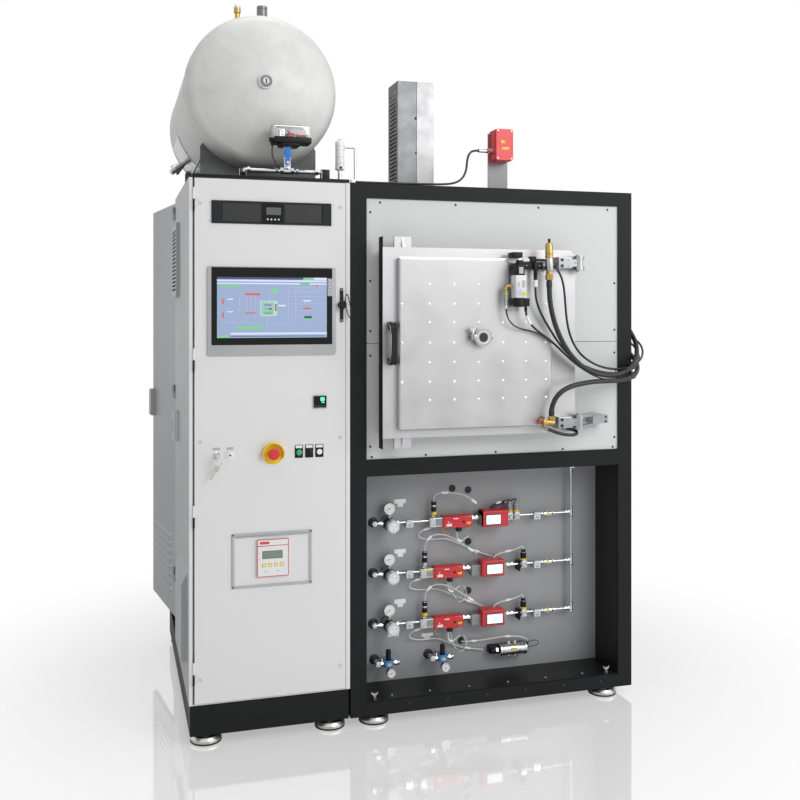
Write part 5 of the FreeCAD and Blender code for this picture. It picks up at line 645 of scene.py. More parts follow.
grey_display = lit("grey_lcd", "#565C60", 0.05)
white_key = worked("white_silicone_key", "#D9DADB", 0.45, grain=1.0)
rack_parts = [
    (rounded((84, 118, -6.2, -4.1, 1963, 2047), 2.0, 0.6), rack_coat),
    (rounded((507, 541, -6.2, -4.1, 1963, 2047), 2.0, 0.6), rack_coat),
    (rounded((124, 268, -4.9, -4.05, 1970, 2040), 1.0, 0.3), perforated),
    (rounded((360, 502, -4.9, -4.05, 1970, 2040), 1.0, 0.3), perforated),
    (rounded((121, 271, -5.4, -4.05, 2041, 2045), 1.0, 0.3), rack_coat),
    (rounded((357, 505, -5.4, -4.05, 2041, 2045), 1.0, 0.3), rack_coat),
    (rounded((276, 356, -8.0, -4.1, 1965, 2045), 3.0, 1.0), rack_coat),
    (rounded((279, 353, -8.8, -7.6, 1968, 2042), 3.0, 0.4), smoked_acrylic),
    (rounded((288, 344, -9.2, -8.6, 1998, 2026), 1.0, 0.2), grey_display)]
for step in range(4):
    rack_parts.append((rounded((290 + step * 14, 297 + step * 14, -9.6, -8.6, 1977, 1984), 3.0,
        0.4), white_key))
for x in (75.4, 551.4):
    for z in (1970, 2041):
        rack_parts.append((cap_screw(x, 0.0, z, radius=2.2, height=1.0), screw_steel))
piece("rack_front", "cabinet_door", rack_parts)

# Aluminium bezel, extruded and brushed along its length, round the black glass of the touch panel.
bezel_alloy = worked("brushed_panel_aluminium", "#A6A7A9", 0.36, grain=0.8, metallic=0.85,
    stretch=(0.03, 1.0, 1.0), depth=0.02, drift=0.04, blotch=200)
dress(bezel_alloy, "touch_panel")
panel_glass = worked("black_panel_glass", "#08090A", 0.12, grain=60, depth=0.002, drift=0.02,
    scatter=0.03, Specular_IOR_Level=0.25)
screen_blue = lit("screen_pale_blue", "#8B9AB8", 0.42)
screen_light = lit("screen_white", "#C6CDE2", 0.40)
screen_faint = lit("screen_faint_line", "#A6B2CF", 0.42)
screen_green = lit("screen_green", "#6DBF7C", 0.40)
screen_dark = lit("screen_slate", "#3E4A66", 0.25)
screen_red = lit("screen_red", "#C95A55", 0.35)
screen_mint = lit("screen_mint", "#A3C9AE", 0.40)
screen_parts = [
    (rounded((82, 545, -6.4, -4.6, 1503, 1797), 4.0, 0.4), panel_glass),
    (rounded((103, 523, -6.9, -6.2, 1530, 1760), 1.0, 0.2), screen_blue)]


def screen_mark(x0, x1, z0, z1, material, proud=0.25):
    """Flat patch of the picture, given in shares of the display's width and height."""
    left, low, width, height = 103, 1530, 420, 230
    return (rounded((left + x0 * width, left + x1 * width, -6.9 - proud, -6.8, low + z0 * height,
        low + z1 * height), 0.8, 0.05, quarter=2), material)


for x0, x1, z0, z1, material in ((0.0, 1.0, 0.93, 0.955, screen_light),
        (0.0, 0.78, 0.965, 1.0, screen_dark), (0.0, 1.0, 0.885, 0.905, screen_light),
        (0.75, 0.84, 0.885, 0.925, screen_green), (0.80, 0.87, 0.96, 0.995, screen_green),
        (0.88, 1.0, 0.965, 1.0, screen_light), (0.12, 1.0, 0.055, 0.085, screen_light),
        (0.0, 0.10, 0.005, 0.045, screen_green), (0.12, 0.98, 0.02, 0.03, screen_dark),
        (0.03, 0.19, 0.83, 0.865, screen_green), (0.17, 0.43, 0.15, 0.19, screen_green),
        (0.385, 0.54, 0.36, 0.61, screen_mint), (0.395, 0.51, 0.375, 0.595, screen_light),
        (0.42, 0.49, 0.53, 0.56, screen_dark), (0.42, 0.49, 0.46, 0.50, screen_dark),
        (0.42, 0.49, 0.39, 0.43, screen_green), (0.485, 0.55, 0.745, 0.80, screen_green),
        (0.25, 0.385, 0.70, 0.735, screen_red), (0.25, 0.34, 0.40, 0.42, screen_red),
        (0.045, 0.06, 0.55, 0.64, screen_red), (0.045, 0.06, 0.33, 0.42, screen_red),
        (0.52, 0.535, 0.44, 0.56, screen_red), (0.09, 0.145, 0.625, 0.645, screen_light),
        (0.09, 0.145, 0.42, 0.44, screen_light), (0.55, 0.62, 0.52, 0.545, screen_light),
        (0.79, 0.86, 0.32, 0.36, screen_dark), (0.79, 0.86, 0.29, 0.315, screen_green),
        (0.78, 0.85, 0.47, 0.50, screen_red), (0.78, 0.85, 0.60, 0.625, screen_light),
        (0.90, 0.915, 0.84, 0.88, screen_red)):
    screen_parts.append(screen_mark(x0, x1, z0, z1, material))
for x0, x1, z in ((0.64, 0.97, 0.83), (0.64, 0.97, 0.765), (0.64, 0.97, 0.68), (0.64, 0.97, 0.56),
        (0.66, 0.97, 0.45), (0.66, 0.97, 0.34), (0.02, 0.36, 0.25), (0.47, 0.66, 0.22)):
    screen_parts.append(screen_mark(x0, x1, z, z + 0.006, screen_faint))
for x, z0, z1 in ((0.20, 0.42, 0.70), (0.26, 0.44, 0.70), (0.30, 0.44, 0.70), (0.34, 0.44, 0.70),
        (0.445, 0.20, 0.36), (0.64, 0.30, 0.83), (0.71, 0.34, 0.83), (0.47, 0.61, 0.74)):
    screen_parts.append(screen_mark(x, x + 0.004, z0, z1, screen_faint))
screen_parts.append((rounded((526.5, 544.6, -7.0, -6.2, 1690, 1757), 1.0, 0.2), white_key))
for step in range(5):
    z = 1743.5 - step * 12.8
    screen_parts += [
        (rounded((529.5, 542, -7.3, -6.9, z, z + 10.8), 2.0, 0.1), panel_glass),
        (rounded((531.3, 540.2, -7.6, -7.2, z + 1.8, z + 9.0), 1.0, 0.1), white_key)]
piece("touch_screen_glass", "cabinet_door", screen_parts)

# Process controller: grey clip-in case, black glossy front with a green digit field and a key row. The
# alarm unit is a white key foil with a red edge, a display and four yellow keys, set in a grey box.
case_grey = worked("grey_moulded_case", "#B4B6B7", 0.45, grain=1.0, depth=0.03)
case_coat = two_tone(worked("grey_instrument_case", "#DADBDB", 0.45, grain=1.0, depth=0.03),
    "#B4B6B7", "X", 466, "GREATER_THAN")
dress(case_coat, "panel_instruments")
foil_white = worked("white_key_foil", "#E9EAEA", 0.35, grain=2.0, depth=0.01, drift=0.02)
foil_red = worked("red_key_foil", "#CF4A45", 0.35, grain=2.0, depth=0.01, drift=0.03)
foil_yellow = worked("yellow_key_foil", "#E5C12B", 0.35, grain=2.0, drift=0.03)
lcd_green = worked("reflective_lcd", "#7E8F86", 0.18, grain=3.0, depth=0.005)
digit_green = lit("green_digits", "#57E6B4", 0.9)
key_black = worked("black_silicone_key", "#2A2B2D", 0.5, grain=1.0)
device_parts = [
    (rounded((472, 522, -7.4, -4.9, 1259, 1303), 2.5, 0.6), smoked_acrylic),
    (rounded((498, 514, -7.8, -7.3, 1284, 1298), 1.0, 0.1), digit_green),
    (rounded((502, 514, -7.8, -7.3, 1277, 1281), 1.0, 0.1), digit_green),
    (rounded((252.6, 374.4, -9.2, -7.9, 620.6, 763.4), 4.5, 0.3), foil_red),
    (rounded((255.6, 371.4, -9.5, -8.0, 623.6, 737), 3.0, 0.2), foil_white),
    (rounded((255.6, 371.4, -9.5, -8.0, 740, 760.4), 3.0, 0.2), foil_white),
    (rounded((263, 300, -9.8, -9.3, 745, 755), 4.0, 0.1), foil_red),
    (rounded((273, 350, -10.2, -9.3, 690, 719), 1.0, 0.3), key_black),
    (rounded((275, 348, -10.5, -9.9, 692, 717), 1.0, 0.1), lcd_green)]
for step in range(4):
    x = 271 + step * 23
    device_parts += [
        (rounded((x, x + 15.5, -10.4, -9.3, 658, 673), 3.0, 0.5), foil_yellow),
        (rounded((x + 4.5, x + 11, -10.7, -10.2, 661.5, 669.5), 2.0, 0.2), foil_white),
        (rounded((475 + step * 11.5, 483 + step * 11.5, -8.2, -7.2, 1262, 1268), 2.0, 0.4),
            key_black)]
for z in (688, 712):
    device_parts.append((turned([(0, 0), (1.6, 0), (1.6, 0.5), (0, 0.9)], (262, -9.4, z), to_front,
        12), foil_red))
for x in (285, 333):
    device_parts.append((turned([(0, 0), (2.2, 0), (2.2, 0.5), (0, 0.9)], (x, -9.4, 641), to_front,
        12), key_black))
piece("instrument_fronts", "cabinet_door", device_parts)

# Narrow grey frame round the alarm unit, with a bright strip along its lower edge and small screws.


def framed(box, border, proud, material):
    """Four rounded bars round a window, mitred by overlap, in the plane of the door."""
    x0, x1, y, z0, z1 = box
    bars = ((x0, x1, z0, z0 + border), (x0, x1, z1 - border, z1), (x0, x0 + border, z0 + 1, z1 - 1),
        (x1 - border, x1, z0 + 1, z1 - 1))
    return [(rounded((a, b, y - proud, y, c, d), 2.0, 1.0), material) for a, b, c, d in bars]


window_parts = framed((158.5, 464.5, 0.0, 582.5, 789.5), 9.6, 4.6, case_grey)
window_parts += [(rounded((172, 451, -4.6, -1.0, 774, 777), 1.0, 0.5), screw_steel)]
for x in (166, 457):
    for z in (590, 782):
        window_parts.append((cap_screw(x, -4.2, z, radius=2.6, height=1.2), screw_steel))
piece("alarm_window_frame", "cabinet_door", window_parts)

# Operator row: key switch, round button, emergency stop and three push buttons in chromed bezels. The
# stop has a yellow half-round shroud; the push buttons sit in black holders with white blank labels.
chrome = worked("bright_chrome_plate", "#D4D6D8", 0.14, grain=2.0, metallic=1.0, depth=0.002,
    drift=0.03, scatter=0.04)
signal_yellow = worked("yellow_moulded_abs", "#F0C808", 0.34, grain=1.0, drift=0.03)
signal_red = worked("red_moulded_abs", "#D8323A", 0.30, grain=1.0, drift=0.04)
signal_green = worked("green_moulded_lens", "#1FB573", 0.22, grain=1.0, depth=0.01, drift=0.03)
signal_white = worked("white_moulded_lens", "#ECEDED", 0.28, grain=1.0, depth=0.01, drift=0.02)
signal_black = worked("black_moulded_cap", "#101011", 0.38, grain=1.0, Specular_IOR_Level=0.25)
dress(chrome, "switch_bezels", "key_switch")
dress(signal_red, "emergency_button")
dress(signal_green, "green_button")
dress(signal_black, "black_button")
dress(signal_white, "white_button", "round_button")
row_z = 1088


def half_shroud(x, z, radius, wall, height, cut):
    """Collar open at its underside: a wall's section is carried round the upper part of a circle."""
    start = math.asin(cut / radius)
    angle = np.linspace(-start, math.pi + start, 49)
    section = np.array([(radius, 0), (radius, height - 1.5), (radius - 1.5, height),
        (radius - wall + 1, height), (radius - wall, height - 1.5), (radius - wall, 0)])
    ring = np.stack([x + section[None, :, 0] * np.cos(angle)[:, None],
        np.broadcast_to(-section[None, :, 1], (49, 6)),
        z + section[None, :, 0] * np.sin(angle)[:, None]], axis=-1)
    ends = [np.repeat(ring[i].mean(axis=0)[None, None], 6, axis=1) for i in (0, -1)]
    return np.concatenate([ends[0], ring, ends[1]])


stop_x = 315
round_x = 152
operator_parts = [
    (half_shroud(stop_x, row_z, 42.4, 5.0, 20.4, 17.4), signal_yellow),
    (turned([(15.2, 1.4), (40.6, 1.4), (41.4, 2.0), (40.6, 2.6), (15.2, 2.6), (15.2, 1.4)],
        (stop_x, 0.4, row_z), to_front, 64), signal_yellow),
    (turned([(11.2, 1.0), (15.4, 1.0), (15.4, 4.4), (14.2, 5.2), (11.2, 5.2), (11.2, 1.0)],
        (stop_x, 0.0, row_z), to_front), signal_black)]
for x in (415, 455, 495):
    low = row_z - 24.5 + 4
    operator_parts += [
        (rounded((x - 15.8, x + 15.8, -2.2, -0.1, low - 0.3, low + 49.3), 2.0, 0.5), signal_black),
        (rounded((x - 13, x + 13, -2.9, -2.0, row_z + 16.5, row_z + 27), 1.0, 0.2), signal_white),
        (turned([(10.9, 1.0), (14.4, 1.0), (14.4, 3.2), (13, 4.0), (10.9, 4.0), (10.9, 1.0)],
            (x, 0.0, row_z), to_front), signal_black)]
operator_parts += [
    (turned([(11, 0.2), (17, 0.2), (17.4, 2.6), (16.2, 3.6), (11, 3.6), (11, 0.2)],
        (round_x, 0.0, row_z), to_front), signal_white),
    (turned([(0, 7.0), (3.6, 7.0), (3.6, 8.0), (0, 8.2)], (round_x, 0.2, row_z), to_front, 20),
        signal_black),
    (rounded((139, 165, -1.2, 0.3, row_z + 21, row_z + 30), 1.0, 0.2), case_grey),
    (rounded((88, 114, -1.2, 0.3, row_z + 21, row_z + 30), 1.0, 0.2), case_grey)]
piece("operator_row_trim", "cabinet_door", operator_parts)

# Key ring with its spare key: a split steel ring through the bow and a flat nickel plated key that
# hangs from it against the door.


def hoop(middle, radius, wire, axis, sides=14, rounds=48):
    """Closed wire ring: a small circle carried round a large one, square to an axis."""
    axis = np.array(axis, float) / np.linalg.norm(axis)
    guide = np.cross(axis, (0.3, 0.2, 0.93))
    guide /= np.linalg.norm(guide)
    other = np.cross(axis, guide)
    turn = np.linspace(0.0, 2.0 * math.pi, rounds + 1)[:, None, None]
    around = np.linspace(0.0, 2.0 * math.pi, sides, endpoint=False)[None, :, None]
    outward = guide * np.cos(turn) + other * np.sin(turn)
    return np.array(middle, float) + outward * (radius
        + wire * np.cos(around)) + axis * wire * np.sin(around)


nickel = worked("nickel_plated_brass", "#C6C4BC", 0.24, grain=0.6, metallic=1.0, depth=0.01,
    drift=0.06, blotch=10)
key_angle = math.radians(28)


def flat_key(x, y, z, angle):
    """Flat key: an outline of bow, neck and toothed shank, given as half widths along its length, and
    turned in the plane of the door."""
    length = np.array([0, 1, 6, 12, 18, 23, 26, 28, 34, 38, 42, 46, 50, 54, 58, 60])
    left = np.array([0.1, 7, 11, 12, 11, 8, 4.2, 4.0, 4.0, 2.6, 4.0, 2.4, 3.8, 2.8, 3.6, 0.2])
    right = np.array([0.1, 7, 11, 12, 11, 8, 4.2, 4.0, 4.0, 4.0, 4.0, 4.0, 4.0, 4.0, 3.0, 0.2])
    across = np.stack([-left, -left, right, right], axis=1)
    depth = np.array([0.0, -2.0, -2.0, 0.0])[None, :].repeat(len(length), axis=0)
    along = length[:, None].repeat(4, axis=1).astype(float)
    u = across * math.cos(angle) - along * math.sin(angle)
    v = -across * math.sin(angle) - along * math.cos(angle)
    return np.stack([x + u, y + depth, z + v], axis=-1)


piece("key_ring", "key", [
    (hoop((103, -34, row_z - 22), 14, 1.1, (0.35, 0.9, 0.1)), nickel),
    (flat_key(103, -30, row_z - 34, key_angle), nickel)])

# Door lock: a long black plate with a knob, and a black keeper cord that hangs beside it in a loop.
dress(signal_black, "lock_knob")
lock_parts = [
    (rounded((576.3, 589.7, -3.6, -0.1, 1588.6, 1721.4), 5.5, 0.8), black_moulding),
    (turned([(10, 3.5), (15.5, 3.5), (15.5, 9.0), (13.5, 10.6), (10, 10.6), (10, 3.5)],
        (583, 0.4, 1655), to_front), signal_black)]
for z in (1596, 1714):
    lock_parts.append((cap_screw(583, -3.5, z, radius=3.2, height=1.4), screw_steel))
piece("lock_plate_trim", "cabinet_door", lock_parts)
keeper_route = [(0.5930, -0.010, 1.666), (0.5955, -0.015, 1.678), (0.5960, -0.020, 1.692),
    (0.5995, -0.022, 1.699), (0.6040, -0.022, 1.692), (0.6090, -0.022, 1.668),
    (0.6150, -0.022, 1.640), (0.6190, -0.021, 1.616), (0.6150, -0.020, 1.604),
    (0.6080, -0.018, 1.608), (0.6030, -0.015, 1.626), (0.5980, -0.011, 1.646)]
keeper_line = route_points("keeper_cord", keeper_route)
keeper_cord = piece("keeper_cord", "cabinet_door",
    [(swept(keeper_line, 0.0019), cable_jacket)], metres=True)

# Furnace frame and its cover sheets
# Welded square steel tube, powder coated black, closed with black sheets at the sides, back and roof and
# with two light grey front sheets that meet at a level seam. Small black screws hold the sheets.
dress(black_coat, "furnace_frame", "outer_panels")
panel_coat = worked("light_grey_panel_coat", "#D1D2D2", 0.40, grain=1.5, depth=0.05, drift=0.02,
    blotch=500)
dress(panel_coat, "front_panels")
blackened_screw = worked("blackened_steel_screw", "#3A3B3D", 0.32, grain=0.5, metallic=0.7,
    depth=0.01)
panel_screws = [(x, 2060) for x in (740, 1056, 1420, 1737)]
panel_screws += [(700, z) for z in (2021, 1750, 1553, 1456, 1098)]
panel_screws += [(1770, z) for z in (1750, 1553, 1456, 1098)]
panel_screws += [(x, 1057) for x in (706, 930, 1230, 1530, 1762)]
screw_parts = []
for x, z in panel_screws:
    screw_parts.append((turned([(0, 0), (4.6, 0), (4.6, 0.8), (3.2, 2.0), (1.7, 2.2), (1.5, 1.0),
        (0, 1.0)], (x, 6.1, z), to_front, sides=18), blackened_screw))
piece("front_panel_screws", "machine", screw_parts)

# Gas bay
# A folded black floor, ceiling and sides carry a mid grey back plate. Wing bolts stand in the floor's
# front corners and button head screws hold its front edge.
# Smooth grey enamel on the back plate, half glossy, so that the fittings throw soft shadows on it.
bay_enamel = worked("mid_grey_bay_enamel", "#999A9C", 0.42, grain=2.0, depth=0.03, drift=0.03,
    blotch=400)
dress(bay_enamel, "gas_panel")
liner_coat = worked("black_liner_coat", "#1B1C1D", 0.34, grain=1.8, depth=0.05, drift=0.08,
    blotch=300, Specular_IOR_Level=0.2)
dress(liner_coat, "gas_bay_liner")
bolt_parts = []
for x in (724, 1744):
    bolt_parts.append((turned([(0, 0), (8.6, 0), (8.6, 7.0), (6.0, 9.0), (4.6, 10), (4.6, 22.6),
        (0, 23)], (x, 30, 96), to_top, sides=24), screw_steel))
    for side in (-1.0, 1.0):
        blade = swept([(x, 30, 106), (x + side * 6, 30, 110), (x + side * 11, 30, 116),
            (x + side * 13, 30, 121)], (4.6, 3.8, 3.6, 2.6), sides=12)
        bolt_parts.append((blade, screw_steel))
for x in (800, 960, 1130, 1300, 1470, 1640):
    bolt_parts += [
        (turned([(0, 0), (5.0, 0), (4.6, 1.6), (2.6, 2.6), (0, 2.8)], (x, 46, 96), to_top,
            sides=18), screw_steel),
        (turned([(0, 0), (5.0, 0), (4.6, 1.6), (2.6, 2.6), (0, 2.8)], (x + 60, 0.1, 72), to_front,
            sides=18), blackened_screw)]
piece("bay_floor_bolts", "machine", bolt_parts)

# Chamber vessel and its door
# Welded stainless plate: a box vessel with a thick flange, and a door plate with a water jacket that is
# plug welded to it in rows. The sheet is cold rolled with a dull finish and slightly cloudy.
vessel_steel = worked("dull_rolled_stainless", "#B9B9BA", 0.42, grain=0.7, metallic=1.0,
    stretch=(0.05, 1.0, 1.0), depth=0.01, drift=0.05, blotch=140, scatter=0.08)
jacket_steel = worked("cloudy_rolled_stainless", "#B6B6B7", 0.44, grain=0.8, metallic=1.0,
    stretch=(1.0, 1.0, 0.06), depth=0.008, drift=0.06, blotch=110, scatter=0.10)
milled_steel = worked("milled_stainless", "#A8A9AB", 0.30, grain=0.5, metallic=1.0,
    stretch=(0.1, 1.0, 1.0), depth=0.008, drift=0.04, blotch=60)
dress(vessel_steel, "chamber_vessel", "door_plate")
dress(jacket_steel, "door_jacket")
dress(milled_steel, "door_hinge_arms", "hinge_brackets", "viewport")
seal_silicone = worked("black_silicone_seal", "#0B0B0C", 0.55, grain=1.0, depth=0.04, drift=0.08,
    Specular_IOR_Level=0.12)
dress(seal_silicone, "door_seal")
dress(black_moulding, "door_handle")

# Plug welds: small bright domes that catch the light. The jacket's upper edge is a rounded seam.
bright_weld = worked("brushed_weld_dome", "#F2F2F2", 0.16, grain=0.6, metallic=1.0, depth=0.004,
    drift=0.02, scatter=0.04)
weld_parts = [(swept([(786, -108.2, 1836), (1000, -108.2, 1836), (1230, -108.2, 1836),
    (1424, -108.2, 1836)], (4.5, 6.2, 6.2, 4.5), sides=16), bright_weld)]
for x in (795, 907, 1008, 1109, 1212, 1311, 1398):
    for z in (1736, 1659, 1587, 1508, 1432, 1357, 1286):
        hidden = (x == 795 and z not in (1659, 1508, 1357)) or (x == 1109 and z == 1508)
        if hidden or (x == 1212 and z > 1640) or (x > 1300 and z > 1700):
            continue
        weld_parts.append((turned([(0, 2.8), (1.8, 2.6), (3.4, 2.0), (4.8, 1.0), (5.8, 0.0),
            (5.8, -0.6), (0, -0.6)], (x, -114.3, z), to_front, sides=24), bright_weld))
piece("jacket_plug_welds", "chamber_door", weld_parts)
# Black strip along the plate's free left edge, over its side, seen end-on beside the door.
piece("door_edge_black_strip", "chamber_door",
    [(rounded((723.6, 727, -84.4, -36, 1098, 1920), 1.2, 0.8, "Z"), seal_silicone)])

# Handle fixings: two stainless socket screws with washers in its sloping feet, and a bright trim strip
# that is clipped along its outer side.
handle_parts = []
for z, slope in ((1580, 0.75), (1434, -0.75)):
    handle_parts.append((turned([(0, 0), (8.5, 0), (8.5, 1.2), (6, 1.6), (6, 6.2), (4.8, 7.0),
        (3.2, 7.0), (3.0, 4.0), (0, 4.0)], (757, -122, z), (0.0, -1.0, slope), sides=24),
        screw_steel))
strip = np.array([(-86, 1426), (-102, 1429), (-122, 1440), (-133, 1452), (-136.5, 1470),
    (-136.9, 1507), (-136.5, 1544), (-133, 1562), (-122, 1574), (-102, 1585), (-86, 1588)], float)
strip_line = np.column_stack([np.full(len(strip), 744.6), strip])
handle_parts.append((swept(strip_line, 1.6, sides=10, side=(1.0, 0.0, 0.0)), milled_steel))
piece("handle_fixings", "chamber_door", handle_parts)

# Sight glass: polished quartz disc in the clamp ring, dark because the hot zone behind it is dark, with
# the ring's two halves, the clamp bolt with its wing nut, and a small hinge pin on the other side.
sight_quartz = worked("dark_sight_quartz", "#2B2D30", 0.06, grain=60, depth=0.001, drift=0.02,
    scatter=0.02)
sight_place = (1118, -130.3, 1529)
sight_parts = [
    (turned([(0, 16.2), (15, 16.2), (21.6, 15.6), (22, 13), (22, 8.0), (0, 8.0)], sight_place,
        to_front, sides=48), sight_quartz),
    (turned([(22.2, 6.0), (26.4, 6.0), (26.4, 15.6), (25.6, 16.9), (23.2, 16.9), (22.2, 15.6),
        (22.2, 6.0)], sight_place, to_front, sides=64), bright_weld),
    (turned([(26.4, 6.0), (28.2, 6.0), (28.2, 11), (26.4, 11), (26.4, 6.0)], sight_place, to_front,
        sides=64), black_moulding),
    (turned([(28.2, 6.0), (35.6, 6.0), (35.8, 7.0), (35.8, 9.6), (34.6, 13.4), (32.6, 15.6),
        (29.6, 15.8), (28.2, 14), (28.2, 6.0)], sight_place, to_front, sides=64), bright_weld),
    (rounded((1068, 1092, -147.4, -130, 1517.4, 1540.6), 5.0, 2.0, "X"), milled_steel),
    (rounded((1148, 1162, -147, -130.4, 1521, 1537), 5.0, 2.0, "Z"), milled_steel),
    (turned([(0, 0), (5.2, 0), (5.2, 18), (4.0, 20), (4.0, 26), (0, 26.4)], (1077, -138.3, 1538),
        to_top, sides=20), screw_steel)]
for side in (-1.0, 1.0):
    blade = [(1077, -138.3, 1556), (1077 + side * 6, -138.3, 1560),
        (1077 + side * 11, -138.3, 1565), (1077 + side * 13, -138.3, 1567)]
    sight_parts.append((swept(blade, (3.6, 3.0, 3.4, 2.2), sides=12), screw_steel))
for z in (1523, 1535):
    sight_parts.append((turned([(0, 0), (3, 0), (3, 1), (0, 1.4)], (1075, -147.3, z), to_front,
        sides=16), blackened_screw))
piece("viewport_clamp", "chamber_door", sight_parts)

# Hinge fixings: socket screws in the clamping blocks, pin heads with their washers above and below the
# eyes, and the two screws of the side arm.
hinge_trim = []
for z in (1826, 1183):
    for rise in (-12, 12):
        hinge_trim += [
            (cap_screw(1460, -134.2, z + rise, radius=6.2, height=2.6), blackened_screw),
            (cap_screw(1492, -134.2, z + rise, radius=5.0, height=1.6), screw_steel)]
piece("hinge_block_screws", "chamber_door", hinge_trim)
pin_trim = []
for z in (1826, 1183):
    for side in (-1.0, 1.0):
        pin_trim.append((turned([(0, 0), (12.5, 0), (12.5, 2.0), (9.0, 2.4), (9.0, 5.0), (8.0, 6.0),
            (0, 6.0)], (1540, -120, z + side * 29.2), (0, 0, side), sides=32), screw_steel))
for rise in (-9.0, 9.0):
    pin_trim.append((cap_screw(1694, -60.2, 1183 + rise, radius=4.6, height=2.0), blackened_screw))
piece("hinge_pin_heads", "machine", pin_trim)

# Instruments on the door's upper right corner
# A vacuum gauge head with its black connector base, a black distribution block with a plug and a socket,
# a brass relief valve with the hose nut below it, and, at the lower corner, the brass hose elbow.
# Turned brass, slightly tarnished in the corners.
brass = worked("turned_brass", "#B4975A", 0.30, grain=0.5, metallic=1.0, depth=0.01, drift=0.10,
    blotch=14)
gauge_white = worked("white_enamelled_gauge", "#DFE0E2", 0.36, grain=1.5, drift=0.02)
label_lilac = worked("pale_lilac_foil", "#C9C3DA", 0.4, grain=1.5, depth=0.01, drift=0.03)
label_lime = worked("lime_foil", "#C6D83A", 0.4, grain=1.5, depth=0.01, drift=0.03)
sleeve_white = worked("white_marker_sleeve", "#EDEEEE", 0.45, grain=1.0, drift=0.02)
gauge_place = (1259, -166.3, 1648)
tail_y = -162.3
valve_x = 1390
union_foot = (1211, -150.3, 1656)
instrument_parts = [
    (rounded((1232, 1279, -119.3, -114.1, 1632, 1864), 1.5, 0.5), milled_steel),
    (turned([(0, 0), (19, 0), (20.6, 2.5), (21, 6), (21, 32), (20, 35), (0, 35)], gauge_place,
        to_top, 48), black_moulding),
    (rounded((1235.4, 1282.6, -188, -140, 1684, 1772), 5.0, 2.0, "Z"), gauge_white),
    (rounded((1240, 1262, -188.4, -187.8, 1692, 1716), 1.0, 0.1), label_lilac),
    (rounded((1262, 1279, -188.7, -187.8, 1690, 1706), 6.0, 0.1), label_lime),
    (rounded((1244, 1252, -188.5, -187.8, 1726, 1744), 1.0, 0.1), case_grey),
    (rounded((1262, 1276, -188.5, -187.8, 1724, 1752), 1.0, 0.1), case_grey),
    (rounded((1241, 1277, -185, -146, 1771, 1812), 6.0, 1.5, "Z"), black_moulding),
    (turned(stepped(13, 16, 11, 20), (1259, -166.3, 1812), to_top, 32), black_moulding),
    (rounded((1237, 1281, -158, -115.4, 1842, 1864), 8.0, 3.0, "Z"), black_moulding),
    (rounded((1249, 1276, -165, -115.5, 1800, 1821), 2.0, 1.0, "Z"), black_moulding),
    (rounded((1250, 1268, -188.6, -184.6, 1778, 1804), 2.0, 0.5), case_grey),
    (rounded((1278, 1302, -173.3, -147.3, 1650, 1682), 3.0, 2.0, "Z"), black_moulding),
    (rounded((1280, 1300, -173.9, -172.6, 1656, 1678), 2.0, 0.4), signal_black),
    (turned([(0, 0), (7, 0), (7, 12), (5.5, 13), (5.5, 22), (7.2, 23), (7.2, 36), (5.6, 38),
        (5.6, 46), (7.4, 47), (7.4, 60), (6, 66), (0, 66)], union_foot, to_top, 28), milled_steel),
    (turned([(5.6, 38), (7.4, 38.4), (7.4, 45.4), (5.6, 46), (5.6, 38)], union_foot, to_top, 28),
        label_lime),
    (nut((1211, -150.3, 1716), to_top, 15, 12), brass),
    (swept([(1211, -150.3, 1714), (1211, -150.3, 1724), (1213, -150.6, 1728), (1218, -151.4, 1730),
        (1228, -153, 1730), (1242, -156, 1730)], 5.4, sides=20), brass),
    (nut((1228, -153.6, 1730), (1, -0.2, 0), 15, 8.0), brass),
    (rounded((1274, 1371, -144.3, -114.1, 1799, 1825), 3.0, 1.5, "X"), black_moulding),
    (rounded((1328, 1348, -156.3, -143, 1793, 1825), 3.0, 1.5, "Z"), black_moulding),
    (turned([(0, 0), (8, 0), (8, 18), (7, 20), (7, 44), (8.2, 46), (8.2, 68), (0, 68)],
        (1338, -146.3, 1728), to_top, 28), black_moulding),
    (turned([(6.0, 0), (8.8, 0.4), (8.8, 27.4), (6.0, 28), (6.0, 0)], (1338, -146.3, 1727), to_top,
        28), sleeve_white),
    (rounded((1318, 1346, -138.3, -120.3, 1825, 1849), 3.0, 1.5, "X"), black_moulding),
    (rounded((1288, 1318, -137, -122, 1826, 1840), 6.0, 2.0, "X"), sleeve_white),
    (turned(drum(13.6, 6), (valve_x, -120.3, 1804), to_back, 32), milled_steel),
    (turned(drum(8.0, 46), (valve_x, -161, 1804), to_back, 28), milled_steel),
    (nut((valve_x, tail_y, 1766), to_top, 27, 22), brass),
    (turned([(0, 0), (12.6, 0), (12.6, 9), (11.4, 10), (11.4, 14), (0, 14)],
        (valve_x, tail_y, 1777), to_top, 32), brass),
    (turned([(0, 0), (15.4, 0), (16, 2), (16, 47), (15, 50), (0, 50)], (valve_x, tail_y, 1791),
        to_top, 40), milled_steel),
    (turned([(0, 0), (15.8, 0), (15.8, 12), (14.6, 13), (14.6, 16), (15.4, 17), (15.4, 46),
        (14.4, 48), (14.4, 54), (11, 60), (0, 60.4)], (valve_x, tail_y, 1842), to_top, 40), brass),
    (turned([(0, 0), (5.0, 0), (5.0, 14), (4.0, 16), (0, 16.2)], (valve_x, tail_y, 1902.6), to_top,
        24), signal_black)]
for x in (1290, 1302, 1358):
    instrument_parts.append((cap_screw(x, -144.2, 1812, radius=2.6, height=0.8), screw_steel))
for step in range(3):
    z = 1850 + step * 12
    instrument_parts.append((hoop((valve_x, tail_y, z), 15.2, 0.9, to_top, sides=8), brass))
for z in (1640, 1856):
    instrument_parts.append((cap_screw(1274, -119.2, z, radius=2.6, height=1.0), screw_steel))
piece("gauge_and_valve", "chamber_door", instrument_parts)

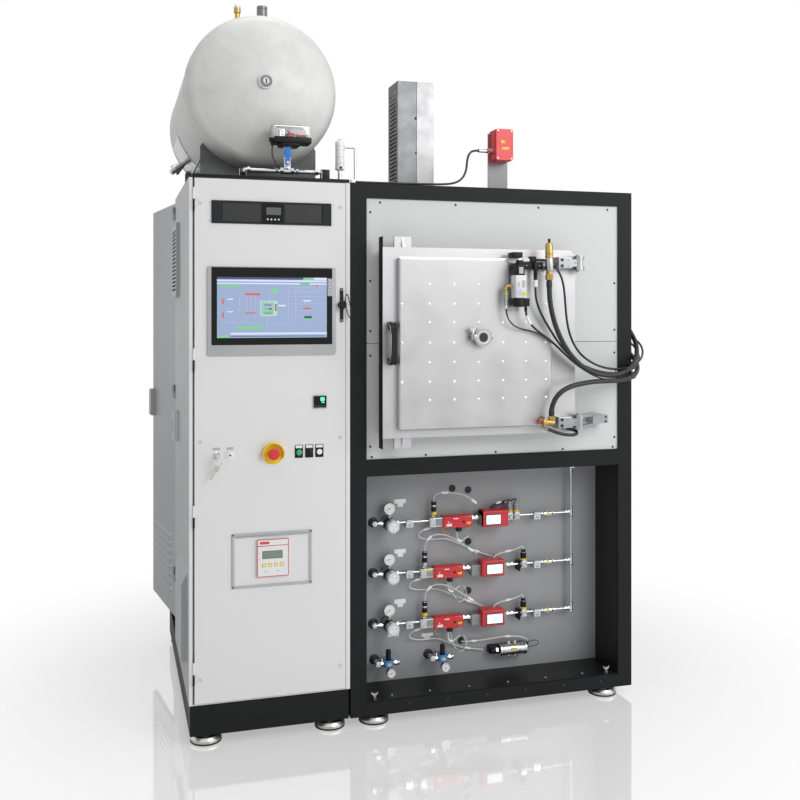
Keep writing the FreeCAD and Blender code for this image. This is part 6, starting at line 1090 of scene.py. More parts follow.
elbow_parts = [
    (turned([(0, 0), (21.6, 0), (22, 1), (22, 3.4), (21, 4.2), (0, 4.2)], (1374, -114.1, 1190),
        to_front, 40), milled_steel),
    (turned(drum(10, 48), (1374, -114.3, 1190), to_front, 28), brass),
    (nut((1374, -128, 1190), to_back, 24, 10), brass),
    (turned([(0, 0), (10, 0), (12, 2), (12, 14), (11, 15), (11, 24), (12.4, 25), (12.4, 46),
        (10, 50), (0, 50)], (1362, tail_y, 1190), to_right, 32), brass),
    (nut((1369, tail_y, 1190), to_right, 25, 10), brass),
    (turned(drum(11, 8), (1400, tail_y, 1196), to_top, 28), brass),
    (nut((1400, tail_y, 1206), to_top, 25, 15), brass),
    (turned([(6, 0), (8.2, 0.6), (8.2, 2.4), (6, 3), (0, 3), (0, 0)], (1356, -152, 1190),
        (-0.7, -0.7, 0), 24), foil_red),
    (turned([(0, 0), (4.0, 0), (4.0, 5.0), (0, 6.0)], (1374, tail_y - 10, 1196), (0, -1, 0.2), 20),
        foil_yellow)]
piece("hose_elbow", "chamber_door", elbow_parts, replaces=("door_instruments",))

# Crimp ferrules and white marker sleeves on the door's lines: each sleeve is a short tube on the line.


def sleeve(line, low, high, radius, ends=0.7):
    """Short tube round a stretch of a line, given by two places along it, rounded at both ends."""
    line = np.asarray(line, float)
    steps = np.linalg.norm(np.diff(line, axis=0), axis=1)
    run = np.concatenate([[0.0], np.cumsum(steps)])
    place = np.linspace(low, high, 9)
    middle = np.stack([np.interp(place, run, line[:, axis]) for axis in range(3)], axis=1)
    share = np.minimum(np.arange(9), np.arange(8, -1, -1)) / 4.0
    swell = radius * (ends + (1 - ends) * np.clip(share * 3.0, 0.0, 1.0))
    return swept(middle, swell, sides=20)


piece("door_line_sleeves", "chamber_door", [
    (sleeve(gauge_line, 0.036, 0.078, 0.0066), sleeve_white),
    (sleeve(upper_line, 0.0005, 0.034, 0.0118), hose_rubber),
    (sleeve(lower_line, 0.0005, 0.030, 0.0118), hose_rubber),
    (sleeve(air_line, 0.0005, 0.016, 0.0044), sleeve_white),
    (sleeve(gauge_line, 0.0005, 0.020, 0.0060), black_moulding)], metres=True)

# Small return hose below the lower hinge: a flat loop of thin black hose with steel ends.
loop_route = [(1398, -128, 1160), (1420, -136, 1150), (1450, -142, 1140), (1490, -143, 1133),
    (1518, -138, 1134), (1530, -128, 1140), (1528, -116, 1148), (1512, -107, 1152),
    (1492, -98, 1156)]
loop_line = route_points("return_hose", np.array(loop_route) / 1000)
return_hose = piece("return_hose", "chamber_door",
    [(swept(loop_line, 0.0065), hose_rubber)], metres=True)
piece("return_hose_ends", "chamber_door", [
    (swept([(1376, -116, 1168), (1384, -122, 1165), (1392, -126, 1162), (1400, -128.5, 1159)],
        (6.0, 6.6, 7.4, 7.4), sides=20), milled_steel),
    (swept([(1496, -100, 1155.4), (1486, -95, 1158), (1478, -88, 1160)], (7.4, 7.0, 6.4), sides=20),
        milled_steel)])

# Gas lines and their fittings
# Bright stainless tube with turned fittings runs from each inlet on the left, through a regulator, a
# transmitter, a red mixer block and a metering head, to valves and the riser. Bent brackets hold it.
pipe_steel = worked("bright_drawn_stainless", "#C8C9CB", 0.22, grain=0.4, metallic=1.0, depth=0.004,
    drift=0.04, blotch=30)
dress(pipe_steel, "gas_pipes")
gas_y = 165
panel_y = 200
regulator_x = 822
riser_x = 1646
row_z = (757, 548, 339)
row_shift = (40, 0.0, 0.0)
dial_white = worked("white_enamelled_dial", "#EFF0F0", 0.30, grain=2.0, depth=0.005, drift=0.01)
knob_white = worked("silver_grey_polyamide", "#DADBDC", 0.36, grain=1.0, depth=0.03, drift=0.03)
grommet_rubber = worked("black_epdm_grommet", "#161617", 0.5, grain=1.0, depth=0.03)
brushed_alloy = worked("turned_aluminium", "#C2C3C5", 0.28, grain=0.5, metallic=1.0, depth=0.006,
    blotch=16)
cast_grey = worked("grey_cast_housing", "#8D9093", 0.42, grain=1.2, metallic=0.4, depth=0.03)
signal_blue = worked("blue_anodised_body", "#2E7FC4", 0.30, grain=0.8)


def dial(x, y, z, radius, angle):
    """Dial gauge seen from the front: turned case with a raised rim, white face, tick marks on a three
    quarter circle, and a needle with its hub."""
    parts = [
        (turned([(0, 0), (radius - 2, 0), (radius, 2.5), (radius + 0.4, 18), (radius + 0.4, 20.6),
            (radius - 1, 22.2), (radius - 2.6, 22.2), (radius - 3.2, 19.6), (0, 19.6)], (x, y, z),
            to_front, sides=48), pipe_steel),
        (turned([(0, 19.4), (radius - 3.0, 19.4), (radius - 3.0, 20.2), (0, 20.2)], (x, y, z),
            to_front, sides=48), dial_white)]
    for step in range(16):
        turn = math.radians(-45 + step * 18)
        reach = radius - 4.6
        inner = reach - (3.4 if step % 3 == 0 else 2.0)
        ends = [(x + r * math.cos(turn), y - 20.3, z + r * math.sin(turn)) for r in (inner, reach)]
        parts.append((swept(ends, 0.42, sides=6), key_black))
    turn = math.radians(angle)
    tip = [(x + r * math.cos(turn), y - 20.6, z + r * math.sin(turn)) for r in (-4.0, radius * 0.35,
        radius - 7)]
    parts += [
        (swept(tip, (0.9, 0.7, 0.3), sides=8), key_black),
        (turned([(0, 20), (2.0, 20), (1.8, 21.2), (0, 21.4)], (x, y, z), to_front, 16), key_black)]
    return parts


def fitting(x, z, length, radius, material, y=gas_y, direction=to_right):
    """Compression fitting: a waisted body between two hexagon nuts, along a line."""
    along = np.array(direction, float)
    start = np.array((x, y, z), float)
    third = length / 3
    body = turned([(radius * 0.62, 0), (radius * 0.8, 0.5), (radius * 0.8, length),
        (radius * 0.62, length)], tuple(start), direction)
    return [(body, material), (nut(tuple(start + along * third * 0.6), direction, radius * 1.75,
        third), material), (nut(tuple(start + along * (length - third * 0.6)), direction,
        radius * 1.75, third), material)]


regulator_parts = []
for number, z in enumerate(row_z):
    middle = z - 3.0
    regulator_parts += [
        (turned([(0, 0), (28.6, 0), (29.2, 1), (29.2, 29), (27, 31), (27, 33), (29, 34), (29, 37),
            (25.2, 43), (21.4, 50), (19.4, 61.8), (0, 61.8)], (regulator_x, panel_y, middle),
            to_front, sides=56), brushed_alloy),
        (turned([(20.8, 45), (25.4, 45), (25.4, 57), (23.8, 60), (20.8, 60), (20.8, 45)],
            (regulator_x, panel_y, middle), to_front, sides=56), black_moulding)]
    regulator_parts += dial(regulator_x, 175, z + 61, 25, (205, 190, 215)[number])
    regulator_parts += [
        (turned(drum(4.6, 14), (regulator_x, 165, z + 25), to_top, 20), pipe_steel),
        (nut((regulator_x, 165, z + 32), to_top, 14, 8.0), pipe_steel)]
    for side in (-1.0, 1.0):
        regulator_parts += [
            (turned(stepped(9, 10, 7, 12), (regulator_x + side * 27, gas_y, z), (side, 0, 0), 24),
                pipe_steel),
            (nut((regulator_x + side * 36, gas_y, z), to_right, 17, 9.0), pipe_steel)]
    regulator_parts += [
        (turned([(9, 0), (21, 0), (21, 1.5), (17, 4.2), (12, 5), (9, 5), (9, 0)], (762, panel_y, z),
            to_front, 40), grommet_rubber),
        (nut((762, gas_y + 4, z), to_back, 22, 12), pipe_steel)]
    regulator_parts += fitting(775, z, 18, 8.5, pipe_steel)
    regulator_parts += [
        (rounded((854, 904, panel_y - 1.8, panel_y + 0.2, z + 72, z + 90), 1.5, 0.4), sleeve_white),
        (rounded((868, 892, panel_y - 1.6, panel_y + 0.2, z + 58, z + 73), 1.5, 0.4), sleeve_white)]
regulator_parts += [
    (rounded((826, 874, panel_y - 1.8, panel_y + 0.2, 276, 288), 1.5, 0.4), sleeve_white),
    (rounded((974, 1024, panel_y - 1.8, panel_y + 0.2, 264, 277), 1.5, 0.4), sleeve_white),
    (rounded((984, 1012, panel_y - 1.8, panel_y + 0.2, 254, 263), 1.5, 0.4), sleeve_white)]

# Two small filter regulators below the rows: blue bodies, a white dial in front, a black cap knob above,
# steel inlets through black grommets on their left.
for x, angle in ((812, 200), (1046, 250)):
    middle = 190
    regulator_parts += dial(x + 4.0, 126.4, 158, 19.2, angle)
    regulator_parts += [
        (rounded((x - 20.2, x + 20.2, 122.8, 157.2, 176.8, 203), 8.0, 2.0, "Z"), signal_blue),
        (rounded((x - 3, x + 11, 124, 142, 151, 178), 3.0, 1.0, "Z"), signal_blue),
        (rounded((x - 8, x + 8, 121.6, 123.6, 182, 194), 2.0, 0.5), foil_yellow),
        (rounded((x - 12, x + 12, 156, 200, 182, 198), 2.0, 0.5), milled_steel),
        (turned(stepped(11.4, 3, 8.4, 4), (x, 140, 200), to_top, 32), black_moulding),
        (turned(drum(8.2, 88), (x - 44, 140, middle), to_right, 24), pipe_steel),
        (nut((x - 29, 140, middle), to_right, 19, 10), pipe_steel),
        (nut((x + 30, 140, middle), to_right, 19, 12), pipe_steel),
        (turned([(0, 0), (9.4, 0), (10, 1), (10, 9), (8.6, 10), (0, 10)], (x + 36, 140, middle),
            to_right, 28), brushed_alloy),
        (rounded((x - 54.5, x - 33.5, 129.5, 150.5, 179.5, 200.5), 4.0, 2.0), pipe_steel),
        (turned(drum(9.2, 50), (x - 44, 150, middle), to_back, 24), pipe_steel),
        (nut((x - 44, 162, middle), to_back, 21, 9.0), pipe_steel),
        (turned([(9.4, 0), (21, 0), (21, 1.5), (17, 4.2), (12, 5), (9.4, 5), (9.4, 0)],
            (x - 44, panel_y, middle), to_front, 40), grommet_rubber),
        (turned([(0, 0), (5, 0), (5, 6), (3, 9), (3, 14), (0, 15)], (x - 30, 132, 202), to_top, 20),
            pipe_steel)]
piece("regulators_and_filters", "machine", regulator_parts,
    replaces=("gas_regulators",))

# Hand knobs: fluted, silver grey on the regulators, black on the filters.
dress(knob_white, "regulator_knob_1", "regulator_knob_2", "regulator_knob_3")
dress(black_moulding, "filter_knob_1", "filter_knob_2")
for number, z in enumerate(row_z, start=1):
    hub_parts = [(turned([(0, 0), (15.5, 0), (15.5, 1.0), (14, 1.4), (13, 0.6), (0, 0.6)],
        (regulator_x, 95.8, z - 3.0), to_front, 40), sleeve_white)]
    for turn in (20, 140, 260):
        reach = [(regulator_x + r * math.cos(math.radians(turn)), 95.2,
            z - 3 + r * math.sin(math.radians(turn))) for r in (5.0, 12)]
        hub_parts.append((swept(reach, (0.8, 0.8), sides=8), key_black))
    piece(f"regulator_cap_{number}", f"regulator_{number}", hub_parts)

# Mixers, meters, solenoids and check valves along each row. Mixers and meter heads have a glossy red
# enamel, the meters carry a pale display.
red_enamel = worked("glossy_red_enamel", "#CC2A30", 0.26, grain=1.5, depth=0.015, drift=0.04)
pale_display = lit("pale_display", "#E9EEFA", 0.55)
display_rim = worked("slate_display_rim", "#3C4150", 0.3, grain=1.5, depth=0.01)
row_parts = []
trim_parts = []
for number, (z, shift) in enumerate(zip(row_z, row_shift)):
    left = 1012 + shift
    right = left + 128
    sensor = left - 36
    row_parts += [
        (rounded((left - 0.5, right + 0.5, 144.6, 185.4, z - 34.4, z + 18.4), 8.0, 2.5, "X"),
            red_enamel),
        (rounded((left + 6, right - 34, 143.6, 150, z - 2, z + 15), 3.0, 0.8), red_enamel),
        (rounded((left + 30, right - 30, 185, 200, z - 26, z + 10), 2.0, 1.0), cast_grey),
        (turned(stepped(4.6, 2.0, 3.6, 3.0), (left + 90, 144.8, z - 9), to_front, 28),
            signal_black),
        (rounded((left + 104, left + 122, 143.9, 145.2, z - 19, z - 10), 1.0, 0.2), foil_yellow),
        (rounded((left + 44, left + 66, 143.1, 144.2, z + 4, z + 8), 1.0, 0.2), sleeve_white),
        (rounded((left + 14, left + 38, 143.9, 145.2, z - 25, z - 14), 1.0, 0.2), foil_white),
        (rounded((left + 20, left + 26, 143.6, 145.2, z - 9, z - 5), 1.0, 0.2), foil_white),
        (rounded((left + 62, left + 84, 150, 172, z - 50, z - 33), 4.0, 1.5, "Z"), black_moulding)]
    for x in (left + 10, left + 50, right - 12):
        for rise in (-28, 11):
            row_parts.append((cap_screw(x, 144.8, z + rise, radius=2.4, height=1.2), screw_steel))
    meter = 1177 + shift
    width = 160 - shift
    head_left = meter + width * 0.25
    head_right = meter + width * 0.88
    if number == 0:
        head_left, head_right = meter + 4.0, meter + width - 2.0
        row_parts.append((rounded((head_left, head_left + 12, 122.5, 180.6, z - 30, z + 34.4), 4.0,
            2.0, "X"), red_enamel))
    row_parts += [
        (rounded((meter - 0.3, meter + width + 0.3, 143.8, 186.2, z - 32.3, z + 14.3), 4.0, 1.5,
            "X"), cast_grey),
        (rounded((head_left, head_right, 122.6, 180.4, z - 34.4, z + 34.4), 6.0, 2.5, "X"),
            red_enamel),
        (rounded((meter + 20, meter + width - 20, 186, 200, z - 20, z + 8), 2.0, 1.0), cast_grey)]
    window = (head_left + 14, head_left + 78) if number == 0 else (head_left + 22, head_right - 10)
    row_parts += [
        (rounded((window[0] - 4, window[1] + 4, 121.8, 123.2, z - 27, z + 21), 3.0, 0.4),
            display_rim),
        (rounded((window[0], window[1], 121.2, 122.4, z - 22, z + 16), 2.0, 0.2), pale_display)]
    trim_parts += fitting(right + 1.0, z, 30, 12, pipe_steel)
    trim_parts += [(turned(drum(14, 5), (right + 30, gas_y, z), to_right, 32), pipe_steel)]
    trim_parts += fitting(meter + width + 1.0, z, 14 if number == 0 else 34, 10, pipe_steel)
    # Transmitter: a black can above a yellow collar on a hexagon, let into the steel block.
    trim_parts += [
        (rounded((sensor - 22.4, left + 0.4, 150.6, 179.4, z - 24.4, z + 12.4), 3.0, 1.0, "X"),
            brushed_alloy),
        (rounded((sensor - 20, sensor - 2, 148, 151, z - 18, z + 6), 9.0, 1.0), brushed_alloy),
        (rounded((sensor + 6, sensor + 32, 148.6, 151, z - 20, z + 8), 3.0, 1.0), cast_grey),
        (nut((sensor, gas_y, z + 18), to_top, 20, 9.0), pipe_steel),
        (turned([(0, 0), (10, 0), (11.5, 1), (11.5, 14), (10, 15), (0, 15)],
            (sensor, gas_y, z + 23), to_top, 32), foil_yellow if number != 1 else brushed_alloy),
        (turned([(0, 0), (11.4, 0), (11.4, 20), (9.6, 22), (9.6, 26), (11.4, 28), (11.4, 42),
            (8, 45), (0, 45)], (sensor, gas_y, z + 37.6), to_top, 32), signal_black)]
    if number == 1:
        trim_parts.append((rounded((sensor + 2, sensor + 26, 148.2, 150.8, z + 2, z + 10), 1.0,
            0.3), foil_yellow))
    for x in ((1357, 1388) if number == 0 else (1421,)):
        trim_parts += [
            (turned([(0, 0), (12.4, 0), (12.4, 34), (10, 37), (10, 47.6), (0, 48.2)],
                (x, gas_y, z + 14), to_top, 32), cast_grey if number == 0 else signal_black),
            (turned([(12, 0), (12.9, 0.3), (12.9, 8.7), (12, 9), (12, 0)], (x, gas_y, z + 15),
                to_top, 32), foil_yellow),
            (rounded((x - 12.4, x + 12.4, 152.6, 190, z - 16.4, z + 13.6), 3.0, 1.5, "Z"),
                brushed_alloy),
            (turned([(0, 0), (9, 0), (9, 4), (7, 6), (3, 6.5), (2.6, 5.0), (0, 5.0)],
                (x, 152.8, z - 4.0), to_front, 28), pipe_steel)]
    # Check valve with its yellow band, fittings at the tees, and the brackets' bolts.
    trim_parts.append((turned([(9.9, 0), (10.5, 0.3), (10.5, 9.7), (9.9, 10), (9.9, 0)],
        (1527, gas_y, z), to_right, 28), foil_yellow))
    trim_parts += fitting(1506, z, 12, 8.5, pipe_steel) + fitting(1549, z, 12, 8.5, pipe_steel)
    trim_parts += fitting(1616, z, 22, 8.5, pipe_steel)
    for x in (908, 1481):
        trim_parts.append((cap_screw(x, 152, z - 12, radius=5.4, height=3.2), screw_steel))
    for rise in (-24, 12):
        if z + rise > 330:
            trim_parts += fitting(riser_x, z + rise, 14, 9.0, pipe_steel, direction=to_top)
    if number > 0:
        trim_parts.append((rounded((1398, 1401, 150, 200, z - 30, z + 10), 2.0, 0.5, "X"),
            black_moulding))
trim_parts += fitting(riser_x, 930, 18, 9.0, pipe_steel, direction=to_top)
piece("mixers_and_meters", "machine", row_parts, replaces=("flow_controllers",))

# Shut-off: satin silver round actuator with end caps and two port stubs above and below, on a base with
# black end blocks.
shutoff_y = 161
shutoff_z = 188
trim_parts += [
    (rounded((1267.6, 1446.4, 167.6, 200, 170.6, 205.4), 6.0, 2.0, "X"), black_moulding),
    (turned([(0, 0), (23.2, 0), (23.6, 1), (23.6, 108), (23.2, 109), (0, 109)],
        (1314, shutoff_y, shutoff_z), to_right, 56), brushed_alloy),
    (turned([(0, 0), (25.4, 0), (26.4, 1), (26.4, 7.6), (25, 9), (0, 9)],
        (1307.6, shutoff_y, shutoff_z), to_right, 56), brushed_alloy),
    (turned([(0, 0), (25, 0), (26.4, 1.4), (26.4, 8), (25.4, 9), (18, 9), (17, 8), (0, 8)],
        (1419.6, shutoff_y, shutoff_z), to_right, 56), brushed_alloy),
    (turned(drum(10.4, 42), (1272, shutoff_y, shutoff_z), to_right, 32), signal_black),
    (nut((1296, shutoff_y, shutoff_z), to_right, 24, 12), pipe_steel),
    (rounded((1352, 1382, 136.4, 139, 190, 200), 2.0, 0.3), foil_yellow),
    (rounded((1388, 1402, 136.4, 139, 182, 188), 2.0, 0.3), display_rim)]
for x in (1352, 1380):
    for side in (-1.0, 1.0):
        trim_parts += [
            (turned(stepped(6.4, 10, 5, 12), (x, shutoff_y, shutoff_z + side * 22.6), (0, 0, side),
                24), pipe_steel),
            (nut((x, shutoff_y, shutoff_z + side * 29), to_top, 15, 6.0), pipe_steel)]
piece("row_fittings", "machine", trim_parts)

# Loose wires and leads of the gas panel
# White PVC leads run behind the rows from head to valve, each with a white marker sleeve; thin green and
# yellow earth wires hang in loops under the mixers. All of them are cut to length and lie free.
earth_green = worked("green_pvc_wire", "#4F9C6B", 0.40, grain=0.6, depth=0.01)
earth_yellow = worked("yellow_pvc_wire", "#C9A63A", 0.40, grain=0.6, depth=0.01)
white_lead = worked("white_pvc_lead", "#D6D7D8", 0.42, grain=0.8, drift=0.03)


def wire(name, route, diameter, finish, slot, marks=()):
    """Free lead on the machine along a smooth line, in millimetres, with sleeves at shares of its run."""
    line = route_points(name, np.array(route, float) / 1000)
    length = float(np.linalg.norm(np.diff(line, axis=0), axis=1).sum())
    made = piece(name, "machine", [(swept(line, diameter / 2000, sides=12), finish)],
        metres=True)
    for share in marks:
        marker = sleeve(line, share * length - 0.013, share * length + 0.013,
            diameter / 2000 + 0.0024)
        row_sleeves.append((marker, sleeve_white))
    return line


row_sleeves = []
for number, (line, places) in enumerate(zip(sensor_leads,
        ((0.30, 0.93), (0.20, 0.88), (0.20, 0.88)))):
    route = np.array([[point.co[0], point.co[1], point.co[2]]
        for point in line.data.splines[0].points])
    smooth = route_points(f"sleeve_line_{number}", route - corner)
    run = float(np.linalg.norm(np.diff(smooth, axis=0), axis=1).sum())
    for share in places:
        row_sleeves.append((sleeve(smooth, share * run - 0.014, share * run + 0.014, 0.0058),
            sleeve_white))
for number, (z, shift) in enumerate(zip(row_z, row_shift)):
    left = 1012 + shift
    low = z - 34
    wire(f"return_lead_{number + 1}", [(left - 22, 168, low + 6), (left - 60, 172, low + 2),
        (left - 98, 178, low - 14), (left - 96, 184, low - 40), (left - 40, 188, low - 52),
        (left + 26, 188, low - 48), (left + 80, 188, low - 74), (left + 130, 190, low - 98),
        (left + 196, 190, low - 128 if number < 2 else low - 112),
        (left + 232, 184, low - 138 if number < 2 else low - 116)], 5.0, white_lead, "lead_grey",
        (0.10, 0.84))
    wire(f"earth_loop_{number + 1}", [(left + 70, 160, z - 49), (left + 70, 158, z - 72),
        (left + 78, 152, z - 104), (left + 100, 148, z - 132), (left + 128, 150, z - 126),
        (left + 142, 158, z - 100), (left + 134, 168, z - 78)], 3.2, earth_green, "lead_grey")
    if number > 0:
        wire(f"second_loop_{number + 1}", [(left + 76, 162, z - 49), (left + 78, 158, z - 78),
            (left + 90, 154, z - 112), (left + 112, 152, z - 140), (left + 142, 154, z - 128),
            (left + 152, 162, z - 96), (left + 138, 172, z - 76)], 3.2, white_lead, "lead_grey")
    wire(f"earth_lead_{number + 1}", [(left - 8, 152, z - 22), (left + 2, 150, z - 40),
        (left + 14, 154, z - 54), (left + 30, 168, z - 62), (left + 40, 184, z - 66)], 2.4,
        earth_yellow, "lead_grey")
    wire(f"head_lead_{number + 1}", [(left + 66, 161, z - 49), (left + 64, 157, z - 66),
        (left + 66, 154, z - 84), (left + 80, 156, z - 94), (left + 106, 168, z - 84),
        (left + 126, 182, z - 78)], 5.0, white_lead, "lead_grey", (0.42,))
    if number > 0:
        wire(f"valve_lead_{number + 1}", [(1282, 160, z + 34), (1290, 162, z + 44),
            (1312, 168, z + 50), (1346, 174, z + 54), (1384, 172, z + 60), (1404, 168, z + 70),
            (1416, 165, z + 74), (1421, 165, z + 68), (1421, 165, z + 61)], 5.0, white_lead,
            "lead_grey", (0.5,))
wire("outlet_lead_1", [(1268, 165, 791), (1280, 166, 806), (1304, 170, 814), (1332, 172, 818),
    (1352, 168, 824), (1357, 165, 828), (1357, 165, 818)], 5.0, cable_jacket, "cable_black",
    (0.45,))
wire("outlet_lead_2", [(1280, 178, 788), (1296, 180, 800), (1326, 182, 808), (1362, 180, 816),
    (1382, 170, 826), (1388, 165, 828), (1388, 165, 818)], 5.0, cable_jacket, "cable_black",
    (0.62,))
wire("shutoff_lead_1", [(1146, 186, 232), (1180, 186, 228), (1226, 186, 229), (1270, 184, 231),
    (1300, 180, 236), (1346, 172, 240), (1396, 166, 238), (1432, 172, 226), (1448, 182, 212)], 5.0,
    white_lead, "lead_grey", (0.18, 0.66))
wire("shutoff_loop", [(1446, 176, 204), (1468, 170, 214), (1492, 166, 210), (1494, 168, 194),
    (1470, 174, 186), (1446, 178, 182)], 3.0, cable_jacket, "cable_black")
piece("lead_sleeves", "machine", row_sleeves, metres=True)
# Rubber bushings where the leads pass through the back plate.
bushing_parts = []
for x, z in ((1182, 870), (1182, 650), (1182, 441), (1150, 232), (1110, 880)):
    bushing_parts.append((turned([(0, 0), (15, 0), (15, 1.5), (12, 4.5), (6, 5), (5, 2), (0, 2)],
        (x, panel_y, z), to_front, 36), grommet_rubber))
piece("lead_bushings", "machine", bushing_parts)

# Roof: gas tank, pipework, exhaust torch and alarm box
# The tank is rolled and welded stainless with dished ends, on two plate saddles. Its pickled surface is
# softly cloudy. A steel stay, a curved wear plate and a drain socket sit low on its left side.


def clouded(name, light, dark, size, roughness, metallic=1.0):
    """Metal whose tone changes in soft clouds of a given size in millimetres, from light to dark."""
    material = worked(name, light, roughness, grain=0.8, metallic=metallic, depth=0.006, drift=0.03,
        blotch=60, scatter=0.08)
    tree = material.node_tree
    where = add(tree, "TexCoord").outputs["Object"]
    cloud = add(tree, "TexNoise", {"Vector": where, "Scale": 1000 / size, "Detail": 6.0,
        "Roughness": 0.66, "Distortion": 0.3})
    share = add(tree, "MapRange", {"Value": cloud.outputs["Fac"], "From Min": 0.42,
        "From Max": 0.70})
    return tinted(material, share, dark)


tank_steel = clouded("pickled_stainless_painted_saddle_shadow", "#D4D4D2", "#CACAC8", 90, 0.60, metallic=0.30)
# What stands out past the drum, such as the saddles and sockets, is painted a dark grey: painted shadow
# between the tank and the roof.
tank_x = 300
tank_z = 2510
tree = tank_steel.node_tree
where = add(tree, "TexCoord").outputs["Object"]
spoke = add(tree, "VectorMath", {0: where, 1: corner + np.array([tank_x, 0.0, tank_z]) / 1000},
    operation="SUBTRACT")
spoke = add(tree, "VectorMath", {0: spoke.outputs[0], 1: (1.0, 0.0, 1.0)}, operation="MULTIPLY")
reach_out = add(tree, "VectorMath", {0: spoke.outputs[0]}, operation="LENGTH")
outside = add(tree, "Math", {0: reach_out.outputs["Value"], 1: 0.3046}, operation="GREATER_THAN")
tinted(tank_steel, outside, "#6A6B6C")
dress(tank_steel, "gas_tank")
dress(pipe_steel, "roof_pipework")

# Weld beads round the drum and its sockets, the wear plate, the drain socket with its stay rod, and the
# slotted plug of the front boss.
weld_bead = clouded("ground_weld_bead", "#C4C4C2", "#9A9A97", 20, 0.40)
dark_fitting = worked("dark_zinc_fitting", "#77797B", 0.36, grain=0.6, metallic=0.9, depth=0.01,
    drift=0.06)


def curved_plate(axis_x, axis_z, turn, low, high, inner, thick, soft):
    """Plate bent round a drum: a flat section, square to the drum's length, carried round an arc."""
    section = np.array([(low, inner), (low, inner + thick - soft), (low + soft, inner + thick),
        (high - soft, inner + thick), (high, inner + thick - soft), (high, inner)], float)
    radius = section[None, :, 1]
    ring = np.stack([axis_x + radius * np.cos(turn)[:, None],
        np.broadcast_to(section[None, :, 0], (len(turn), 6)),
        axis_z + radius * np.sin(turn)[:, None]], axis=-1)
    ends = [np.repeat(ring[i].mean(axis=0)[None, None], 6, axis=1) for i in (0, -1)]
    return np.concatenate([ends[0], ring, ends[1]])


tank_parts = [(curved_plate(tank_x, tank_z, np.radians(np.linspace(198, 236, 33)), 762, 1088, 302.6,
    4.6, 1.2), milled_steel)]
for y in (236, 1129):
    tank_parts.append((hoop((tank_x, y, tank_z), 302.6, 2.4, to_back, sides=10, rounds=128),
        weld_bead))
turn = math.radians(217)
outward = np.array([math.cos(turn), 0.0, math.sin(turn)])
socket = np.array([tank_x, 955, tank_z]) + outward * 302
tank_parts += [
    (turned([(0, 0), (9, 0), (11, 14), (25, 58), (26, 62), (26, 70), (12, 72), (13, 76), (14, 82),
        (10, 88), (0, 90)], socket, outward, 36), brushed_alloy),
    (swept([(9, 5, 2136), (40, 150, 2194), (70, 290, 2250), (91, 392, 2291)], (5.0, 4.2, 4.0, 3.6),
        sides=12), brushed_alloy),
    (turned(stepped(9, 5, 6, 7), (92, 396, 2296), (-0.7, -0.3, -0.6), 20), blackened_screw),
    (turned([(0, 0), (21, 0), (23.4, 1.4), (23.4, 7.0), (21.6, 8.4), (15, 8.4), (13.6, 7.0),
        (0, 7.0)], (300, 78, 2526), to_front, 48), dark_fitting),
    (rounded((297.4, 302.6, 66, 71.6, 2517, 2535), 1.5, 0.8), blackened_screw),
    (turned(stepped(13, 2.0, 11.6, 3.0), (300, 71.6, 2526), to_front, 32), weld_bead),
    (hoop((300, 88, 2526), 25.4, 3.2, to_back, sides=12), weld_bead)]
for x in (231, 335):
    tank_parts.append((hoop((x, 420, 2807), 20.6, 3.0, to_top, sides=10), weld_bead))
piece("tank_fittings_and_welds", "machine", tank_parts)

# On top a relief valve of turned brass and a threaded steel socket with its plug.
top_parts = [
    (nut((231, 420, 2846), to_top, 31, 18), brass),
    (turned([(0, 0), (16.2, 0), (16.2, 22), (10.4, 27), (10.4, 46), (14.4, 50), (14.4, 70),
        (11, 72), (11, 80), (8.0, 85), (0, 85.6)], (231, 420, 2835), to_top, 40), brass),
    (nut((231, 420, 2893), to_top, 25, 12), brass),
    (nut((335, 420, 2852), to_top, 42, 26), dark_fitting),
    (turned([(0, 0), (22.4, 0), (22.4, 68), (21.6, 69), (21.6, 72), (22.4, 73), (22.4, 83),
        (20, 85), (16, 85), (15, 82), (0, 82)], (335, 420, 2835), to_top, 40), dark_fitting)]
piece("tank_top_fittings", "machine", top_parts)

# Black folded rim along the front edge of the cabinet roof.
piece("roof_rim", "machine", [(rounded((1.0, 616, 3.4, 9.0, 2132.6, 2146), 1.0, 0.6,
    "X"), black_coat)])

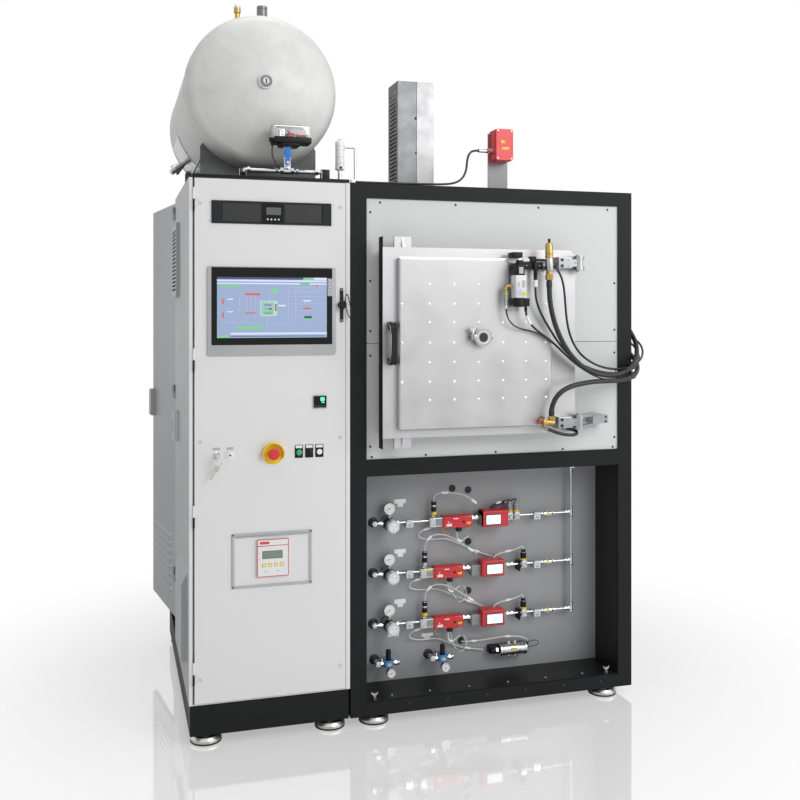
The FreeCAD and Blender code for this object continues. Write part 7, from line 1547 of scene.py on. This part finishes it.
# Pressure switch: a black moulded base that sags round its pipe, with its mechanism under a clear
# moulded cover, a small red pointer, and a cable that goes from its left end down to the pipe.
clear_cover = worked("clear_moulded_polycarbonate", "#FFFFFF", 0.05, grain=60, depth=0.001,
    drift=0.0, scatter=0.02, Transmission_Weight=1.0, IOR=1.58)
outer_cover = rounded((313, 467, 6.0, 84, 2296, 2346), 14, 5.0, "Z")
inner_cover = rounded((315.4, 464.6, 8.4, 81.6, 2296, 2343.6), 12, 4.0, "Z")
switch_parts = [
    (np.concatenate([outer_cover[1:][::-1], inner_cover[1:]]), clear_cover),
    (rounded((320, 468, 5.0, 85, 2279, 2303), 12, 5.0, "Z"), signal_black),
    (rounded((343, 424, 10, 80, 2266.6, 2284), 14, 6.0, "Z"), signal_black),
    (rounded((326, 366, 18, 70, 2303, 2334), 6.0, 2.0, "Z"), brushed_alloy),
    (rounded((372, 402, 24, 66, 2303, 2318), 4.0, 2.0, "Z"), signal_black),
    (rounded((412, 450, 22, 66, 2303, 2320), 4.0, 2.0, "Z"), sleeve_white),
    (rounded((376, 400, 9.0, 15, 2304, 2312), 2.0, 1.0), signal_red),
    (rounded((404, 446, 10, 18, 2306, 2312), 2.0, 1.0), signal_red),
    (swept([(372, 12, 2328), (378, 11, 2320), (384, 10, 2312)], (2.4, 3.0, 3.4), sides=12),
        signal_red),
    (turned([(0, 0), (12, 0), (12, 10), (10, 12), (10, 20), (7, 24), (0, 24)], (330, 36, 2292),
        (-1, 0, 0), 28), black_moulding),
    (turned(stepped(7, 14, 5, 15), (318, 36, 2284), (0, 0, -1), 20), black_moulding),
    (turned(stepped(9, 22, 6, 24), (346, 22, 2304), to_top, 28), pipe_steel),
    (nut((376, 45, 2262), to_top, 26, 12), pipe_steel)]
for x in (324, 456):
    for y in (16, 74):
        switch_parts.append((turned([(0, 0), (3.4, 0), (3.4, 38), (0, 38.6)], (x, y, 2303), to_top,
            16), sleeve_white))
piece("pressure_switch", "machine", switch_parts, replaces=("tank_controller",))
wire("switch_cable", [(318, 36, 2270), (318, 35, 2262), (317, 34, 2250), (317, 32, 2236),
    (320, 30, 2220), (327, 29, 2206), (337, 30, 2194), (346, 34, 2186)], 6.0, cable_jacket,
    "cable_black")

# Lever valve below it: a blue dipped lever on a chromed ball valve, with compression fittings on both
# sides of the cross pipe and black moulded end blocks.
lever_blue = worked("blue_vinyl_dip", "#1879D2", 0.32, grain=1.0, depth=0.03)
dress(lever_blue, "tank_valve_handle")
valve_parts = [
    (rounded((362.6, 389.4, 31.6, 58.4, 2191.6, 2216.4), 4.0, 2.0, "Z"), pipe_steel),
    (nut((376, 45, 2187), to_top, 27, 10), pipe_steel),
    (nut((376, 45, 2222), to_top, 27, 10), pipe_steel)]
for x, flats, length in ((356, 24, 14), (396, 24, 14), (416, 20, 10), (492, 22, 14), (228, 22, 12),
        (336, 20, 10)):
    valve_parts.append((nut((x, 45, 2174), to_right, flats, length), pipe_steel))
for box in ((509.6, 544.4, 28.6, 61.4, 2134, 2185.4), (199.6, 228.4, 104.6, 135.4, 2134, 2186.4)):
    valve_parts.append((rounded(box, 4.0, 2.0, "Z"), signal_black))
piece("stem_pipe_fittings", "machine", valve_parts)
piece("lever_cap", "tank_valve", [
    (nut((376, 17, 2204), to_back, 13, 5.0), screw_steel),
    (rounded((363.4, 388.6, 21.6, 28.6, 2232, 2266), 6.0, 2.5), lever_blue)])

# Bubbler: a milky glass cylinder between turned caps, with its bent vent pipe.
milk_glass = worked("milky_borosilicate", "#E7EAEC", 0.10, grain=60, depth=0.001, drift=0.03,
    scatter=0.02)
bubbler_foot = (590, 60, 2188)
bubbler_parts = [
    (turned([(0, 14), (17.4, 14), (17.8, 16), (17.8, 98), (17.4, 99), (0, 99)], bubbler_foot,
        to_top, 40), milk_glass),
    (turned([(0, 96), (18.6, 96), (18.6, 106), (17, 112), (12, 117.4), (0, 117.4)], bubbler_foot,
        to_top, 40), sleeve_white),
    (turned([(0, -2), (10, -2), (18.6, 3), (18.6, 15), (0, 15)], bubbler_foot, to_top, 40),
        sleeve_white),
    (turned([(0, 0), (5, 0), (5, 3), (0, 4)], (590, 41.6, 2196), to_front, 20), signal_black),
    (nut((590, 60, 2308), to_top, 14, 8.0), pipe_steel),
    (nut((612, 60, 2281), to_right, 15, 10), pipe_steel),
    (nut((652, 60, 2142), to_top, 17, 10), pipe_steel)]
for z in (2214, 2240, 2266):
    bubbler_parts.append((hoop((590, 60, z), 17.6, 0.7, to_top, sides=8), case_grey))
piece("bubbler_trim", "machine", bubbler_parts)

# Exhaust torch: a folded cover of brushed stainless sheet with slots in its left side. The front's right
# half is a separate lighter sheet that overlaps at a seam and is held there by two screws.
torch_sheet = clouded("satin_stainless_sheet_painted_side_shade", "#9B9B9C", "#8C8C8D", 300, 0.42)
two_tone(torch_sheet, "#717273", "X", 1014.6)
# Left of X 928.6, on the left side face, the sheet is painted much darker: painted shade.
two_tone(torch_sheet, "#4E4F50", "X", 928.6)
dress(torch_sheet, "exhaust_torch")
torch_parts = [
    (turned([(0, 0), (7.0, 0), (6.4, 2.0), (4.0, 3.2), (0, 3.4)], (1012, 399.9, 2481), to_front,
        24), blackened_screw),
    (turned([(0, 0), (5.0, 0), (4.4, 1.6), (2.8, 2.4), (0, 2.6)], (1012, 399.9, 2329), to_front,
        20), blackened_screw)]
edge_line = [(929, 402, 2641), (929, 546, 2641), (1091, 546, 2641), (1091, 402, 2641)]
for start, end in zip(edge_line, edge_line[1:] + edge_line[:1]):
    torch_parts.append((swept([start, end], 1.8, sides=12), milled_steel))
piece("torch_trim", "machine", torch_parts)

# Alarm box: glossy red housing with a raised lid, four corner screws, two blank yellow fields, a steel
# gland and a bent steel conduit end. It hangs on a bare galvanised bracket.
alarm_coat = two_tone(worked("glossy_red_alarm_coat", "#DE1F28", 0.28, grain=1.6, drift=0.04),
    "#8F9092", "Y", 97, "GREATER_THAN")
dress(alarm_coat, "alarm_box")
alarm_parts = [
    (rounded((1258, 1276, 18.6, 20.3, 2322, 2334), 1.0, 0.3), foil_yellow),
    (rounded((1262, 1294, 18.6, 20.3, 2296, 2306), 1.0, 0.3), foil_yellow),
    (turned([(0, 0), (10.5, 0), (10.5, 6), (9.4, 7), (9.4, 16), (7.6, 18), (7.6, 26), (0, 26)],
        (1239, 70, 2294.9), (-1, 0, 0), 32), brushed_alloy),
    (nut((1226, 70, 2294.9), to_right, 22, 8.0), milled_steel),
    (swept([(1216, 70, 2294.9), (1200, 70, 2294.9), (1186, 70, 2294.9), (1178, 70, 2294.9)],
        (7.4, 7.4, 7.6, 6.6), sides=24), brushed_alloy)]
for x in (1246, 1306):
    for z in (2260, 2374):
        alarm_parts.append((cap_screw(x, 20.2, z, radius=3.4, height=1.6), screw_steel))
piece("alarm_box_trim", "machine", alarm_parts)

# Inside the cabinets and the furnace
# Galvanised mounting plate with its devices, varnished transformer, enamelled pump, and a hot zone of
# rigid graphite felt boards with graphite strips and a graphite hearth.
plate_coat = two_tone(worked("galvanised_mounting_plate", "#B5B7B8", 0.38, grain=2.0, metallic=0.5,
    drift=0.06, blotch=25), "#4A4D50", "Y", 691)
dress(plate_coat, "mounting_plate")
core_varnish = worked("varnished_transformer_core", "#4B4038", 0.40, grain=2.0,
    stretch=(1.0, 0.1, 1.0), depth=0.05, drift=0.10, blotch=80)
dress(core_varnish, "transformer")
pump_enamel = worked("blue_grey_pump_enamel", "#5C6C7A", 0.42, grain=2.0, depth=0.08)
dress(pump_enamel, "vacuum_pump")
graphite_felt = worked("rigid_graphite_felt", "#2A2A2B", 0.85, grain=1.2, depth=0.25, drift=0.15,
    blotch=30)
dress(graphite_felt, "chamber_insulation", "door_insulation")
machined_graphite = worked("machined_graphite", "#3A3B3D", 0.45, grain=0.6, metallic=0.3,
    drift=0.08)
dress(machined_graphite, "heating_elements", "hearth")
